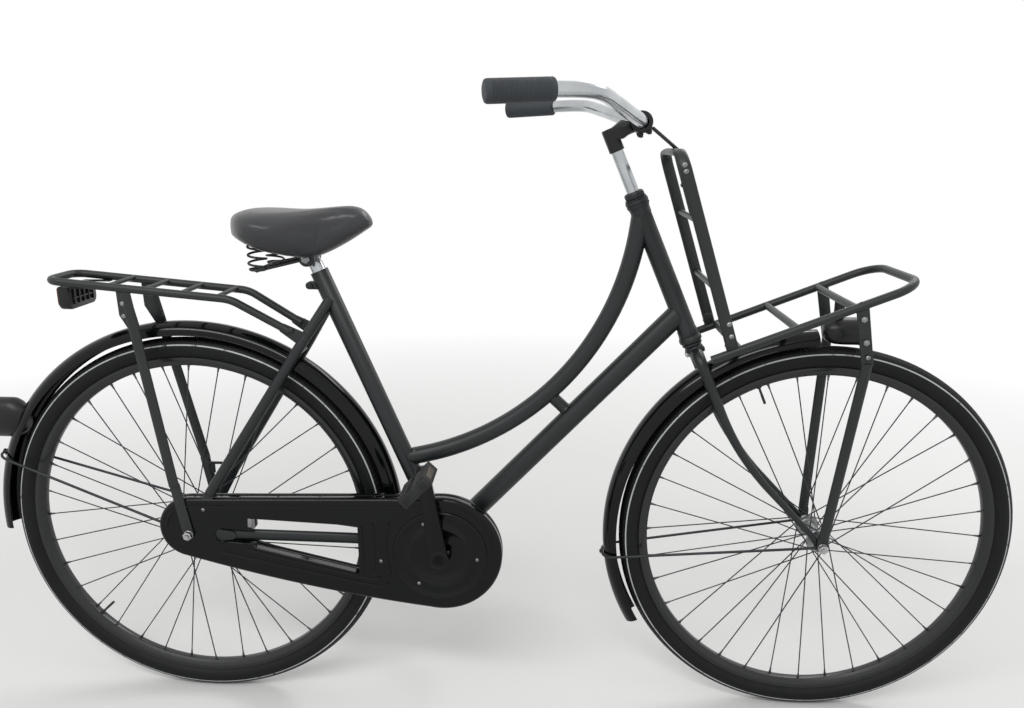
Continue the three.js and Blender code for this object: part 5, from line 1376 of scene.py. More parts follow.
@dataclass
class Mudguard:
    """A mudguard with rolled rims and its wire stay."""

    name: str
    x: float
    body: str
    half_width: float
    start: float
    end: float
    stay_angle: float
    stay_y: float
    stay_start: float
    bow_clearance: float
    base: float = 362.0
    crown: float = 23.0
    wall: float = 1.6
    wire: float = 2.4
    wire_bend: float = 22.0

    def way(self, angle: float) -> Vector:
        """The way from the axle at an angle, in degrees."""
        return Vector((math.cos(math.radians(angle)), 0, math.sin(math.radians(angle))))

    def arch(self, inset: float) -> list[Vector]:
        """Places on the section at its first end, from the left foot over the crown.

        Args:
            inset: how far the section lies inward.

        Returns:
            The places, in millimetres.
        """
        steps = 28
        places = []
        for step in range(steps + 1):
            angle = math.pi * step / steps
            reach = self.base + (self.crown - inset) * math.sin(angle)
            places.append(self.way(self.start) * reach + Vector((0, (self.half_width - inset) * math.cos(angle), 0)))
        return places

    def blade(self) -> bmesh.types.BMesh:
        """The bent sheet: its section is turned along the wheel, and its rims are rolled.

        Returns:
            The shape, in millimetres.
        """
        shape = bmesh.new()
        chain = [shape.verts.new(place) for place in [*self.arch(0), *reversed(self.arch(self.wall))]]
        edges = [shape.edges.new(pair) for pair in zip(chain, chain[1:] + chain[:1])]
        turn = math.radians(self.end - self.start)
        bmesh.ops.spin(
            shape, geom=chain + edges, cent=(0, 0, 0), axis=(0, -1, 0), angle=turn, steps=110, use_merge=False
        )
        bmesh.ops.remove_doubles(shape, verts=shape.verts, dist=0.01)
        rims = [e for e in shape.edges if e.is_boundary]
        bmesh.ops.holes_fill(shape, edges=rims, sides=0)
        bmesh.ops.recalc_face_normals(shape, faces=shape.faces)
        parts = [shape]
        for side in SIDES:
            angles = [self.start + (self.end - self.start) * step / 110 for step in range(111)]
            route = [self.way(a) * (self.base + 1) + Vector((0, side * (self.half_width - 1.4), 0)) for a in angles]
            parts.append(tube(route, 1.5, 8))
        return moved(joined(*parts), Matrix.Translation((self.x, 0, LAYOUT.hub_height)))

    def stay(self) -> bmesh.types.BMesh:
        """The wire stay: from the axle on both sides to a bow over the blade.

        Returns:
            The shape, in millimetres.
        """
        way = self.way(self.stay_angle)
        bow = self.base + self.crown + self.bow_clearance
        bow_y = self.half_width + self.wire + LAYOUT.gap
        corners = [
            way * self.stay_start + Vector((0, -self.stay_y, 0)),
            way * bow + Vector((0, -bow_y, 0)),
            way * bow + Vector((0, bow_y, 0)),
            way * self.stay_start + Vector((0, self.stay_y, 0)),
        ]
        parts = [tube(bent_route(corners, self.wire_bend), self.wire, 10), *self.fittings(way, bow)]
        return moved(joined(*parts), Matrix.Translation((self.x, 0, LAYOUT.hub_height)))

    def fittings(self, way: Vector, bow: float) -> list[bmesh.types.BMesh]:
        """What holds the stay: a clip on the blade and a flattened end with a screw.

        Args:
            way: the way of the stay from the axle.
            bow: how far its bow lies from the axle.

        Returns:
            The fittings' shapes.
        """
        crown = self.base + self.crown + LAYOUT.gap
        clip = lathe([(0, 0), (6, 0), (7, 0.8), (7, 2.6), (4.4, 3.6), (0, 3.6)], way * crown, way, 20)
        return [clip, dome_screw(way * (bow + self.wire), way, 4.2)]

    def build(self) -> None:
        """Builds the mudguard and its stay."""
        finished(self.name + "_dressed", self.blade(), self.body, GLOSS_PAINT, (self.name,), 45)
        finished(self.name + "_stay_dressed", self.stay(), self.body, DARK_STEEL, (self.name + "_stay",), 45)


@dataclass
class FrontMudguard(Mudguard):
    """The front mudguard, whose stay has an eye at each end on the axle."""

    eye_radius: float = 9.0
    eye_thickness: float = 2.6
    eye_y: float = 55.3

    def fittings(self, way: Vector, bow: float) -> list[bmesh.types.BMesh]:
        """The clip on the blade and both eyes.

        Args:
            way: the way of the stay from the axle.
            bow: how far its bow lies from the axle.

        Returns:
            The fittings' shapes.
        """
        parts = super().fittings(way, bow)
        tip = way * self.stay_start
        for side in SIDES:
            outline = link_outline((0, 0), (tip.x, tip.z), self.eye_radius, self.wire)
            parts.append(plate(outline, side * self.eye_y, side * (self.eye_y + self.eye_thickness), 0.5))
        return parts


# Frame


@dataclass
class FrameTubes:
    """The loop frame: its tubes, stays, fork ends and bearing shells."""

    body: str = "frame"
    head_radius: float = 16.5
    head_foot: float = 440.0
    head_top: float = 675.0
    cup_radius: float = 20.0
    loop_radius: float = 15.9
    loop_bend: float = 490.0
    loop_drop: float = 7.0
    loop_start: float = 263.0
    loop_end: float = 193.0
    loop_straight: float = 24.0
    down_radius: float = 19.0
    down_rise: float = 43.0
    bridge_radius: float = 11.0
    bridge_reach: float = 343.0
    bridge_length: float = 62.0
    seat_radius: float = 16.0
    seat_length: float = 550.0
    ear_drop: float = 28.0
    ear_reach: float = 28.0
    shell_radius: float = 20.0
    shell_half: float = 34.0
    stay_radius: float = 9.5
    stay_reach: float = 498.0
    stay_top_y: float = 10.5
    stay_bend_y: float = 35.0
    stay_bend_share: float = 0.76
    stay_bridge: float = 6.0
    stay_tab: tuple[float, float] = (44.0, 80.0)
    chain_stay_size: tuple[float, float] = (10.5, 6.5)
    chain_stay_y: float = 30.8

    def head_piece(self, profile: list[Place]) -> bmesh.types.BMesh:
        """A profile turned round the steering axis."""
        return moved(lathe(profile, axis=UP), LAYOUT.head_matrix)

    def head(self) -> None:
        """The head tube and the two headset cups."""
        foot, top, radius = self.head_foot, self.head_top, self.head_radius
        tube_profile = [
            (14, foot), (radius + 0.7, foot), (radius + 0.9, foot + 1), (radius + 0.9, foot + 9), (radius, foot + 10.5),
            (radius, top - 10.5), (radius + 0.9, top - 9), (radius + 0.9, top - 1), (radius + 0.7, top), (14, top),
            (14, foot),
        ]
        finished("head_tube_dressed", self.head_piece(tube_profile), self.body, FRAME_PAINT, ("head_tube",))
        rise = top + LAYOUT.gap
        cup = self.cup_radius
        upper = [
            (13.6, rise), (17.6, rise), (17.8, rise + 2), (cup - 1, rise + 5), (cup, rise + 6.5), (cup, rise + 8.6),
            (cup - 1, rise + 9.4), (cup - 1, rise + 10.4), (cup, rise + 11.2), (cup, rise + 15.2),
            (cup - 1, rise + 16.4),
            (13.6, rise + 16.4), (13.6, rise),
        ]
        finished("upper_cup_dressed", self.head_piece(upper), self.body, DARK_STEEL, ("upper_headset_cup",))
        fall = foot - LAYOUT.gap
        lower = [(13.6, fall), (17.8, fall), (18, fall - 2.4), (cup - 0.6, fall - 5), (cup, fall - 6.4),
                 (cup, fall - 11),
                 (cup - 1.4, fall - 12.8), (13.6, fall - 12.8), (13.6, fall)]
        finished("lower_cup_dressed", self.head_piece(lower), self.body, FRAME_PAINT, ("lower_headset_cup",))

    def loop_route(self) -> list[Vector]:
        """The middle of the loop tube, which drops from the head tube in one wide bend.

        Returns:
            The places, from the head tube down.
        """
        start = LAYOUT.on_head(self.head_top - self.loop_drop)
        first, last = math.radians(self.loop_start), math.radians(self.loop_end)
        into = Vector((math.cos(first), 0, math.sin(first)))
        out = Vector((math.cos(last), 0, math.sin(last)))
        corner = start + into * (self.loop_straight + self.loop_bend * math.tan((first - last) / 2))
        square = Vector((math.sin(math.radians(LAYOUT.seat_angle)), 0, math.cos(math.radians(LAYOUT.seat_angle))))
        reach = (corner - LAYOUT.crank).dot(square) / -out.dot(square)
        return bent_route([start, corner, corner + out * (reach - self.seat_radius * 0.4)], self.loop_bend, 36)

    def weld(self, place: Vector, way: Vector, radius: float) -> bmesh.types.BMesh:
        """The soft bead of brass where one tube meets another.

        Args:
            place: the middle of the joint.
            way: the way of the tube that ends there.
            radius: that tube's radius.

        Returns:
            The shape, in millimetres.
        """
        profile = [(radius - 0.6, -3.4), (radius + 0.5, -2.2), (radius + 1.5, 0), (radius + 0.5, 2.2),
                   (radius - 0.6, 3.4)]
        return lathe([*profile, profile[0]], place, way, steps=36)

    def main_tubes(self) -> None:
        """The loop tube, the down tube with its bridge, and the seat tube with its clamp."""
        route = self.loop_route()
        way = (route[-1] - route[-2]).normalized()
        route.insert(-1, route[-1] - way * (self.seat_radius * 0.6))
        sizes = [*([self.loop_radius] * (len(route) - 1)), self.seat_radius - 1.5]
        # drop: a small bead of bright steel on the near, upper side of the loop tube's end, placed where a bright spot
        # shows at the joint
        drop = lathe([(0, -1.6), (1.6, -1), (2.2, 0.6), (0, 2)], steps=14)
        drop = moved(drop, Matrix.Translation(route[-2] + Vector((1, -9, 12))))
        finished("loop_tube_dressed", tube(route, sizes, 36), self.body, FRAME_PAINT, ("loop_tube",))
        finished("loop_bright_drop", drop, self.body, STEEL)
        top = LAYOUT.on_head(self.head_foot + self.down_rise)
        way = (top - LAYOUT.crank).normalized()
        foot = LAYOUT.crank + way * self.bridge_reach
        across = Vector((-way.z, 0, way.x))
        bridge = bar(foot, foot + across * (self.bridge_length - 7), self.bridge_radius, 28)
        beads = [
            self.weld(foot + across * (self.down_radius - 0.5), across, self.bridge_radius),
            self.weld(foot + across * (self.bridge_length - 9), across, self.bridge_radius),
        ]
        down = bar(LAYOUT.crank + way * 12, top - way * 4, self.down_radius, 40)
        finished("down_tube_dressed", joined(down, bridge, *beads), self.body, FRAME_PAINT, ("down_tube",))
        finished("seat_tube_dressed", self.seat_tube(), self.body, FRAME_PAINT, ("seat_tube",))
        shell = [(9.2, -self.shell_half), (19, -self.shell_half), (20, -self.shell_half + 1), (20, self.shell_half - 1),
                 (19, self.shell_half), (9.2, self.shell_half), (9.2, -self.shell_half)]
        ring = washer(LAYOUT.crank + aside(self.shell_half - 1), aside(LEFT), 9.4, 18, 0.9)
        ring = joined(lathe(shell, LAYOUT.crank), ring)
        finished("crank_shell_dressed", ring, self.body, FRAME_PAINT, ("bottom_bracket_shell",))

    def seat_tube(self) -> bmesh.types.BMesh:
        """The seat tube, slotted at its top, with the ears of the clamp and their bolt.

        Returns:
            The shape, in millimetres.
        """
        top = LAYOUT.on_seat_tube(self.seat_length)
        along = (top - LAYOUT.crank).normalized()
        turned = [(13, self.seat_length - 60), (13, self.seat_length), (self.seat_radius - 0.6, self.seat_length),
                  (self.seat_radius, self.seat_length - 0.8), (self.seat_radius, 14), (0, 14)]
        main = lathe(turned, LAYOUT.crank, along, 40)
        ear = LAYOUT.on_seat_tube(self.seat_length - self.ear_drop)
        reach = self.ear_reach
        parts = [main]
        for side in SIDES:
            outline = link_outline((ear.x, ear.z), (ear.x - reach, ear.z), 6.5, 6.5)
            parts.append(plate(outline, side * 1.5, side * 8, 0.9))
        place = Vector((ear.x - reach + 1, 0, ear.z))
        parts.append(hex_nut(place + Vector((0, -7.4, 0)), aside(RIGHT), 6.2, 4.6, 10))
        parts.append(hex_nut(place + Vector((0, 7.4, 0)), aside(LEFT), 6.2, 4.6, 25))
        parts.append(bar(place + Vector((0, -8, 0)), place + Vector((0, 8, 0)), 3, 14))
        return joined(*parts)

    def stay_ends(self, side: int) -> tuple[Vector, Vector, Vector]:
        """The foot, the bend and the top of a seat stay.

        Args:
            side: RIGHT or LEFT.

        Returns:
            The three places.
        """
        hub = LAYOUT.hub_height
        y = side * (LAYOUT.rear_fork_y + LAYOUT.fork_thickness / 2)
        foot = Vector((self.stay_tab[0], y, hub + self.stay_tab[1]))
        top = LAYOUT.on_seat_tube(self.stay_reach, side * self.stay_top_y)
        bend = foot.lerp(top, self.stay_bend_share)
        bend.y = side * self.stay_bend_y
        return foot, bend, top

    def bridge_share(self) -> float:
        """How far up the seat stays their bridge lies, just above the mudguard.

        Returns:
            Its share of the way from the bend to the top.
        """
        foot, _, top = self.stay_ends(LEFT)
        hub = Vector((0, 0, LAYOUT.hub_height))
        start = Vector((foot.x, 0, foot.z)) - hub
        way = Vector((top.x, 0, top.z)) - hub - start
        reach = Mudguard.base + Mudguard.crown + LAYOUT.gap + self.stay_bridge
        half = start.dot(way) / way.length_squared
        return -half + math.sqrt(half**2 - (start.length_squared - reach**2) / way.length_squared)

    def rear_side(self, side: int) -> None:
        """One side of the rear: its chain stay with the fork end, and its seat stay.

        Args:
            side: RIGHT or LEFT.
        """
        name = SIDES[side]
        inner = side * LAYOUT.rear_fork_y
        outer = side * (LAYOUT.rear_fork_y + LAYOUT.fork_thickness)
        hub = (0.0, LAYOUT.hub_height)
        corners = [
            Vector((58, side * 58, LAYOUT.stay_z(58))),
            Vector((300, side * self.chain_stay_y, LAYOUT.stay_z(300))),
            Vector((LAYOUT.crank_x - self.shell_radius, side * self.chain_stay_y, LAYOUT.stay_z(440))),
            Vector((LAYOUT.crank_x, side * 24, LAYOUT.crank_z)),
        ]
        route = bent_route(corners, [355.0, self.shell_radius / 2])
        stay = tube(route, self.chain_stay_size, 28, UP)
        round_end = plate(link_outline(hub, (78, LAYOUT.stay_z(78)), 20, 8), inner, outer, 0.8)
        tab = plate(link_outline(hub, (self.stay_tab[0], hub[1] + self.stay_tab[1]), 9, 9), inner, outer, 0.8)
        shape = joined(stay, round_end, tab)
        finished(name + "_chain_stay_dressed", shape, self.body, FRAME_PAINT, (name + "_chain_stay",))
        foot, bend, top = self.stay_ends(side)
        pipe = tube(bent_route([foot, bend, top], 60.0), self.stay_radius, 28)
        cap = lathe([(0, -5), (5, -4.4), (8, -2.2), (9.4, 0.4), (9.4, 3), (0, 3)], foot, (bend - foot).normalized(), 28)
        parts = [pipe, cap]
        if side == LEFT:
            share = self.bridge_share()
            place = foot.lerp(top, share)
            y = abs(foot.y) + (self.stay_bend_y - abs(foot.y)) / self.stay_bend_share * share
            parts.append(bar(Vector((place.x, -y, place.z)), Vector((place.x, y, place.z)), self.stay_bridge, 20))
        finished(name + "_seat_stay_dressed", joined(*parts), self.body, FRAME_PAINT, (name + "_seat_stay",))

    def brake_arm(self) -> None:
        """The arm of the hub brake, with its strap round the left chain stay."""
        start = LAYOUT.rear_fork_y + LAYOUT.fork_thickness + LAYOUT.gap
        tip = (150.0, LAYOUT.stay_z(150))
        arm = plate(link_outline((0, LAYOUT.hub_height), tip, 17, 8.5), start, start + 3, 0.7)
        y = self.chain_stay_y + 21
        strap = [
            Vector((tip[0], start + 1, tip[1] + 13)),
            Vector((tip[0], y - 14, tip[1] + 13)),
            Vector((tip[0], y - 14, tip[1] - 13)),
            Vector((tip[0], start + 1, tip[1] - 13)),
        ]
        band = tube(bent_route(strap, 6.0), (6.5, 1.2), 12, AHEAD)
        bolt = hex_nut(Vector((tip[0], start + 3, tip[1])), aside(LEFT), 6.5, 4.5, 8)
        finished("brake_arm_dressed", joined(arm, band, bolt), self.body, FRAME_PAINT, ("brake_arm",))

    def build(self) -> None:
        """Builds the frame's pieces."""
        self.head()
        self.main_tubes()
        for side in SIDES:
            self.rear_side(side)
        self.brake_arm()


# Steering


@dataclass
class Steering:
    """The fork, the stem with its clamp, the handlebar and the grips."""

    body: str = "steering"
    crown: float = 404.0
    crown_y: float = 38.0
    blade_radius: float = 12.5
    tip_radius: float = 5.5
    knee: float = 212.0
    blade_bend: float = 500.0
    shoulder_bend: float = 24.0
    end_height: float = 16.0
    steerer_radius: float = 12.7
    steerer_top: float = 692.0
    quill_radius: float = 10.5
    sleeve_foot: float = 778.0
    sleeve_top: float = 817.0
    sleeve_radius: float = 13.0
    bar_forward: float = 53.0
    bar_height: float = 806.0
    arm_radius: float = 11.0
    clamp_radius: float = 18.0
    clamp_half: float = 21.0
    bar_radius: float = 11.0
    grip_radius: float = 16.4
    grip_length: float = 98.0
    grip_edge: float = 5.0
    bar_course: tuple[tuple[float, float, float], ...] = (
        (8, 50, 3), (27, 100, 11), (53, 160, 23), (86, 225, 35), (143, 266, 35.5), (231, 297, 31),
    )

    def blade(self, side: int) -> bmesh.types.BMesh:
        """One fork blade: from the crown over its shoulder, tapering and raked forward to its end.

        Args:
            side: RIGHT or LEFT.

        Returns:
            The shape, in millimetres.
        """
        rake, bends = LAYOUT.fork_rake, 12
        end_y = side * (LAYOUT.front_fork_y + LAYOUT.fork_thickness / 2)
        corners = [
            Vector((0, 0, self.crown)),
            Vector((0, side * self.crown_y, self.crown)),
            Vector((0, side * (self.crown_y + (LAYOUT.front_fork_y - self.crown_y) / 2), self.knee)),
            Vector((rake - self.end_height / 3, end_y, self.end_height)),
        ]
        route = bent_route(corners, [self.shoulder_bend, self.blade_bend], bends)
        stations = [0.0, *(1 + 4 * k / bends for k in range(bends + 1)),
                    *(6 + 4 * k / bends for k in range(bends + 1)), 11.0]
        sizes = [self.blade_radius + (self.tip_radius - self.blade_radius) * s / 11 for s in stations]
        return tube(route, sizes, 28)

    def fork_end(self, side: int) -> bmesh.types.BMesh:
        """The flat end of one blade round the axle.

        Args:
            side: RIGHT or LEFT.

        Returns:
            The shape, in millimetres.
        """
        start = side * LAYOUT.front_fork_y
        top = (LAYOUT.fork_rake - self.end_height / 2, self.end_height + self.tip_radius)
        outline = link_outline((LAYOUT.fork_rake, 0), top, 10.3, 5.5)
        return plate(outline, start, start + side * LAYOUT.fork_thickness, 0.8)

    def fork(self) -> None:
        """The fork with its steerer, crown bead and the tab that carries the mudguard."""
        steerer = lathe([(0, self.crown), (self.steerer_radius, self.crown), (self.steerer_radius, self.steerer_top),
                         (0, self.steerer_top)], axis=UP, steps=32)
        race = lathe([(12.5, 419), (15.4, 419), (17.6, 421.4), (17.6, 425), (16.4, 426.2), (12.5, 426.2), (12.5, 419)],
                     axis=UP, steps=36)
        collar = lathe([(12.5, 408), (15.6, 409.4), (16.2, 413), (14.6, 418), (12.5, 420), (12.5, 408)],
                       axis=UP, steps=36)
        tab = block((-6.5, -6.5, self.crown - 18), (6.5, 6.5, self.crown), 1.2)
        bolt = hex_nut(Vector((12, 0, self.crown + 3)), AHEAD, 6, 4.4, 10)
        blades = [shape for side in SIDES for shape in (self.blade(side), self.fork_end(side))]
        shape = moved(joined(steerer, race, collar, tab, bolt, *blades), LAYOUT.head_matrix)
        finished("fork_dressed", shape, self.body, FRAME_PAINT, ("fork",))
        back = joined(
            hex_nut(Vector((-12, 0, self.crown + 3)), Vector((-1, 0, 0)), 6.4, 5, 20),
            washer(Vector((-11.4, 0, self.crown + 3)), Vector((-1, 0, 0)), 3, 7.4, 1.2),
        )
        finished("crown_bolt", moved(back, LAYOUT.head_matrix), self.body, BRIGHT_STEEL)

    def locknut(self) -> None:
        """The lock nut on the headset, six-sided, over a toothed washer."""
        low = self.steerer_top + LAYOUT.gap
        high = low + 14
        ring = bmesh.new()
        bmesh.ops.create_cone(ring, cap_ends=True, segments=6, radius1=19, radius2=19, depth=7.4,
                              matrix=Matrix.Translation((0, 0, low + 7)))
        softened(ring, 1.1)
        lower = lathe([(11, low), (18.4, low), (18.8, low + 0.6), (18.8, low + 2.2), (17.6, low + 2.9),
                       (11, low + 2.9), (11, low)],
                      axis=UP)
        cap = lathe([(11, low + 9), (16.8, low + 10.2), (16, low + 12.2), (13.4, high - 0.4), (11.4, high),
                     (11, low + 9)],
                    axis=UP)
        shape = moved(joined(ring, lower, cap), LAYOUT.head_matrix)
        finished("headset_locknut_dressed", shape, self.body, DARK_STEEL, ("headset_locknut",))

    def stem(self) -> None:
        """The bright quill and the dark clamp with its bolts."""
        top = self.sleeve_top - self.arm_radius
        quill = lathe([(0, 610), (self.quill_radius, 610), (self.quill_radius, top), (0, top)], axis=UP, steps=36)
        finished("quill_dressed", moved(quill, LAYOUT.head_matrix), self.body, CHROME, ("quill_stem",))
        foot, head, radius = self.sleeve_foot, self.sleeve_top, self.sleeve_radius
        sleeve = lathe([(10.8, foot), (radius - 0.6, foot), (radius, foot + 0.7), (radius, head - 1.6),
                        (radius - 1.6, head),
                        (0, head), (0, head - 4), (10.8, head - 4), (10.8, foot)], axis=UP, steps=36)
        centre = Vector((self.bar_forward, 0, self.bar_height))
        arm = tube([Vector((0, 0, self.bar_height)), centre], self.arm_radius, 28)
        half, size = self.clamp_half, self.clamp_radius
        rim = [(11.3, -half), (size - 1.5, -half), (size, -half + 1.5), (size, -1), (size - 1.6, -0.8),
               (size - 1.6, 0.8),
               (size, 1), (size, half - 1.5), (size - 1.5, half), (11.3, half), (11.3, -half)]
        clamp = lathe(rim, centre, steps=40)
        parts = [sleeve, arm, clamp]
        for side in SIDES:
            for forward, drop in ((-9.0, 16.5), (6.0, 17.0)):
                place = centre + Vector((forward, side * 11.5, -drop + 3))
                parts.append(hex_nut(place, Vector((0.1, 0, -1)), 4.6, 7.5, 14))
        shape = moved(joined(*parts), LAYOUT.head_matrix)
        elbow = [(737.5, 1065), (765, 1088), (782, 1086), (785, 1070), (770, 1058), (752, 1054)]
        shape = joined(shape, plate(elbow, -13, 13, 3))
        finished("stem_clamp_dressed", shape, self.body, BLACK_PLASTIC, ("stem_clamp",))

    def bar_places(self, side: int) -> list[Vector]:
        """The places of one half of the bar, from its middle outward."""
        centre = LAYOUT.on_head(self.bar_height, self.bar_forward)
        return [centre + Vector((-back, side * across, up)) for back, across, up in self.bar_course]

    def handlebar(self) -> None:
        """The chromed bar along its whole course."""
        middle = LAYOUT.on_head(self.bar_height, self.bar_forward)
        places = [*reversed(self.bar_places(RIGHT)), middle, *self.bar_places(LEFT)]
        shape = tube(smooth_route(places, 14), self.bar_radius, 32)
        finished("handlebar_dressed", shape, self.body, CHROME, ("handlebar",))

    def grip(self, side: int) -> bmesh.types.BMesh:
        """A rubber grip with fine rings, a soft front rim and a rounded rear end.

        Args:
            side: RIGHT or LEFT.

        Returns:
            The shape, in millimetres.
        """
        front, rear = self.bar_places(side)[-2:]
        way = (front - rear).normalized()
        radius, edge, reach = self.grip_radius, self.grip_edge, self.grip_length - self.grip_edge
        profile = [(0, -edge), (radius - 4, -edge), (radius - 1.4, -edge + 1), (radius - 0.2, -edge + 3.4)]
        rings = 26
        start, end = 2.0, reach - 6
        for step in range(rings):
            at = start + (end - start) * step / rings
            size = (end - start) / rings
            profile += [(radius, at), (radius, at + size * 0.55), (radius - 0.45, at + size * 0.68),
                        (radius - 0.45, at + size * 0.9)]
        profile += [(radius, end + 1), (radius, reach - 3), (radius - 1.2, reach - 0.6), (radius - 3.4, reach),
                    (11.1, reach)]
        return lathe(profile, rear, way, steps=48)

    def build(self) -> None:
        """Builds the steering's pieces."""
        self.fork()
        self.locknut()
        self.stem()
        self.handlebar()
        for side in SIDES:
            name = SIDES[side] + "_grip"
            finished(name + "_dressed", self.grip(side), self.body, GRIP_RUBBER, (name,), 50)


# Carriers and lights


@dataclass
class RearCarrier:
    """The rear carrier with its legs, reflector and tail light."""

    body: str = "frame"
    rail_radius: float = 7.0
    rail_y: float = 46.0
    rear: tuple[float, float] = (-217.0, 817.0)
    knee: tuple[float, float] = (103.0, 788.0)
    plate: tuple[float, float] = (200.0, 731.0)
    plate_y: float = 36.5
    rail_bend: float = 22.0
    rod_radius: float = 4.0
    rod_rear: float = -107.0
    rod_spacing: float = 63.0
    rods: int = 4
    leg_top_x: float = -81.0
    leg_size: tuple[float, float] = (9.5, 4.0)
    leg_plate_top: float = 95.0
    leg_foot_y: dict[int, float] = field(default_factory=lambda: {RIGHT: 66.3, LEFT: 67.6})
    reflector_half: float = 45.4
    reflector_height: float = 41.0
    reflector_corner: float = 13.0
    light_z: float = 552.0
    light_half: tuple[float, float] = (25.0, 38.0)

    def rail_z(self, x: float) -> float:
        """The height of the rail's middle at a place between its rear end and its knee."""
        share = (x - self.rear[0]) / (self.knee[0] - self.rear[0])
        return self.rear[1] + (self.knee[1] - self.rear[1]) * share

    def rails(self) -> None:
        """The looped rail with its cross rods and the plates that hold it on the seat stays."""
        def half(side: int) -> list[Vector]:
            """The corners of one side, from its plate to the rear.

            Args:
                side: RIGHT or LEFT.

            Returns:
                The corners, from the plate on.
            """
            return [
                Vector((self.plate[0], side * self.plate_y, self.plate[1])),
                Vector((self.knee[0], side * self.rail_y, self.knee[1])),
                Vector((self.rear[0], side * self.rail_y, self.rear[1])),
            ]

        bends = [66.0, self.rail_bend, self.rail_bend, 66.0]
        parts = [tube(bent_route([*half(RIGHT), *reversed(half(LEFT))], bends, 12), self.rail_radius, 24)]
        for index in range(self.rods):
            x = self.rod_rear + self.rod_spacing * index
            z = self.rail_z(x) + self.rail_radius - self.rod_radius
            parts.append(bar(Vector((x, -self.rail_y, z)), Vector((x, self.rail_y, z)), self.rod_radius, 16))
        slope = math.atan2(self.knee[1] - self.plate[1], self.plate[0] - self.knee[0])
        start = (self.plate[0] - 10, self.plate[1] + 5)
        end = (start[0] + 34 * math.cos(slope), start[1] - 34 * math.sin(slope))
        for side in SIDES:
            parts.append(plate(link_outline(start, end, 8.5, 12.5), side * 35, side * 38, 0.6))
            place = Vector((203, side * 38, 733))
            parts.append(hex_nut(place, aside(side), 5.6, 4, 17))
        finished("rear_carrier_dressed", joined(*parts), self.body, CARRIER_PAINT, ("rear_carrier",))

    def leg(self, side: int) -> None:
        """One flattened leg with its plates and bolts.

        Args:
            side: RIGHT or LEFT.
        """
        name = SIDES[side] + "_carrier_leg"
        foot_y = side * self.leg_foot_y[side]
        top_z = self.rail_z(self.leg_top_x)
        lean = self.leg_top_x / (top_z - LAYOUT.hub_height)
        knee = (lean * self.leg_plate_top, LAYOUT.hub_height + self.leg_plate_top)
        half, thin = self.leg_size
        foot = plate(link_outline((0, LAYOUT.hub_height), knee, half, half), foot_y, foot_y + side * 3, 0.6)
        route = [Vector((knee[0], foot_y + side * thin, knee[1])),
                 Vector((self.leg_top_x, side * self.rail_y, top_z - 6))]
        shaft = tube([route[0].lerp(route[1], share / 6) for share in range(7)], self.leg_size, 24, AHEAD)
        x, z = self.leg_top_x, top_z - 5
        outline = [(x - 15, z), (x + 7.5, z), (x + 9 - lean * 60, z - 60), (x - 6 - lean * 82, z - 82),
                   (x - 13.5, z - 42)]
        head = plate(outline, side * 44.5, side * 47.5, 0.7)
        bolts = [
            hex_nut(Vector((x - 4, side * (self.rail_y + 1.6), high)), aside(side), 4.4, 3.2, 9)
            for high in (779.0, 757.0)
        ]
        parts = [foot, shaft, head]
        if side == LEFT:
            parts += [block((-12, 60.5, 441), (19, 63.5, 446), 0.7), block((-3, 60.5, 423), (4, 63.5, 443), 0.7)]
        finished(name + "_dressed", joined(*parts), self.body, CARRIER_PAINT, (name,))
        finished(SIDES[side] + "_leg_bolts", joined(*bolts), self.body, STEEL)

    def reflector(self) -> None:
        """The wide shallow reflector under the rail's rear end: a dark body with ribs, wings and a red face."""
        top = self.rail_z(-190) - self.rail_radius / 2 - 5.5
        half, low, corner = self.reflector_half, top - self.reflector_height, self.reflector_corner
        right = arc_places(-(half - corner), low + corner, corner, math.pi, 1.5 * math.pi, 6)
        left = arc_places(half - corner, low + corner, corner, -math.pi / 2, 0, 6)
        outline = [(-half, top), *right, *left, (half, top)]
        quarter = Matrix.Rotation(math.pi / 2, 4, "Z")
        body = moved(plate(outline, 182, 201, 2.0), quarter)
        ribs = [block((-182.5, y - 1.2, low + 9), (-178.6, y + 1.2, top - 5), 0.5) for y in (-30, -15, 0, 15, 30)]
        ribs.append(block((-182.5, -34, low + 18), (-179.4, 34, low + 21), 0.5))
        wings = [block((-186, side * 38 - 6, top - 2.4), (-148, side * 38 + 6, top), 0.6) for side in SIDES]
        finished("reflector_body", joined(body, *ribs, *wings), self.body, BLACK_PLASTIC)
        inset = [(y * 0.93, z if z > top - 1 else low + (z - low) * 0.93 + 2.6) for y, z in outline]
        inset[0], inset[-1] = (inset[0][0], top - 3), (inset[-1][0], top - 3)
        face = moved(plate(inset, 200.4, 203.9, 1.0), quarter)
        finished("reflector_face", face, self.body, RED_LENS, ("rear_reflector",))

    def oval(self, stations: list[Place]) -> bmesh.types.BMesh:
        """An upright oval of the tail light, drawn out backward.

        Args:
            stations: for each step, its place along the bicycle and its share of the full size.

        Returns:
            The oval.
        """
        wide, high = self.light_half
        route = [Vector((x, 0, self.light_z)) for x, _ in stations]
        return tube(route, [(wide * share, high * share) for _, share in stations], 48, aside(LEFT))

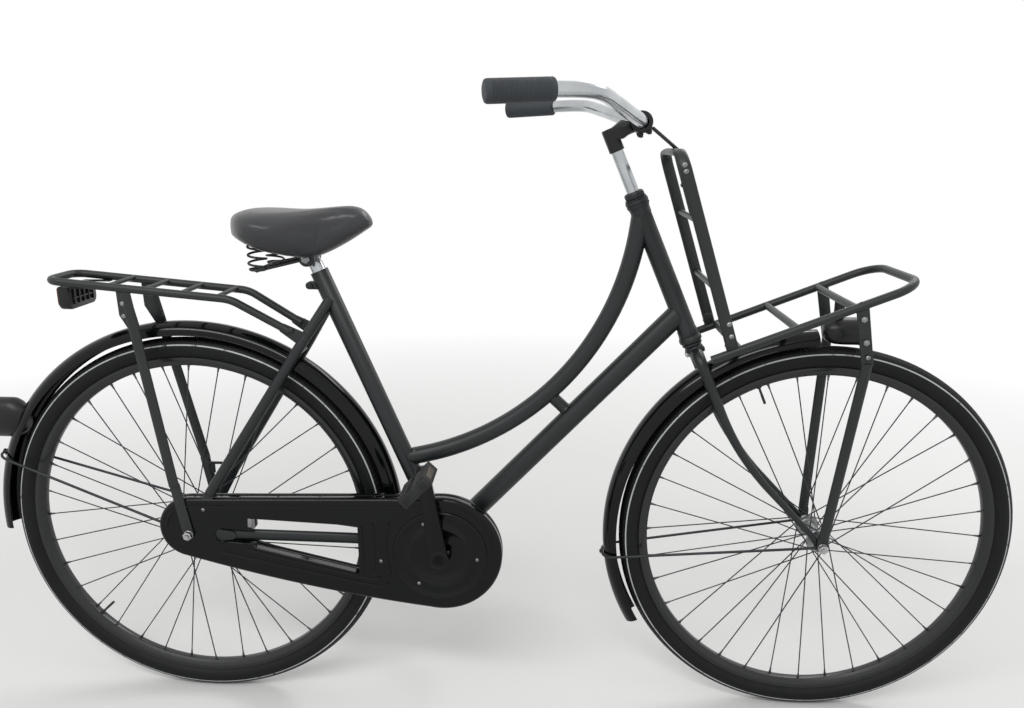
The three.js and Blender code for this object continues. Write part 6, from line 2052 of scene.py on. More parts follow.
    def tail_light(self) -> None:
        """The tail light on the mudguard: an oval housing with a red lens."""
        back = -math.sqrt((Mudguard.base + Mudguard.crown) ** 2 - (self.light_z - LAYOUT.hub_height) ** 2)
        stations = [(back + 14, 0.62), (back + 4, 0.86), (back - 5, 0.98), (back - 12, 1.0), (back - 38, 1.0),
                    (back - 43, 0.985), (back - 45.4, 0.95), (back - 46, 0.92)]
        shell = self.oval(stations)
        ribs = [self.oval([(back - at, 1.0), (back - at - 1.6, 1.0)]) for at in (30.0, 35.0)]
        finished("tail_light_shell", joined(shell, *ribs), self.body, BLACK_PLASTIC, ("tail_light_housing",))
        start = back - 46.3
        dome = ((0, 0.92), (3, 0.91), (6.5, 0.86), (9.6, 0.76), (11.4, 0.66), (12, 0.58))
        lens = self.oval([(start - depth, share) for depth, share in dome])
        finished("tail_light_glass", lens, self.body, RED_LENS, ("tail_light_lens",))

    def build(self) -> None:
        """Builds the rear carrier's pieces."""
        self.rails()
        for side in SIDES:
            self.leg(side)
        self.reflector()
        self.tail_light()


@dataclass
class FrontCarrier:
    """The front carrier: the sloping platform, the upright rack, both struts and the headlamp."""

    body: str = "steering"
    rail_radius: float = 7.0
    rail_y: float = 101.0
    rear: tuple[float, float] = (918.0, 707.0)
    front_x: float = 1243.0
    slope: float = 21.8
    bend: float = 46.0
    cross_radius: float = 6.4
    cross: tuple[float, ...] = (48.0, 145.0, 240.0)
    rack_foot_x: float = 950.0
    rack_top: tuple[float, float] = (851.0, 1037.0)
    rack_size: tuple[float, float] = (10.0, 5.0)
    rack_bend: float = 30.0
    rack_bars: tuple[float, ...] = (0.31, 0.66)
    strut_top: tuple[float, float] = (1168.0, 705.0)
    strut_plate_x: float = 1151.0
    strut_inner_y: float = 58.2
    strut_foot_z: float = 375.0
    strut_size: tuple[float, float] = (9.0, 5.0)
    rod_half: float = 10.0
    rod_angle: float = 24.0
    rod_start: float = 20.5
    lamp_x: float = 1125.0
    lamp_z: float = 737.0
    lamp_radius: float = 24.0
    lamp_length: float = 64.0

    def on_platform(self, along: float, y: float, up: float = 0.0) -> Vector:
        """A place on the platform, counted from its rear end.

        Args:
            along: millimetres from its rear end.
            y: millimetres to the left.
            up: millimetres above its middle.

        Returns:
            The place, in millimetres.
        """
        angle = math.radians(self.slope)
        x = self.rear[0] + along * math.cos(angle) - up * math.sin(angle)
        return Vector((x, y, self.rear[1] + along * math.sin(angle) + up * math.cos(angle)))

    def rail_height(self, x: float) -> float:
        """The height of the platform's rails at a place along the bicycle."""
        return self.rear[1] + (x - self.rear[0]) * math.tan(math.radians(self.slope))

    def platform(self) -> None:
        """The looped rail with its cross tubes."""
        length = (self.front_x - self.rear[0]) / math.cos(math.radians(self.slope))
        y = self.rail_y
        corners = [self.on_platform(0, -y), self.on_platform(length, -y), self.on_platform(length, y),
                   self.on_platform(0, y)]
        parts = [tube(bent_route(corners, self.bend, 14), self.rail_radius, 28)]
        for along in self.cross:
            parts.append(bar(self.on_platform(along, -y), self.on_platform(along, y), self.cross_radius, 24))
        for side in SIDES:
            end = self.on_platform(0, side * y)
            way = (self.on_platform(1, 0) - self.on_platform(0, 0)).normalized()
            parts.append(lathe([(0, -0.1), (5.6, 0), (7.0, 1.2), (7.1, 6), (0, 6)], end, way, 28))
        finished("front_platform_dressed", joined(*parts), self.body, CARRIER_PAINT, ("front_carrier_platform",))

    def rack_ends(self, side: int) -> tuple[Vector, Vector]:
        """The foot and the top of one upright of the rack.

        Args:
            side: RIGHT or LEFT.

        Returns:
            The two places.
        """
        foot_z = self.rail_height(self.rack_foot_x) + self.rail_radius + LAYOUT.gap
        y = side * self.rail_y
        return Vector((self.rack_foot_x, y, foot_z)), Vector((self.rack_top[0], y, self.rack_top[1]))

    def rack(self) -> None:
        """The upright rack with its cross bars, clip and bolts."""
        (foot, top), (left_foot, left_top) = (self.rack_ends(side) for side in SIDES)
        way = (top - foot).normalized()
        flat = way.cross(aside(LEFT))
        route = bent_route([foot, top, left_top, left_foot], self.rack_bend, 12)
        parts = [tube(route, self.rack_size, 28, flat)]
        for share in self.rack_bars:
            place = foot.lerp(top, share)
            y = self.rail_y
            parts.append(tube([Vector((place.x, -y, place.z)), Vector((place.x, y, place.z))], (5, 5), 20, flat))
        low_bar, high_bar = (foot.lerp(top, share) for share in (self.rack_bars[-1], 1.0))
        for y in (-62, -30):
            ends = [Vector((place.x, y, place.z)) for place in (low_bar, high_bar)]
            parts.append(bar(*ends, 2.6, 12))
            middle = ends[0].lerp(ends[1], 0.5)
            parts.append(bar(middle - Vector((0, 5, 0)), middle + Vector((0, 5, 0)), 4.5, 12))
        for side in SIDES:
            lug = self.rack_ends(side)[0] + way * 14
            parts.append(block(tuple(lug - Vector((8, 6, 12))), tuple(lug + Vector((8, 6, 6))), 2.5))
        finished("front_rack_dressed", joined(*parts), self.body, CARRIER_PAINT, ("front_carrier_rack",))
        bolts = []
        for side in SIDES:
            out = aside(side)
            for x, z in ((856.4, 1018.0), (859.2, 1008.5), (941.0, 768.0), (946.0, 748.0)):
                bolts.append(dome_screw(Vector((x, side * (self.rail_y + 4.6), z)), out, 4.4))
        finished("rack_bolts", joined(*bolts), self.body, STEEL)

    def top_rod(self) -> None:
        """The two thin rods from the rack's top to the middle of the bar."""
        angle = math.radians(self.rod_angle)
        way = Vector((math.cos(angle), 0, -math.sin(angle)))
        start = LAYOUT.on_head(Steering.bar_height, Steering.bar_forward) + way * self.rod_start
        end = Vector((self.rack_top[0] + 10, 0, self.rack_top[1] + 2.5))
        apart = self.rod_half
        corners = [start + aside(-apart), end + aside(-apart), end + aside(apart), start + aside(apart)]
        shape = tube(bent_route(corners, 5.0, 8), 2.2, 14)
        finished("top_rods_dressed", shape, self.body, DARK_STEEL, ("carrier_top_rod",))

    def strut(self, side: int) -> None:
        """One strut with its eye, its head plate and its bolts.

        Args:
            side: RIGHT or LEFT.
        """
        name = SIDES[side] + "_carrier_strut"
        inner = side * self.strut_inner_y
        x, foot_z = LAYOUT.wheelbase, self.strut_foot_z
        foot = plate(link_outline((x, LAYOUT.hub_height), (x, foot_z), 9.5, 9.5), inner, inner + side * 3, 0.6)
        start = Vector((x, inner + side * 4, foot_z))
        end = Vector((self.strut_top[0], side * self.rail_y, self.strut_top[1]))
        shaft = tube([start.lerp(end, share / 8) for share in range(9)], self.strut_size, 24, AHEAD)
        rail = self.rail_height(self.strut_plate_x)
        top = (self.strut_plate_x, rail - 3)
        head = plate(link_outline(self.strut_top, top, 9.6, 10.3), side * 99, side * 103, 0.9)
        finished(name + "_dressed", joined(foot, shaft, head), self.body, CARRIER_PAINT, (name,))
        out = aside(side)
        bolts = [hex_nut(Vector((x, side * 103, z)), out, 5.4, 4.4, 12) for x, z in ((1153.5, 779.0), (1161.0, 741.0))]
        bolts.append(dome_screw(Vector((1166.5, side * 105, 716)), out, 4.2))
        finished(SIDES[side] + "_strut_bolts", joined(*bolts), self.body, STEEL)

    def headlamp(self) -> None:
        """The headlamp: a round shell with a rim, a bright bowl, a bulb and a domed lens."""
        radius, length = self.lamp_radius, self.lamp_length
        place = Vector((self.lamp_x, 0, self.lamp_z))
        shell = [(0, 0.2), (8, 0.4), (12, 1.6), (16, 5), (20.2, 12.5), (22.6, 20), (radius - 0.4, 31),
                 (radius - 0.1, 40),
                 (radius - 0.1, 56), (radius, 57), (radius, length), (radius - 1.6, length), (radius - 2, 56),
                 (14, 40), (0, 36)]
        parts = [lathe(shell, place, AHEAD, 56)]
        top = self.rail_height(1150) - self.cross_radius - 0.4
        parts.append(block((1141.2, -1.5, self.lamp_z + 16), (1158.8, 1.5, top), 0.7))
        parts.append(hex_nut(Vector((1150, -1.5, self.lamp_z + 30)), aside(RIGHT), 4.6, 3.6))
        finished("headlamp_shell", joined(*parts), self.body, BLACK_PLASTIC, ("headlamp",), 30)
        bowl = lathe([(3.2, 38), (8, 40), (14, 45), (18.5, 52), (21.6, 62), (22.2, 63), (21.8, 63.6), (3.2, 38.6),
                      (3.2, 38)], place, AHEAD, 40)
        finished("headlamp_bowl", bowl, self.body, LAMP_BOWL, smooth=60)
        ring = [(radius - 1.6, length - 1), (radius, length - 1), (radius + 0.9, length - 0.4),
                (radius + 0.9, length + 2.4),
                (radius - 0.4, length + 2.9), (radius - 0.4, length + 0.2), (radius - 1.6, length - 1)]
        finished("headlamp_ring", lathe(ring, place, AHEAD, 56), self.body, CHROME)
        bulb = lathe([(0, 37), (3, 37.4), (3, 44), (4.2, 47), (4.4, 50), (3, 53.4), (0, 54.6)], place, AHEAD, 20)
        finished("headlamp_bulb", bulb, self.body, LAMP_LENS, smooth=60)
        start = length + LAYOUT.gap
        glass = [(0, start), (radius - 0.6, start), (radius - 0.1, start + 0.8), (radius - 0.1, start + 4.4),
                 (21.6, start + 8.4),
                 (17.4, start + 11.8), (11, start + 14), (5, start + 14.8), (0, start + 15)]
        finished("headlamp_glass", lathe(glass, place, AHEAD, 56), self.body, LAMP_LENS, ("headlamp_lens",), 45)

    def build(self) -> None:
        """Builds the front carrier's pieces."""
        self.platform()
        self.rack()
        self.top_rod()
        for side in SIDES:
            self.strut(side)
        self.headlamp()


# Drive


@dataclass
class Drive:
    """The closed chain case, the cranks and the pedals."""

    rear: tuple[float, float] = (2.0, 366.0)
    front: tuple[float, float] = (463.0, 325.0)
    rear_radius: float = 58.0
    front_radius: float = 110.0
    bow: float = 9.0
    outer_y: float = -66.0
    split_y: float = -52.0
    inner_y: float = -38.0
    edge: float = 7.0
    wall: float = 1.8
    window_x: tuple[float, float] = (118.0, 311.0)
    window_rear: tuple[float, float] = (330.0, 388.0)
    window_front: tuple[float, float] = (284.0, 379.0)
    slot_x: tuple[float, float] = (62.0, 334.0)
    slot_half: float = 14.0
    crank_length: float = 167.0
    crank_pitch: float = 99.0
    crank_y: float = 70.5
    crank_thickness: float = 14.0
    pedal_y: float = 131.5
    pedal_half_width: float = 40.0
    pedal_block: tuple[float, float, float] = (32.0, 19.0, 11.0)
    pedal_ribs: int = 9
    pedal_pitch: float = 46.0

    def belt(self, rear_radius: float, front_radius: float, bow: float) -> list[Place]:
        """The outline round the two ends of the case.

        Args:
            rear_radius: the radius of its rear end.
            front_radius: the radius of its front end.
            bow: how far its lower run sags.

        Returns:
            The outline's places, from the foot of the front end.
        """
        lean = math.atan2(self.front[1] - self.rear[1], self.front[0] - self.rear[0])
        apart = math.hypot(self.front[0] - self.rear[0], self.front[1] - self.rear[1])
        spread = math.asin((front_radius - rear_radius) / apart)
        top, foot = lean + spread + math.pi / 2, lean - spread - math.pi / 2
        front = arc_places(*self.front, front_radius, foot, top, 64)
        rear = arc_places(*self.rear, rear_radius, top, foot + 2 * math.pi, 40)
        low, high = rear[-1], front[0]
        run = []
        for step in range(1, 16):
            share = step / 16
            sag = bow * 4 * share * (1 - share)
            run.append((low[0] + (high[0] - low[0]) * share, low[1] + (high[1] - low[1]) * share - sag))
        return [*front, *rear, *run]

    def case_outline(self, inset: float) -> list[Place]:
        """The outline of the case, drawn in by an inset."""
        return self.belt(self.rear_radius - inset, self.front_radius - inset, self.bow)

    def window(self, ahead: bool) -> list[Place]:
        """The window between the chain's runs, with the slot for the chain stay.

        Args:
            ahead: whether the slot also goes past the front end of the window.

        Returns:
            The outline's places.
        """
        (x0, x1), (low0, high0), (low1, high1) = self.window_x, self.window_rear, self.window_front
        half, quarter = self.slot_half, math.pi / 2
        s0, s1 = self.slot_x[0], self.slot_x[1] if ahead else x1
        front = arc_places(s1, LAYOUT.stay_z(s1), half, quarter, -quarter, 12)
        rear = arc_places(s0, LAYOUT.stay_z(s0), half, -quarter, -3 * quarter, 12)

        def rim(x: float, way: int) -> Place:
            """A place on the upper rim of the slot, or on the lower one where the way is -1."""
            return x, LAYOUT.stay_z(x) + way * half

        run = [rim(x1, 1), *front, rim(x1, -1)] if ahead else []
        return [(x0, high0), (x1, high1), *run, (x1, low1), (x0, low0), rim(x0, -1), *rear, rim(x0, 1)]

    def shell(self, rings: list[tuple[float, float]], holes: list[Place], depth: float) -> bmesh.types.BMesh:
        """One half of the case: its face, its rounded edge and its rim, and the walls of its window.

        Args:
            rings: the inset and the place across of each step of the edge, from the face outward.
            holes: the outline of the window in the face.
            depth: where the walls of the window end across the bicycle.

        Returns:
            The sheet, without its thickness.
        """
        shape = bmesh.new()
        face_y = rings[0][1]
        chain = outline_ring(shape, self.case_outline(rings[0][0]), face_y)
        hole = outline_ring(shape, holes, face_y)
        bmesh.ops.triangle_fill(shape, use_beauty=True, edges=chain + hole)
        for inset, y in rings[1:]:
            following = outline_ring(shape, self.case_outline(inset), y)
            bmesh.ops.bridge_loops(shape, edges=chain + following)
            chain = following
        grown = bmesh.ops.extrude_edge_only(shape, edges=hole)["geom"]
        corners = [item for item in grown if isinstance(item, bmesh.types.BMVert)]
        bmesh.ops.translate(shape, vec=(0, depth - face_y, 0), verts=corners)
        bmesh.ops.recalc_face_normals(shape, faces=shape.faces)
        flat = [f for f in shape.faces if abs(f.normal.y) > 0.99 and abs(f.calc_center_median().y - face_y) < 0.1]
        if flat and flat[0].normal.y * (1 if face_y < depth else -1) > 0:
            bmesh.ops.reverse_faces(shape, faces=shape.faces)
        return shape

    def bead(self, places: list[Place], y: float, radius: float) -> bmesh.types.BMesh:
        """A pressed ridge on the outer face."""
        return tube([Vector((x, y, z)) for x, z in places], (radius, radius * 1.5), 10, aside(LEFT))

    def case(self) -> None:
        """Both halves of the case with their ridges, ribs, screws and rear clip."""
        edge, outer, split = self.edge, self.outer_y, self.split_y - LAYOUT.gap / 2
        steps = 6
        rings = []
        for step in range(steps + 1):
            angle = math.pi / 2 * step / steps
            rings.append((edge * (1 - math.sin(angle)), outer + edge * (1 - math.cos(angle))))
        rings.append((0.0, split))
        shell = finished("case_outer_shell", self.shell(rings, self.window(False), split), "frame", GLOSS_PAINT,
                         ("chaincase_outer",), 45)
        self.thicken(shell)
        inner = self.inner_y
        back = [(2.0, inner), (0.6, inner - 0.6), (0.0, inner - 2), (0.0, self.split_y + LAYOUT.gap / 2)]
        inside = finished("case_inner_shell", self.shell(back, self.window(True), self.split_y), "frame", GLOSS_PAINT,
                          ("chaincase_inner",), 45)
        self.thicken(inside)
        finished("case_ridges", self.ridges(), "frame", GLOSS_PAINT)
        screws = [dome_screw(Vector((x, outer - 0.1, z)), aside(RIGHT), 3.6)
                  for x, z in ((399.6, 274.2), (351.8, 310.6), (30.0, 404.0))]
        clip = plate([(110, 372), (117.6, 371), (118.6, 388), (111, 389)], outer - 1.2, outer + 2, 0.6)
        finished("case_screws", joined(*screws, clip), "frame", STEEL)

    def thicken(self, piece: bpy.types.Object) -> None:
        """Gives a sheet its wall, inward.

        Args:
            piece: the piece's object.
        """
        wall = piece.modifiers.new("wall", "SOLIDIFY")
        wall.thickness = self.wall * MM
        wall.offset = -1

    def ridges(self) -> bmesh.types.BMesh:
        """The ridges pressed into the outer face.

        Returns:
            The shape, in millimetres.
        """
        y = self.outer_y + 0.2
        belt = self.belt(43.0, 93.0, 0.0)
        top = belt[34:86]
        courses = (
            (top, 1.9),
            ([(104, 327), (200, 303.5), (300, 281), (336, 274), (343, 274.5), (347, 279)], 1.8),
            ([(58, 320), (205, 288), (318, 264.5), (350, 259), (358, 260.5), (363, 267)], 1.8),
            ([(318, 288), (318, 378)], 1.7),
            ([(339, 292), (339, 384)], 1.7),
            ([(369, 283), (361, 318), (361, 350), (369, 386)], 1.7),
        )
        return joined(*(self.bead(places, y, radius) for places, radius in courses))

    def cover(self) -> None:
        """The round cover over the crank with its two raised rings and screws."""
        start, out = 0.3, 2.6
        profile = [(15, start), (15, out - 1.2), (17, out - 0.6), (30, out - 0.6), (50, out), (51.6, out + 1.3),
                   (53, out + 1.5),
                   (54.4, out + 1.3), (56, out), (79.6, out), (81.4, out + 1.2), (83.6, out + 1), (85.4, out - 0.8),
                   (86, start), (15, start)]
        place = Vector((LAYOUT.crank_x, self.outer_y, LAYOUT.crank_z))
        finished("case_cover_dressed", lathe(profile, place, aside(RIGHT), 96), "frame", GLOSS_PAINT,
                 ("chaincase_cover",), 45)
        screws = [dome_screw(place + Vector((68 * math.cos(a), -2.5, 68 * math.sin(a))), aside(RIGHT), 3.4)
                  for a in (math.radians(d) for d in (235, 355, 115))]
        finished("cover_screws", joined(*screws), "frame", STEEL)

    def pedal_place(self, side: int) -> Vector:
        """The middle of a pedal's axle where it leaves its crank.

        Args:
            side: RIGHT or LEFT.

        Returns:
            The place, in millimetres.
        """
        angle = math.radians(self.crank_pitch)
        way = 1 if side == RIGHT else -1
        reach = self.crank_length * way
        return LAYOUT.crank + Vector((reach * math.cos(angle), 0, reach * math.sin(angle)))

    def crank(self, side: int) -> None:
        """One crank arm with its pinch bolt and the pedal's axle.

        Args:
            side: RIGHT or LEFT.
        """
        tip = self.pedal_place(side)
        start, end = side * self.crank_y, side * (self.crank_y + self.crank_thickness)
        outline = link_outline((LAYOUT.crank_x, LAYOUT.crank_z), (tip.x, tip.z), 17, 12)
        arm = plate(outline, start, end, 3.2)
        eye = lathe([(0, 0), (17, 0), (17.6, 1), (17.6, 13.4), (16, 14.4), (9.6, 14.4), (9.2, 13.2), (0, 13.2)],
                    Vector((LAYOUT.crank_x, start, LAYOUT.crank_z)), aside(side), 40)
        across = Vector((math.cos(math.radians(self.crank_pitch)), 0, math.sin(math.radians(self.crank_pitch))))
        square = Vector((across.z, 0, -across.x))
        pin = LAYOUT.crank + Vector((0, start + side * 7, 0)) + across * 10
        cotter = hex_nut(pin + square * 15.5, square, 4.6, 5, 0)
        axle = bar(Vector((tip.x, start + side * 6, tip.z)), Vector((tip.x, end + side * 10, tip.z)), 6.4, 20)
        spindle = bar(Vector((tip.x, end, tip.z)), Vector((tip.x, side * (self.pedal_y + 36), tip.z)), 4.6, 16)
        name = SIDES[side] + "_crank"
        finished(name + "_dressed", joined(arm, eye, cotter), "crank", GLOSS_PAINT, (name,))
        finished(SIDES[side] + "_pedal_spindle", joined(axle, spindle), "crank", STEEL)

    def pedal(self, side: int) -> None:
        """One pedal: ribbed rubber blocks, end plates, a barrel with its cap, and reflectors.

        Args:
            side: RIGHT or LEFT.
        """
        half, (long, deep, high) = self.pedal_half_width, self.pedal_block
        rubber = []
        for way in (-1, 1):
            low, top = sorted((way * (long - deep), way * long))
            rubber.append(block((low + 2, -half + 4, -high + 2.4), (top - 2, half - 4, high - 2.4), 1.6))
            pitch = (2 * half - 10) / self.pedal_ribs
            for step in range(self.pedal_ribs):
                y = -half + 5 + pitch * (step + 0.5)
                rubber.append(block((low, y - pitch * 0.33, -high), (top, y + pitch * 0.33, high), 1.1))
        barrel = lathe([(0, -half + 1), (8.2, -half + 1), (9, -half + 3), (9, half - 3), (7.6, half - 0.4),
                        (0, half - 0.2)], steps=28)
        ends = [block((-29, y, -8.4), (29, y + 3, 8.4), 1.4) for y in (-half + 1, half - 4)]
        out = side * half
        boss = lathe([(0, -1), (9.6, -1), (9.6, 1.2), (8.4, 2.4), (3, 2.8), (0, 2.8)],
                     Vector((0, out - side * 2.8, 0)), aside(side), 28)
        fins = [block((x - 0.8, min(out, out - side * 2), -6.6), (x + 0.8, max(out, out - side * 2), 6.6), 0.3)
                for x in (-25, -21.5, -18, -14.5, 14.5, 18, 21.5, 25)]
        ends += [boss, *fins]
        turn = Matrix.Rotation(math.radians(-self.pedal_pitch), 4, "Y")
        place = self.pedal_place(side) + Vector((0, side * self.pedal_y, 0))
        matrix = Matrix.Translation(place) @ turn
        body = SIDES[side] + "_pedal_body"
        name = SIDES[side] + "_pedal"
        finished(name + "_dressed", moved(joined(*rubber, barrel, *ends), matrix), body, PEDAL_RUBBER, (name,))
        faces = [block((way * (long - 1.2) - 1, -20, -5.4), (way * (long - 1.2) + 1.1, 20, 5.4), 0.7) for way in (-1,
                                                                                                                  1)]
        finished(name + "_reflectors", moved(joined(*faces), matrix), body, AMBER_LENS)

    def build(self) -> None:
        """Builds the drive's pieces."""
        self.case()
        self.cover()
        for side in SIDES:
            self.crank(side)
            self.pedal(side)
        repaint(DARK_STEEL, "chain", "chainring", "rear_sprocket")
        repaint(STEEL, "crank_axle")


# Saddle


@dataclass
class Saddle:
    """The sprung saddle: cushion, under-frame, springs and post."""

    body: str = "saddle"
    rear: float = 104.0
    length: float = 243.0
    half_width: float = 98.0
    top: float = 945.0
    depth: float = 87.0
    clamp_z: float = 856.0
    clamp_setback: float = 5.0
    spring_x: float = 156.0
    spring_y: float = 46.0
    spring_foot: float = 845.0
    spring_radius: float = 15.0
    wire: float = 2.0
    curls: int = 3
    pitch: float = 14.0
    shrink: float = 1.2
    voxel: float = 0.0045
    pressure: float = 3.0
    frames: int = 16
    give: float = 0.0016
    post_foot: float = 350.0
    post_radius: float = 12.7
    post_neck: float = 11.1
    # Shares of the length, the half width and the depth: the place from the rear to the nose, the width,
    # the top of the side, the height of the crown and the foot of the skirt
    sections: tuple[tuple[float, float, float, float, float], ...] = (
        (0.0, 0.22, 0.72, 0.78, 0.4), (0.016, 0.33, 0.77, 0.84, 0.37), (0.05, 0.51, 0.8, 0.885, 0.36),
        (0.1, 0.73, 0.83, 0.92, 0.33), (0.18, 0.92, 0.83, 0.937, 0.26), (0.28, 1.0, 0.816, 0.93, 0.167),
        (0.395, 0.92, 0.8, 0.914, 0.09), (0.51, 0.7, 0.816, 0.914, 0.02), (0.61, 0.5, 0.84, 0.937, 0.02),
        (0.724, 0.38, 0.874, 0.97, 0.17), (0.84, 0.32, 0.897, 1.0, 0.356), (0.922, 0.275, 0.874, 0.983, 0.494),
        (0.971, 0.2, 0.76, 0.85, 0.575), (1.0, 0.1, 0.66, 0.7, 0.61),
    )

    def section(self, shares: tuple[float, ...]) -> list[Vector]:
        """Places round one cross-section of the cushion, over its crown and under its skirt.

        Args:
            shares: the place along the cushion and its shares of the sizes.

        Returns:
            The places, in their order round the section.
        """
        place, width, shoulder, crown, skirt = shares
        base = self.top - self.depth
        half = [
            (0, crown), (0.4, crown - (crown - shoulder) * 0.12), (0.75, crown - (crown - shoulder) * 0.45),
            (0.96, shoulder - (shoulder - skirt) * 0.12), (1, shoulder - (shoulder - skirt) * 0.4),
            (0.93, skirt + (shoulder - skirt) * 0.2), (0.8, skirt), (0, skirt),
        ]
        x = self.rear + self.length * place

        def at(side: int, across: float, height: float) -> Vector:
            """One place of the section."""
            return Vector((x, side * across * width * (self.half_width - self.shrink),
                           base + height * self.depth - self.shrink * 0.5))

        right = [at(RIGHT, *share) for share in half]
        left = [at(LEFT, *share) for share in reversed(half[1:-1])]
        return [*right, *left]

    def cushion_form(self) -> bmesh.types.BMesh:
        """The cushion's closed form: its cross-sections, bridged from the rear to the nose.

        Returns:
            The shape, in millimetres.
        """
        shape = bmesh.new()
        before: list[bmesh.types.BMEdge] = []
        for shares in self.sections:
            corners = [shape.verts.new(place) for place in self.section(shares)]
            ring = [shape.edges.new(pair) for pair in zip(corners, corners[1:] + corners[:1])]
            if before:
                bmesh.ops.bridge_loops(shape, edges=before + ring)
            else:
                bmesh.ops.edgeloop_fill(shape, edges=ring)
            before = ring
        bmesh.ops.edgeloop_fill(shape, edges=before)
        bmesh.ops.recalc_face_normals(shape, faces=shape.faces)
        return shape

    def cushion(self) -> None:
        """The padded cushion: its form is smoothed, filled like a pillow and then held back to a firm pad."""
        piece = finished("saddle_pad", self.cushion_form(), self.body, SADDLE_VINYL, ("saddle_cushion",), 180)
        round_off = piece.modifiers.new("round", "SUBSURF")
        round_off.levels = round_off.render_levels = 2
        self.apply(piece)
        self.fill(piece)
        fine = piece.modifiers.new("fine", "SUBSURF")
        fine.levels = fine.render_levels = 1
        self.apply(piece)

    def apply(self, piece: bpy.types.Object) -> None:
        """Puts a piece's modifiers into its mesh.

        Args:
            piece: the piece's object.
        """
        graph = bpy.context.evaluated_depsgraph_get()
        graph.update()
        shaped = bpy.data.meshes.new_from_object(piece.evaluated_get(graph), depsgraph=graph)
        before = piece.data
        piece.modifiers.clear()
        piece.data = shaped
        bpy.data.meshes.remove(before)
        piece.data.shade_smooth()

    def fill(self, piece: bpy.types.Object) -> None:
        """Fills the cushion by a short cloth simulation whose movement is capped.

        Args:
            piece: the cushion's object.
        """
        remesh = piece.modifiers.new("even", "REMESH")
        remesh.mode = "VOXEL"
        remesh.voxel_size = self.voxel
        self.apply(piece)
        start = [vertex.co.copy() for vertex in piece.data.vertices]
        cloth = piece.modifiers.new("fill", "CLOTH")
        cloth.settings.use_pressure = True
        cloth.settings.uniform_pressure_force = self.pressure
        cloth.settings.effector_weights.gravity = 0
        cloth.point_cache.frame_start = 1
        cloth.point_cache.frame_end = self.frames
        for step in range(1, self.frames + 1):
            bpy.context.scene.frame_set(step)
        self.apply(piece)
        bpy.context.scene.frame_set(1)
        for vertex, home in zip(piece.data.vertices, start):
            away = vertex.co - home
            if away.length > self.give:
                vertex.co = home + away.normalized() * self.give
        piece.data.update()

    def rails(self) -> None:
        """The under-frame: both rails, the clamp with its bolt, the rear bar and the spring cups."""
        rise = self.clamp_z - LAYOUT.crank_z
        clamp_x = LAYOUT.crank_x - rise / math.tan(math.radians(LAYOUT.seat_angle)) - self.clamp_setback
        seat = self.spring_foot - 3.5 - self.wire - LAYOUT.gap
        parts = []
        for side in SIDES:
            corners = [
                Vector((self.rear + self.length * 0.89, side * 12.75, 902)),
                Vector((clamp_x, side * 17, self.clamp_z)),
                Vector((self.spring_x, side * self.spring_y, seat)),
            ]
            parts.append(tube(bent_route(corners, 15.0, 8), 3.5, 14))
            cup = Vector((self.spring_x, side * self.spring_y, seat - 1))
            parts.append(lathe([(0, 0), (13, 0), (15, 1.4), (15, 4.2), (13.6, 4.4), (13, 2.4), (0, 2.2)], cup, UP, 28))
        reach = self.spring_y + self.spring_radius / 2
        parts.append(bar(Vector((self.spring_x, -reach, seat)), Vector((self.spring_x, reach, seat)), 3.5, 14, 0.6))
        middle = Vector((clamp_x, 0, self.clamp_z))
        clamp = [(0, -24), (12.4, -24), (14, -22.6), (14, -13), (12.4, -12.4), (12.4, -11), (14, -10.4), (14, 10.4),
                 (12.4, 11), (12.4, 12.4), (14, 13), (14, 22.6), (12.4, 24), (0, 24)]
        parts.append(lathe(clamp, middle, steps=36))
        finished("saddle_frame_dressed", joined(*parts), self.body, DARK_STEEL, ("saddle_frame",))
        nuts = [hex_nut(middle + Vector((0, side * 24, 0)), aside(side), 8, 6, 11) for side in SIDES]
        finished("saddle_clamp_nuts", joined(*nuts), self.body, STEEL)

    def spring(self, side: int) -> None:
        """One coil spring of the saddle.

        Args:
            side: RIGHT or LEFT.
        """
        centre = Vector((self.spring_x, side * self.spring_y, self.spring_foot))
        route = helix_route(centre, self.spring_radius, self.pitch, self.curls, 28, side)
        name = SIDES[side] + "_saddle_spring"
        finished(name + "_dressed", tube(route, self.wire, 12), self.body, DARK_STEEL, (name,), 60)

    def post(self) -> None:
        """The bright seat post with its rounded top."""
        reach = (self.clamp_z - LAYOUT.crank_z) / math.sin(math.radians(LAYOUT.seat_angle))
        along = (LAYOUT.on_seat_tube(1) - LAYOUT.on_seat_tube(0)).normalized()
        foot, radius, neck = self.post_foot, self.post_radius, self.post_neck
        profile = [
            (0, foot), (radius, foot), (radius, reach - 12), (neck, reach - 8), (neck, reach - 0.6), (10.4, reach),
            (0, reach),
        ]
        finished("seat_post_dressed", lathe(profile, LAYOUT.crank, along, 36), self.body, CHROME, ("seat_post",))

    def build(self) -> None:
        """Builds the saddle's pieces."""
        self.cushion()
        self.rails()
        for side in SIDES:
            self.spring(side)
        self.post()


# Camera, light and floor


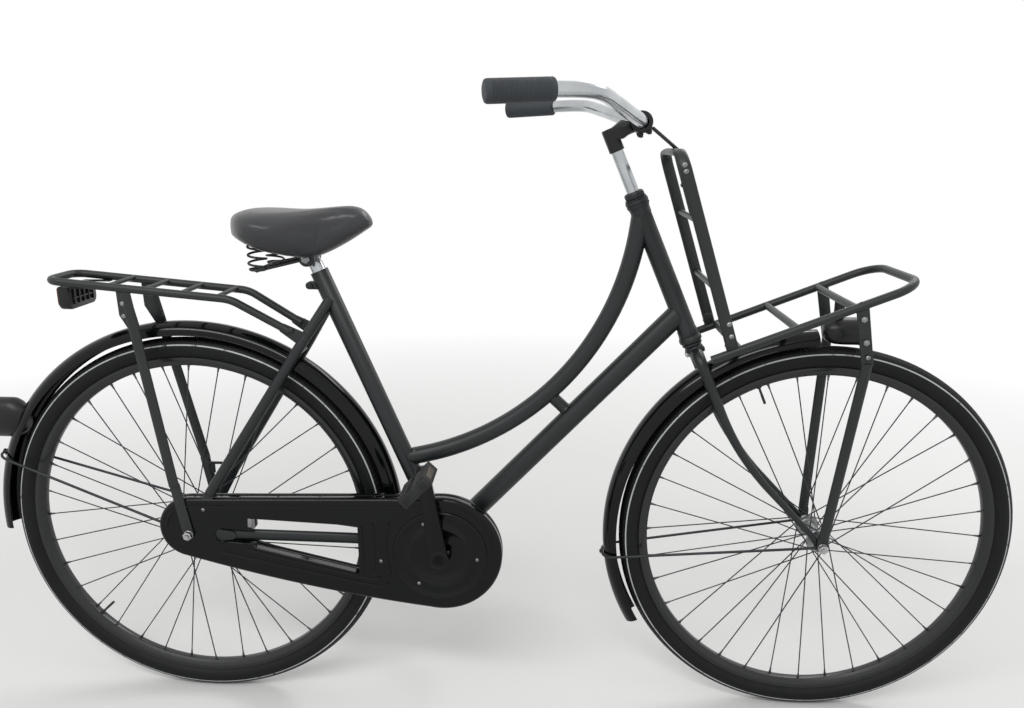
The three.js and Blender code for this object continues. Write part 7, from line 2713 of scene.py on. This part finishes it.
@dataclass(frozen=True)
class Studio:
    """The camera at the photographer's place, soft light, and a pale floor that fades into white."""

    place: tuple[float, float, float] = (650.8, -1422.6, 1048.9)
    yaw: float = -2.59
    pitch: float = 14.26
    roll: float = 0.22
    focal_pixels: float = 827.2
    width_pixels: float = 1024.0
    sensor: float = 36.0
    floor: Colour = (0.8, 0.8, 0.79)
    floor_half: float = 6.0
    fade: tuple[float, float] = (3.2, 1.3)
    middle_x: float = 0.56
    sky: float = 0.62
    lamps: tuple[tuple[str, Spot, Spot, Place, float], ...] = (
        ("key_lamp", (-0.4, -2.6, 3.4), (0.5, 0, 0.5), (3.4, 0.55), 66),
        ("rim_lamp", (2.2, 1.9, 2.8), (0.7, 0, 0.5), (2.4, 0.6), 30),
    )

    def camera(self) -> None:
        """Makes the camera that sees the bicycle as the photograph does."""
        yaw, pitch, roll = (math.radians(angle) for angle in (self.yaw, self.pitch, self.roll))
        ahead = Vector((math.sin(yaw) * math.cos(pitch), math.cos(yaw) * math.cos(pitch), -math.sin(pitch)))
        flat = ahead.cross(UP).normalized()
        up = flat.cross(ahead)
        side = flat * math.cos(roll) + up * math.sin(roll)
        top = up * math.cos(roll) - flat * math.sin(roll)
        data = bpy.data.cameras.new("camera")
        data.sensor_width = self.sensor
        data.lens = self.focal_pixels * self.sensor / self.width_pixels
        data.clip_start, data.clip_end = 0.05, 100
        camera = bpy.data.objects.new("camera", data)
        bpy.context.scene.collection.objects.link(camera)
        turn = Matrix((side, top, -ahead)).transposed().to_4x4()
        camera.matrix_world = Matrix.Translation(Vector(self.place) * MM) @ turn
        bpy.context.scene.camera = camera

    def world(self) -> None:
        """Lights the scene evenly, and shows white behind it, in metal and through glass too."""
        world = bpy.data.worlds.new("studio")
        world.use_nodes = True
        bpy.context.scene.world = world
        sheet = NodeSheet(world.node_tree)
        world.node_tree.nodes.clear()
        rays = sheet.add("LightPath").outputs
        mirrored = sheet.math("MAXIMUM", rays["Is Glossy Ray"], rays["Is Transmission Ray"])
        seen = sheet.math("MAXIMUM", rays["Is Camera Ray"], mirrored)
        strength = sheet.math("ADD", self.sky, sheet.math("MULTIPLY", seen, 1 - self.sky))
        light = sheet.add("Background", {"Color": (1, 1, 1, 1), "Strength": strength})
        out = sheet.add("OutputWorld")
        world.node_tree.links.new(light.outputs[0], out.inputs["Surface"])

    def lamp(self, name: str, place: Spot, aim: Spot, size: Place, watts: float) -> None:
        """Adds a soft lamp.

        Args:
            name: the lamp's name.
            place: where it hangs, in metres.
            aim: where it points, in metres.
            size: its width and height, in metres.
            watts: its power.
        """
        data = bpy.data.lights.new(name, "AREA")
        data.shape, data.energy = "RECTANGLE", watts
        data.size, data.size_y = size
        lamp = bpy.data.objects.new(name, data)
        bpy.context.scene.collection.objects.link(lamp)
        lamp.location = place
        lamp.rotation_euler = (Vector(aim) - Vector(place)).to_track_quat("-Z", "Y").to_euler()

    def ground(self) -> None:
        """A pale floor that takes the shadow and fades out far from the bicycle."""
        shape = bmesh.new()
        middle = Matrix.Translation((self.middle_x, 0, -0.0005))
        bmesh.ops.create_grid(shape, x_segments=8, y_segments=8, size=self.floor_half, matrix=middle)
        data = bpy.data.meshes.new("floor")
        shape.to_mesh(data)
        shape.free()
        floor = bpy.data.objects.new("floor", data)
        bpy.context.scene.collection.objects.link(floor)
        made = bpy.data.materials.new("floor_paper")
        made.use_nodes = True
        sheet = NodeSheet(made.node_tree)
        shader = made.node_tree.nodes["Principled BSDF"]
        shader.inputs["Base Color"].default_value = (*self.floor, 1)
        shader.inputs["Roughness"].default_value = 0.85
        shader.inputs["Specular IOR Level"].default_value = 0.1
        ends = {0: sheet.add("TexCoord").outputs["Object"], 1: (self.middle_x, 0.0, 0.0)}
        away = sheet.add("VectorMath", ends, operation="DISTANCE")
        fade = sheet.ramp(away.outputs["Value"], *self.fade)
        made.node_tree.links.new(fade, shader.inputs["Alpha"])
        data.materials.append(made)

    def build(self) -> None:
        """Builds the light and the floor."""
        bpy.context.scene.view_settings.view_transform = "Standard"
        self.world()
        self.ground()
        for lamp in self.lamps:
            self.lamp(*lamp)


def main() -> None:
    """Builds the studio and then the bicycle, one sub-assembly after another."""
    logging.basicConfig(level=logging.INFO, format="%(message)s")
    studio = Studio()
    studio.camera()
    wheelbase = LAYOUT.wheelbase
    assemblies = (
        studio,
        FrameTubes(),
        Wheel(
            "rear", 0.0, REAR_TYRE, flange_radius=33.0, flange_y=27.0, shell_radius=28.0, stub_radius=15.5,
            right_reach=30.7, left_reach=58.3, valve_angle=223.0,
        ),
        Wheel(
            "front", wheelbase, FRONT_TYRE, flange_radius=21.0, flange_y=32.0, shell_radius=12.0, stub_radius=9.0,
            right_reach=49.3, left_reach=49.3, valve_angle=113.0,
        ),
        Axle("rear_axle", 0.0, "frame", right_y=69.6, left_y=70.9),
        Axle("front_axle", wheelbase, "steering", right_y=61.5, left_y=61.5),
        Mudguard(
            "rear_mudguard", 0.0, "frame", half_width=23.7, start=-14.0, end=183.0, stay_angle=160.7, stay_y=61.5,
            stay_start=24.0, bow_clearance=5.1,
        ),
        FrontMudguard(
            "front_mudguard", wheelbase, "steering", half_width=25.0, start=94.0, end=209.0, stay_angle=187.0,
            stay_y=57.7, stay_start=13.5, bow_clearance=2.7,
        ),
        Steering(),
        FrontCarrier(),
        RearCarrier(),
        Drive(),
        Saddle(),
    )
    for assembly in assemblies:
        log.info("-- %s", type(assembly).__name__)
        assembly.build()
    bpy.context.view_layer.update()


if __name__ == "__main__":
    main()
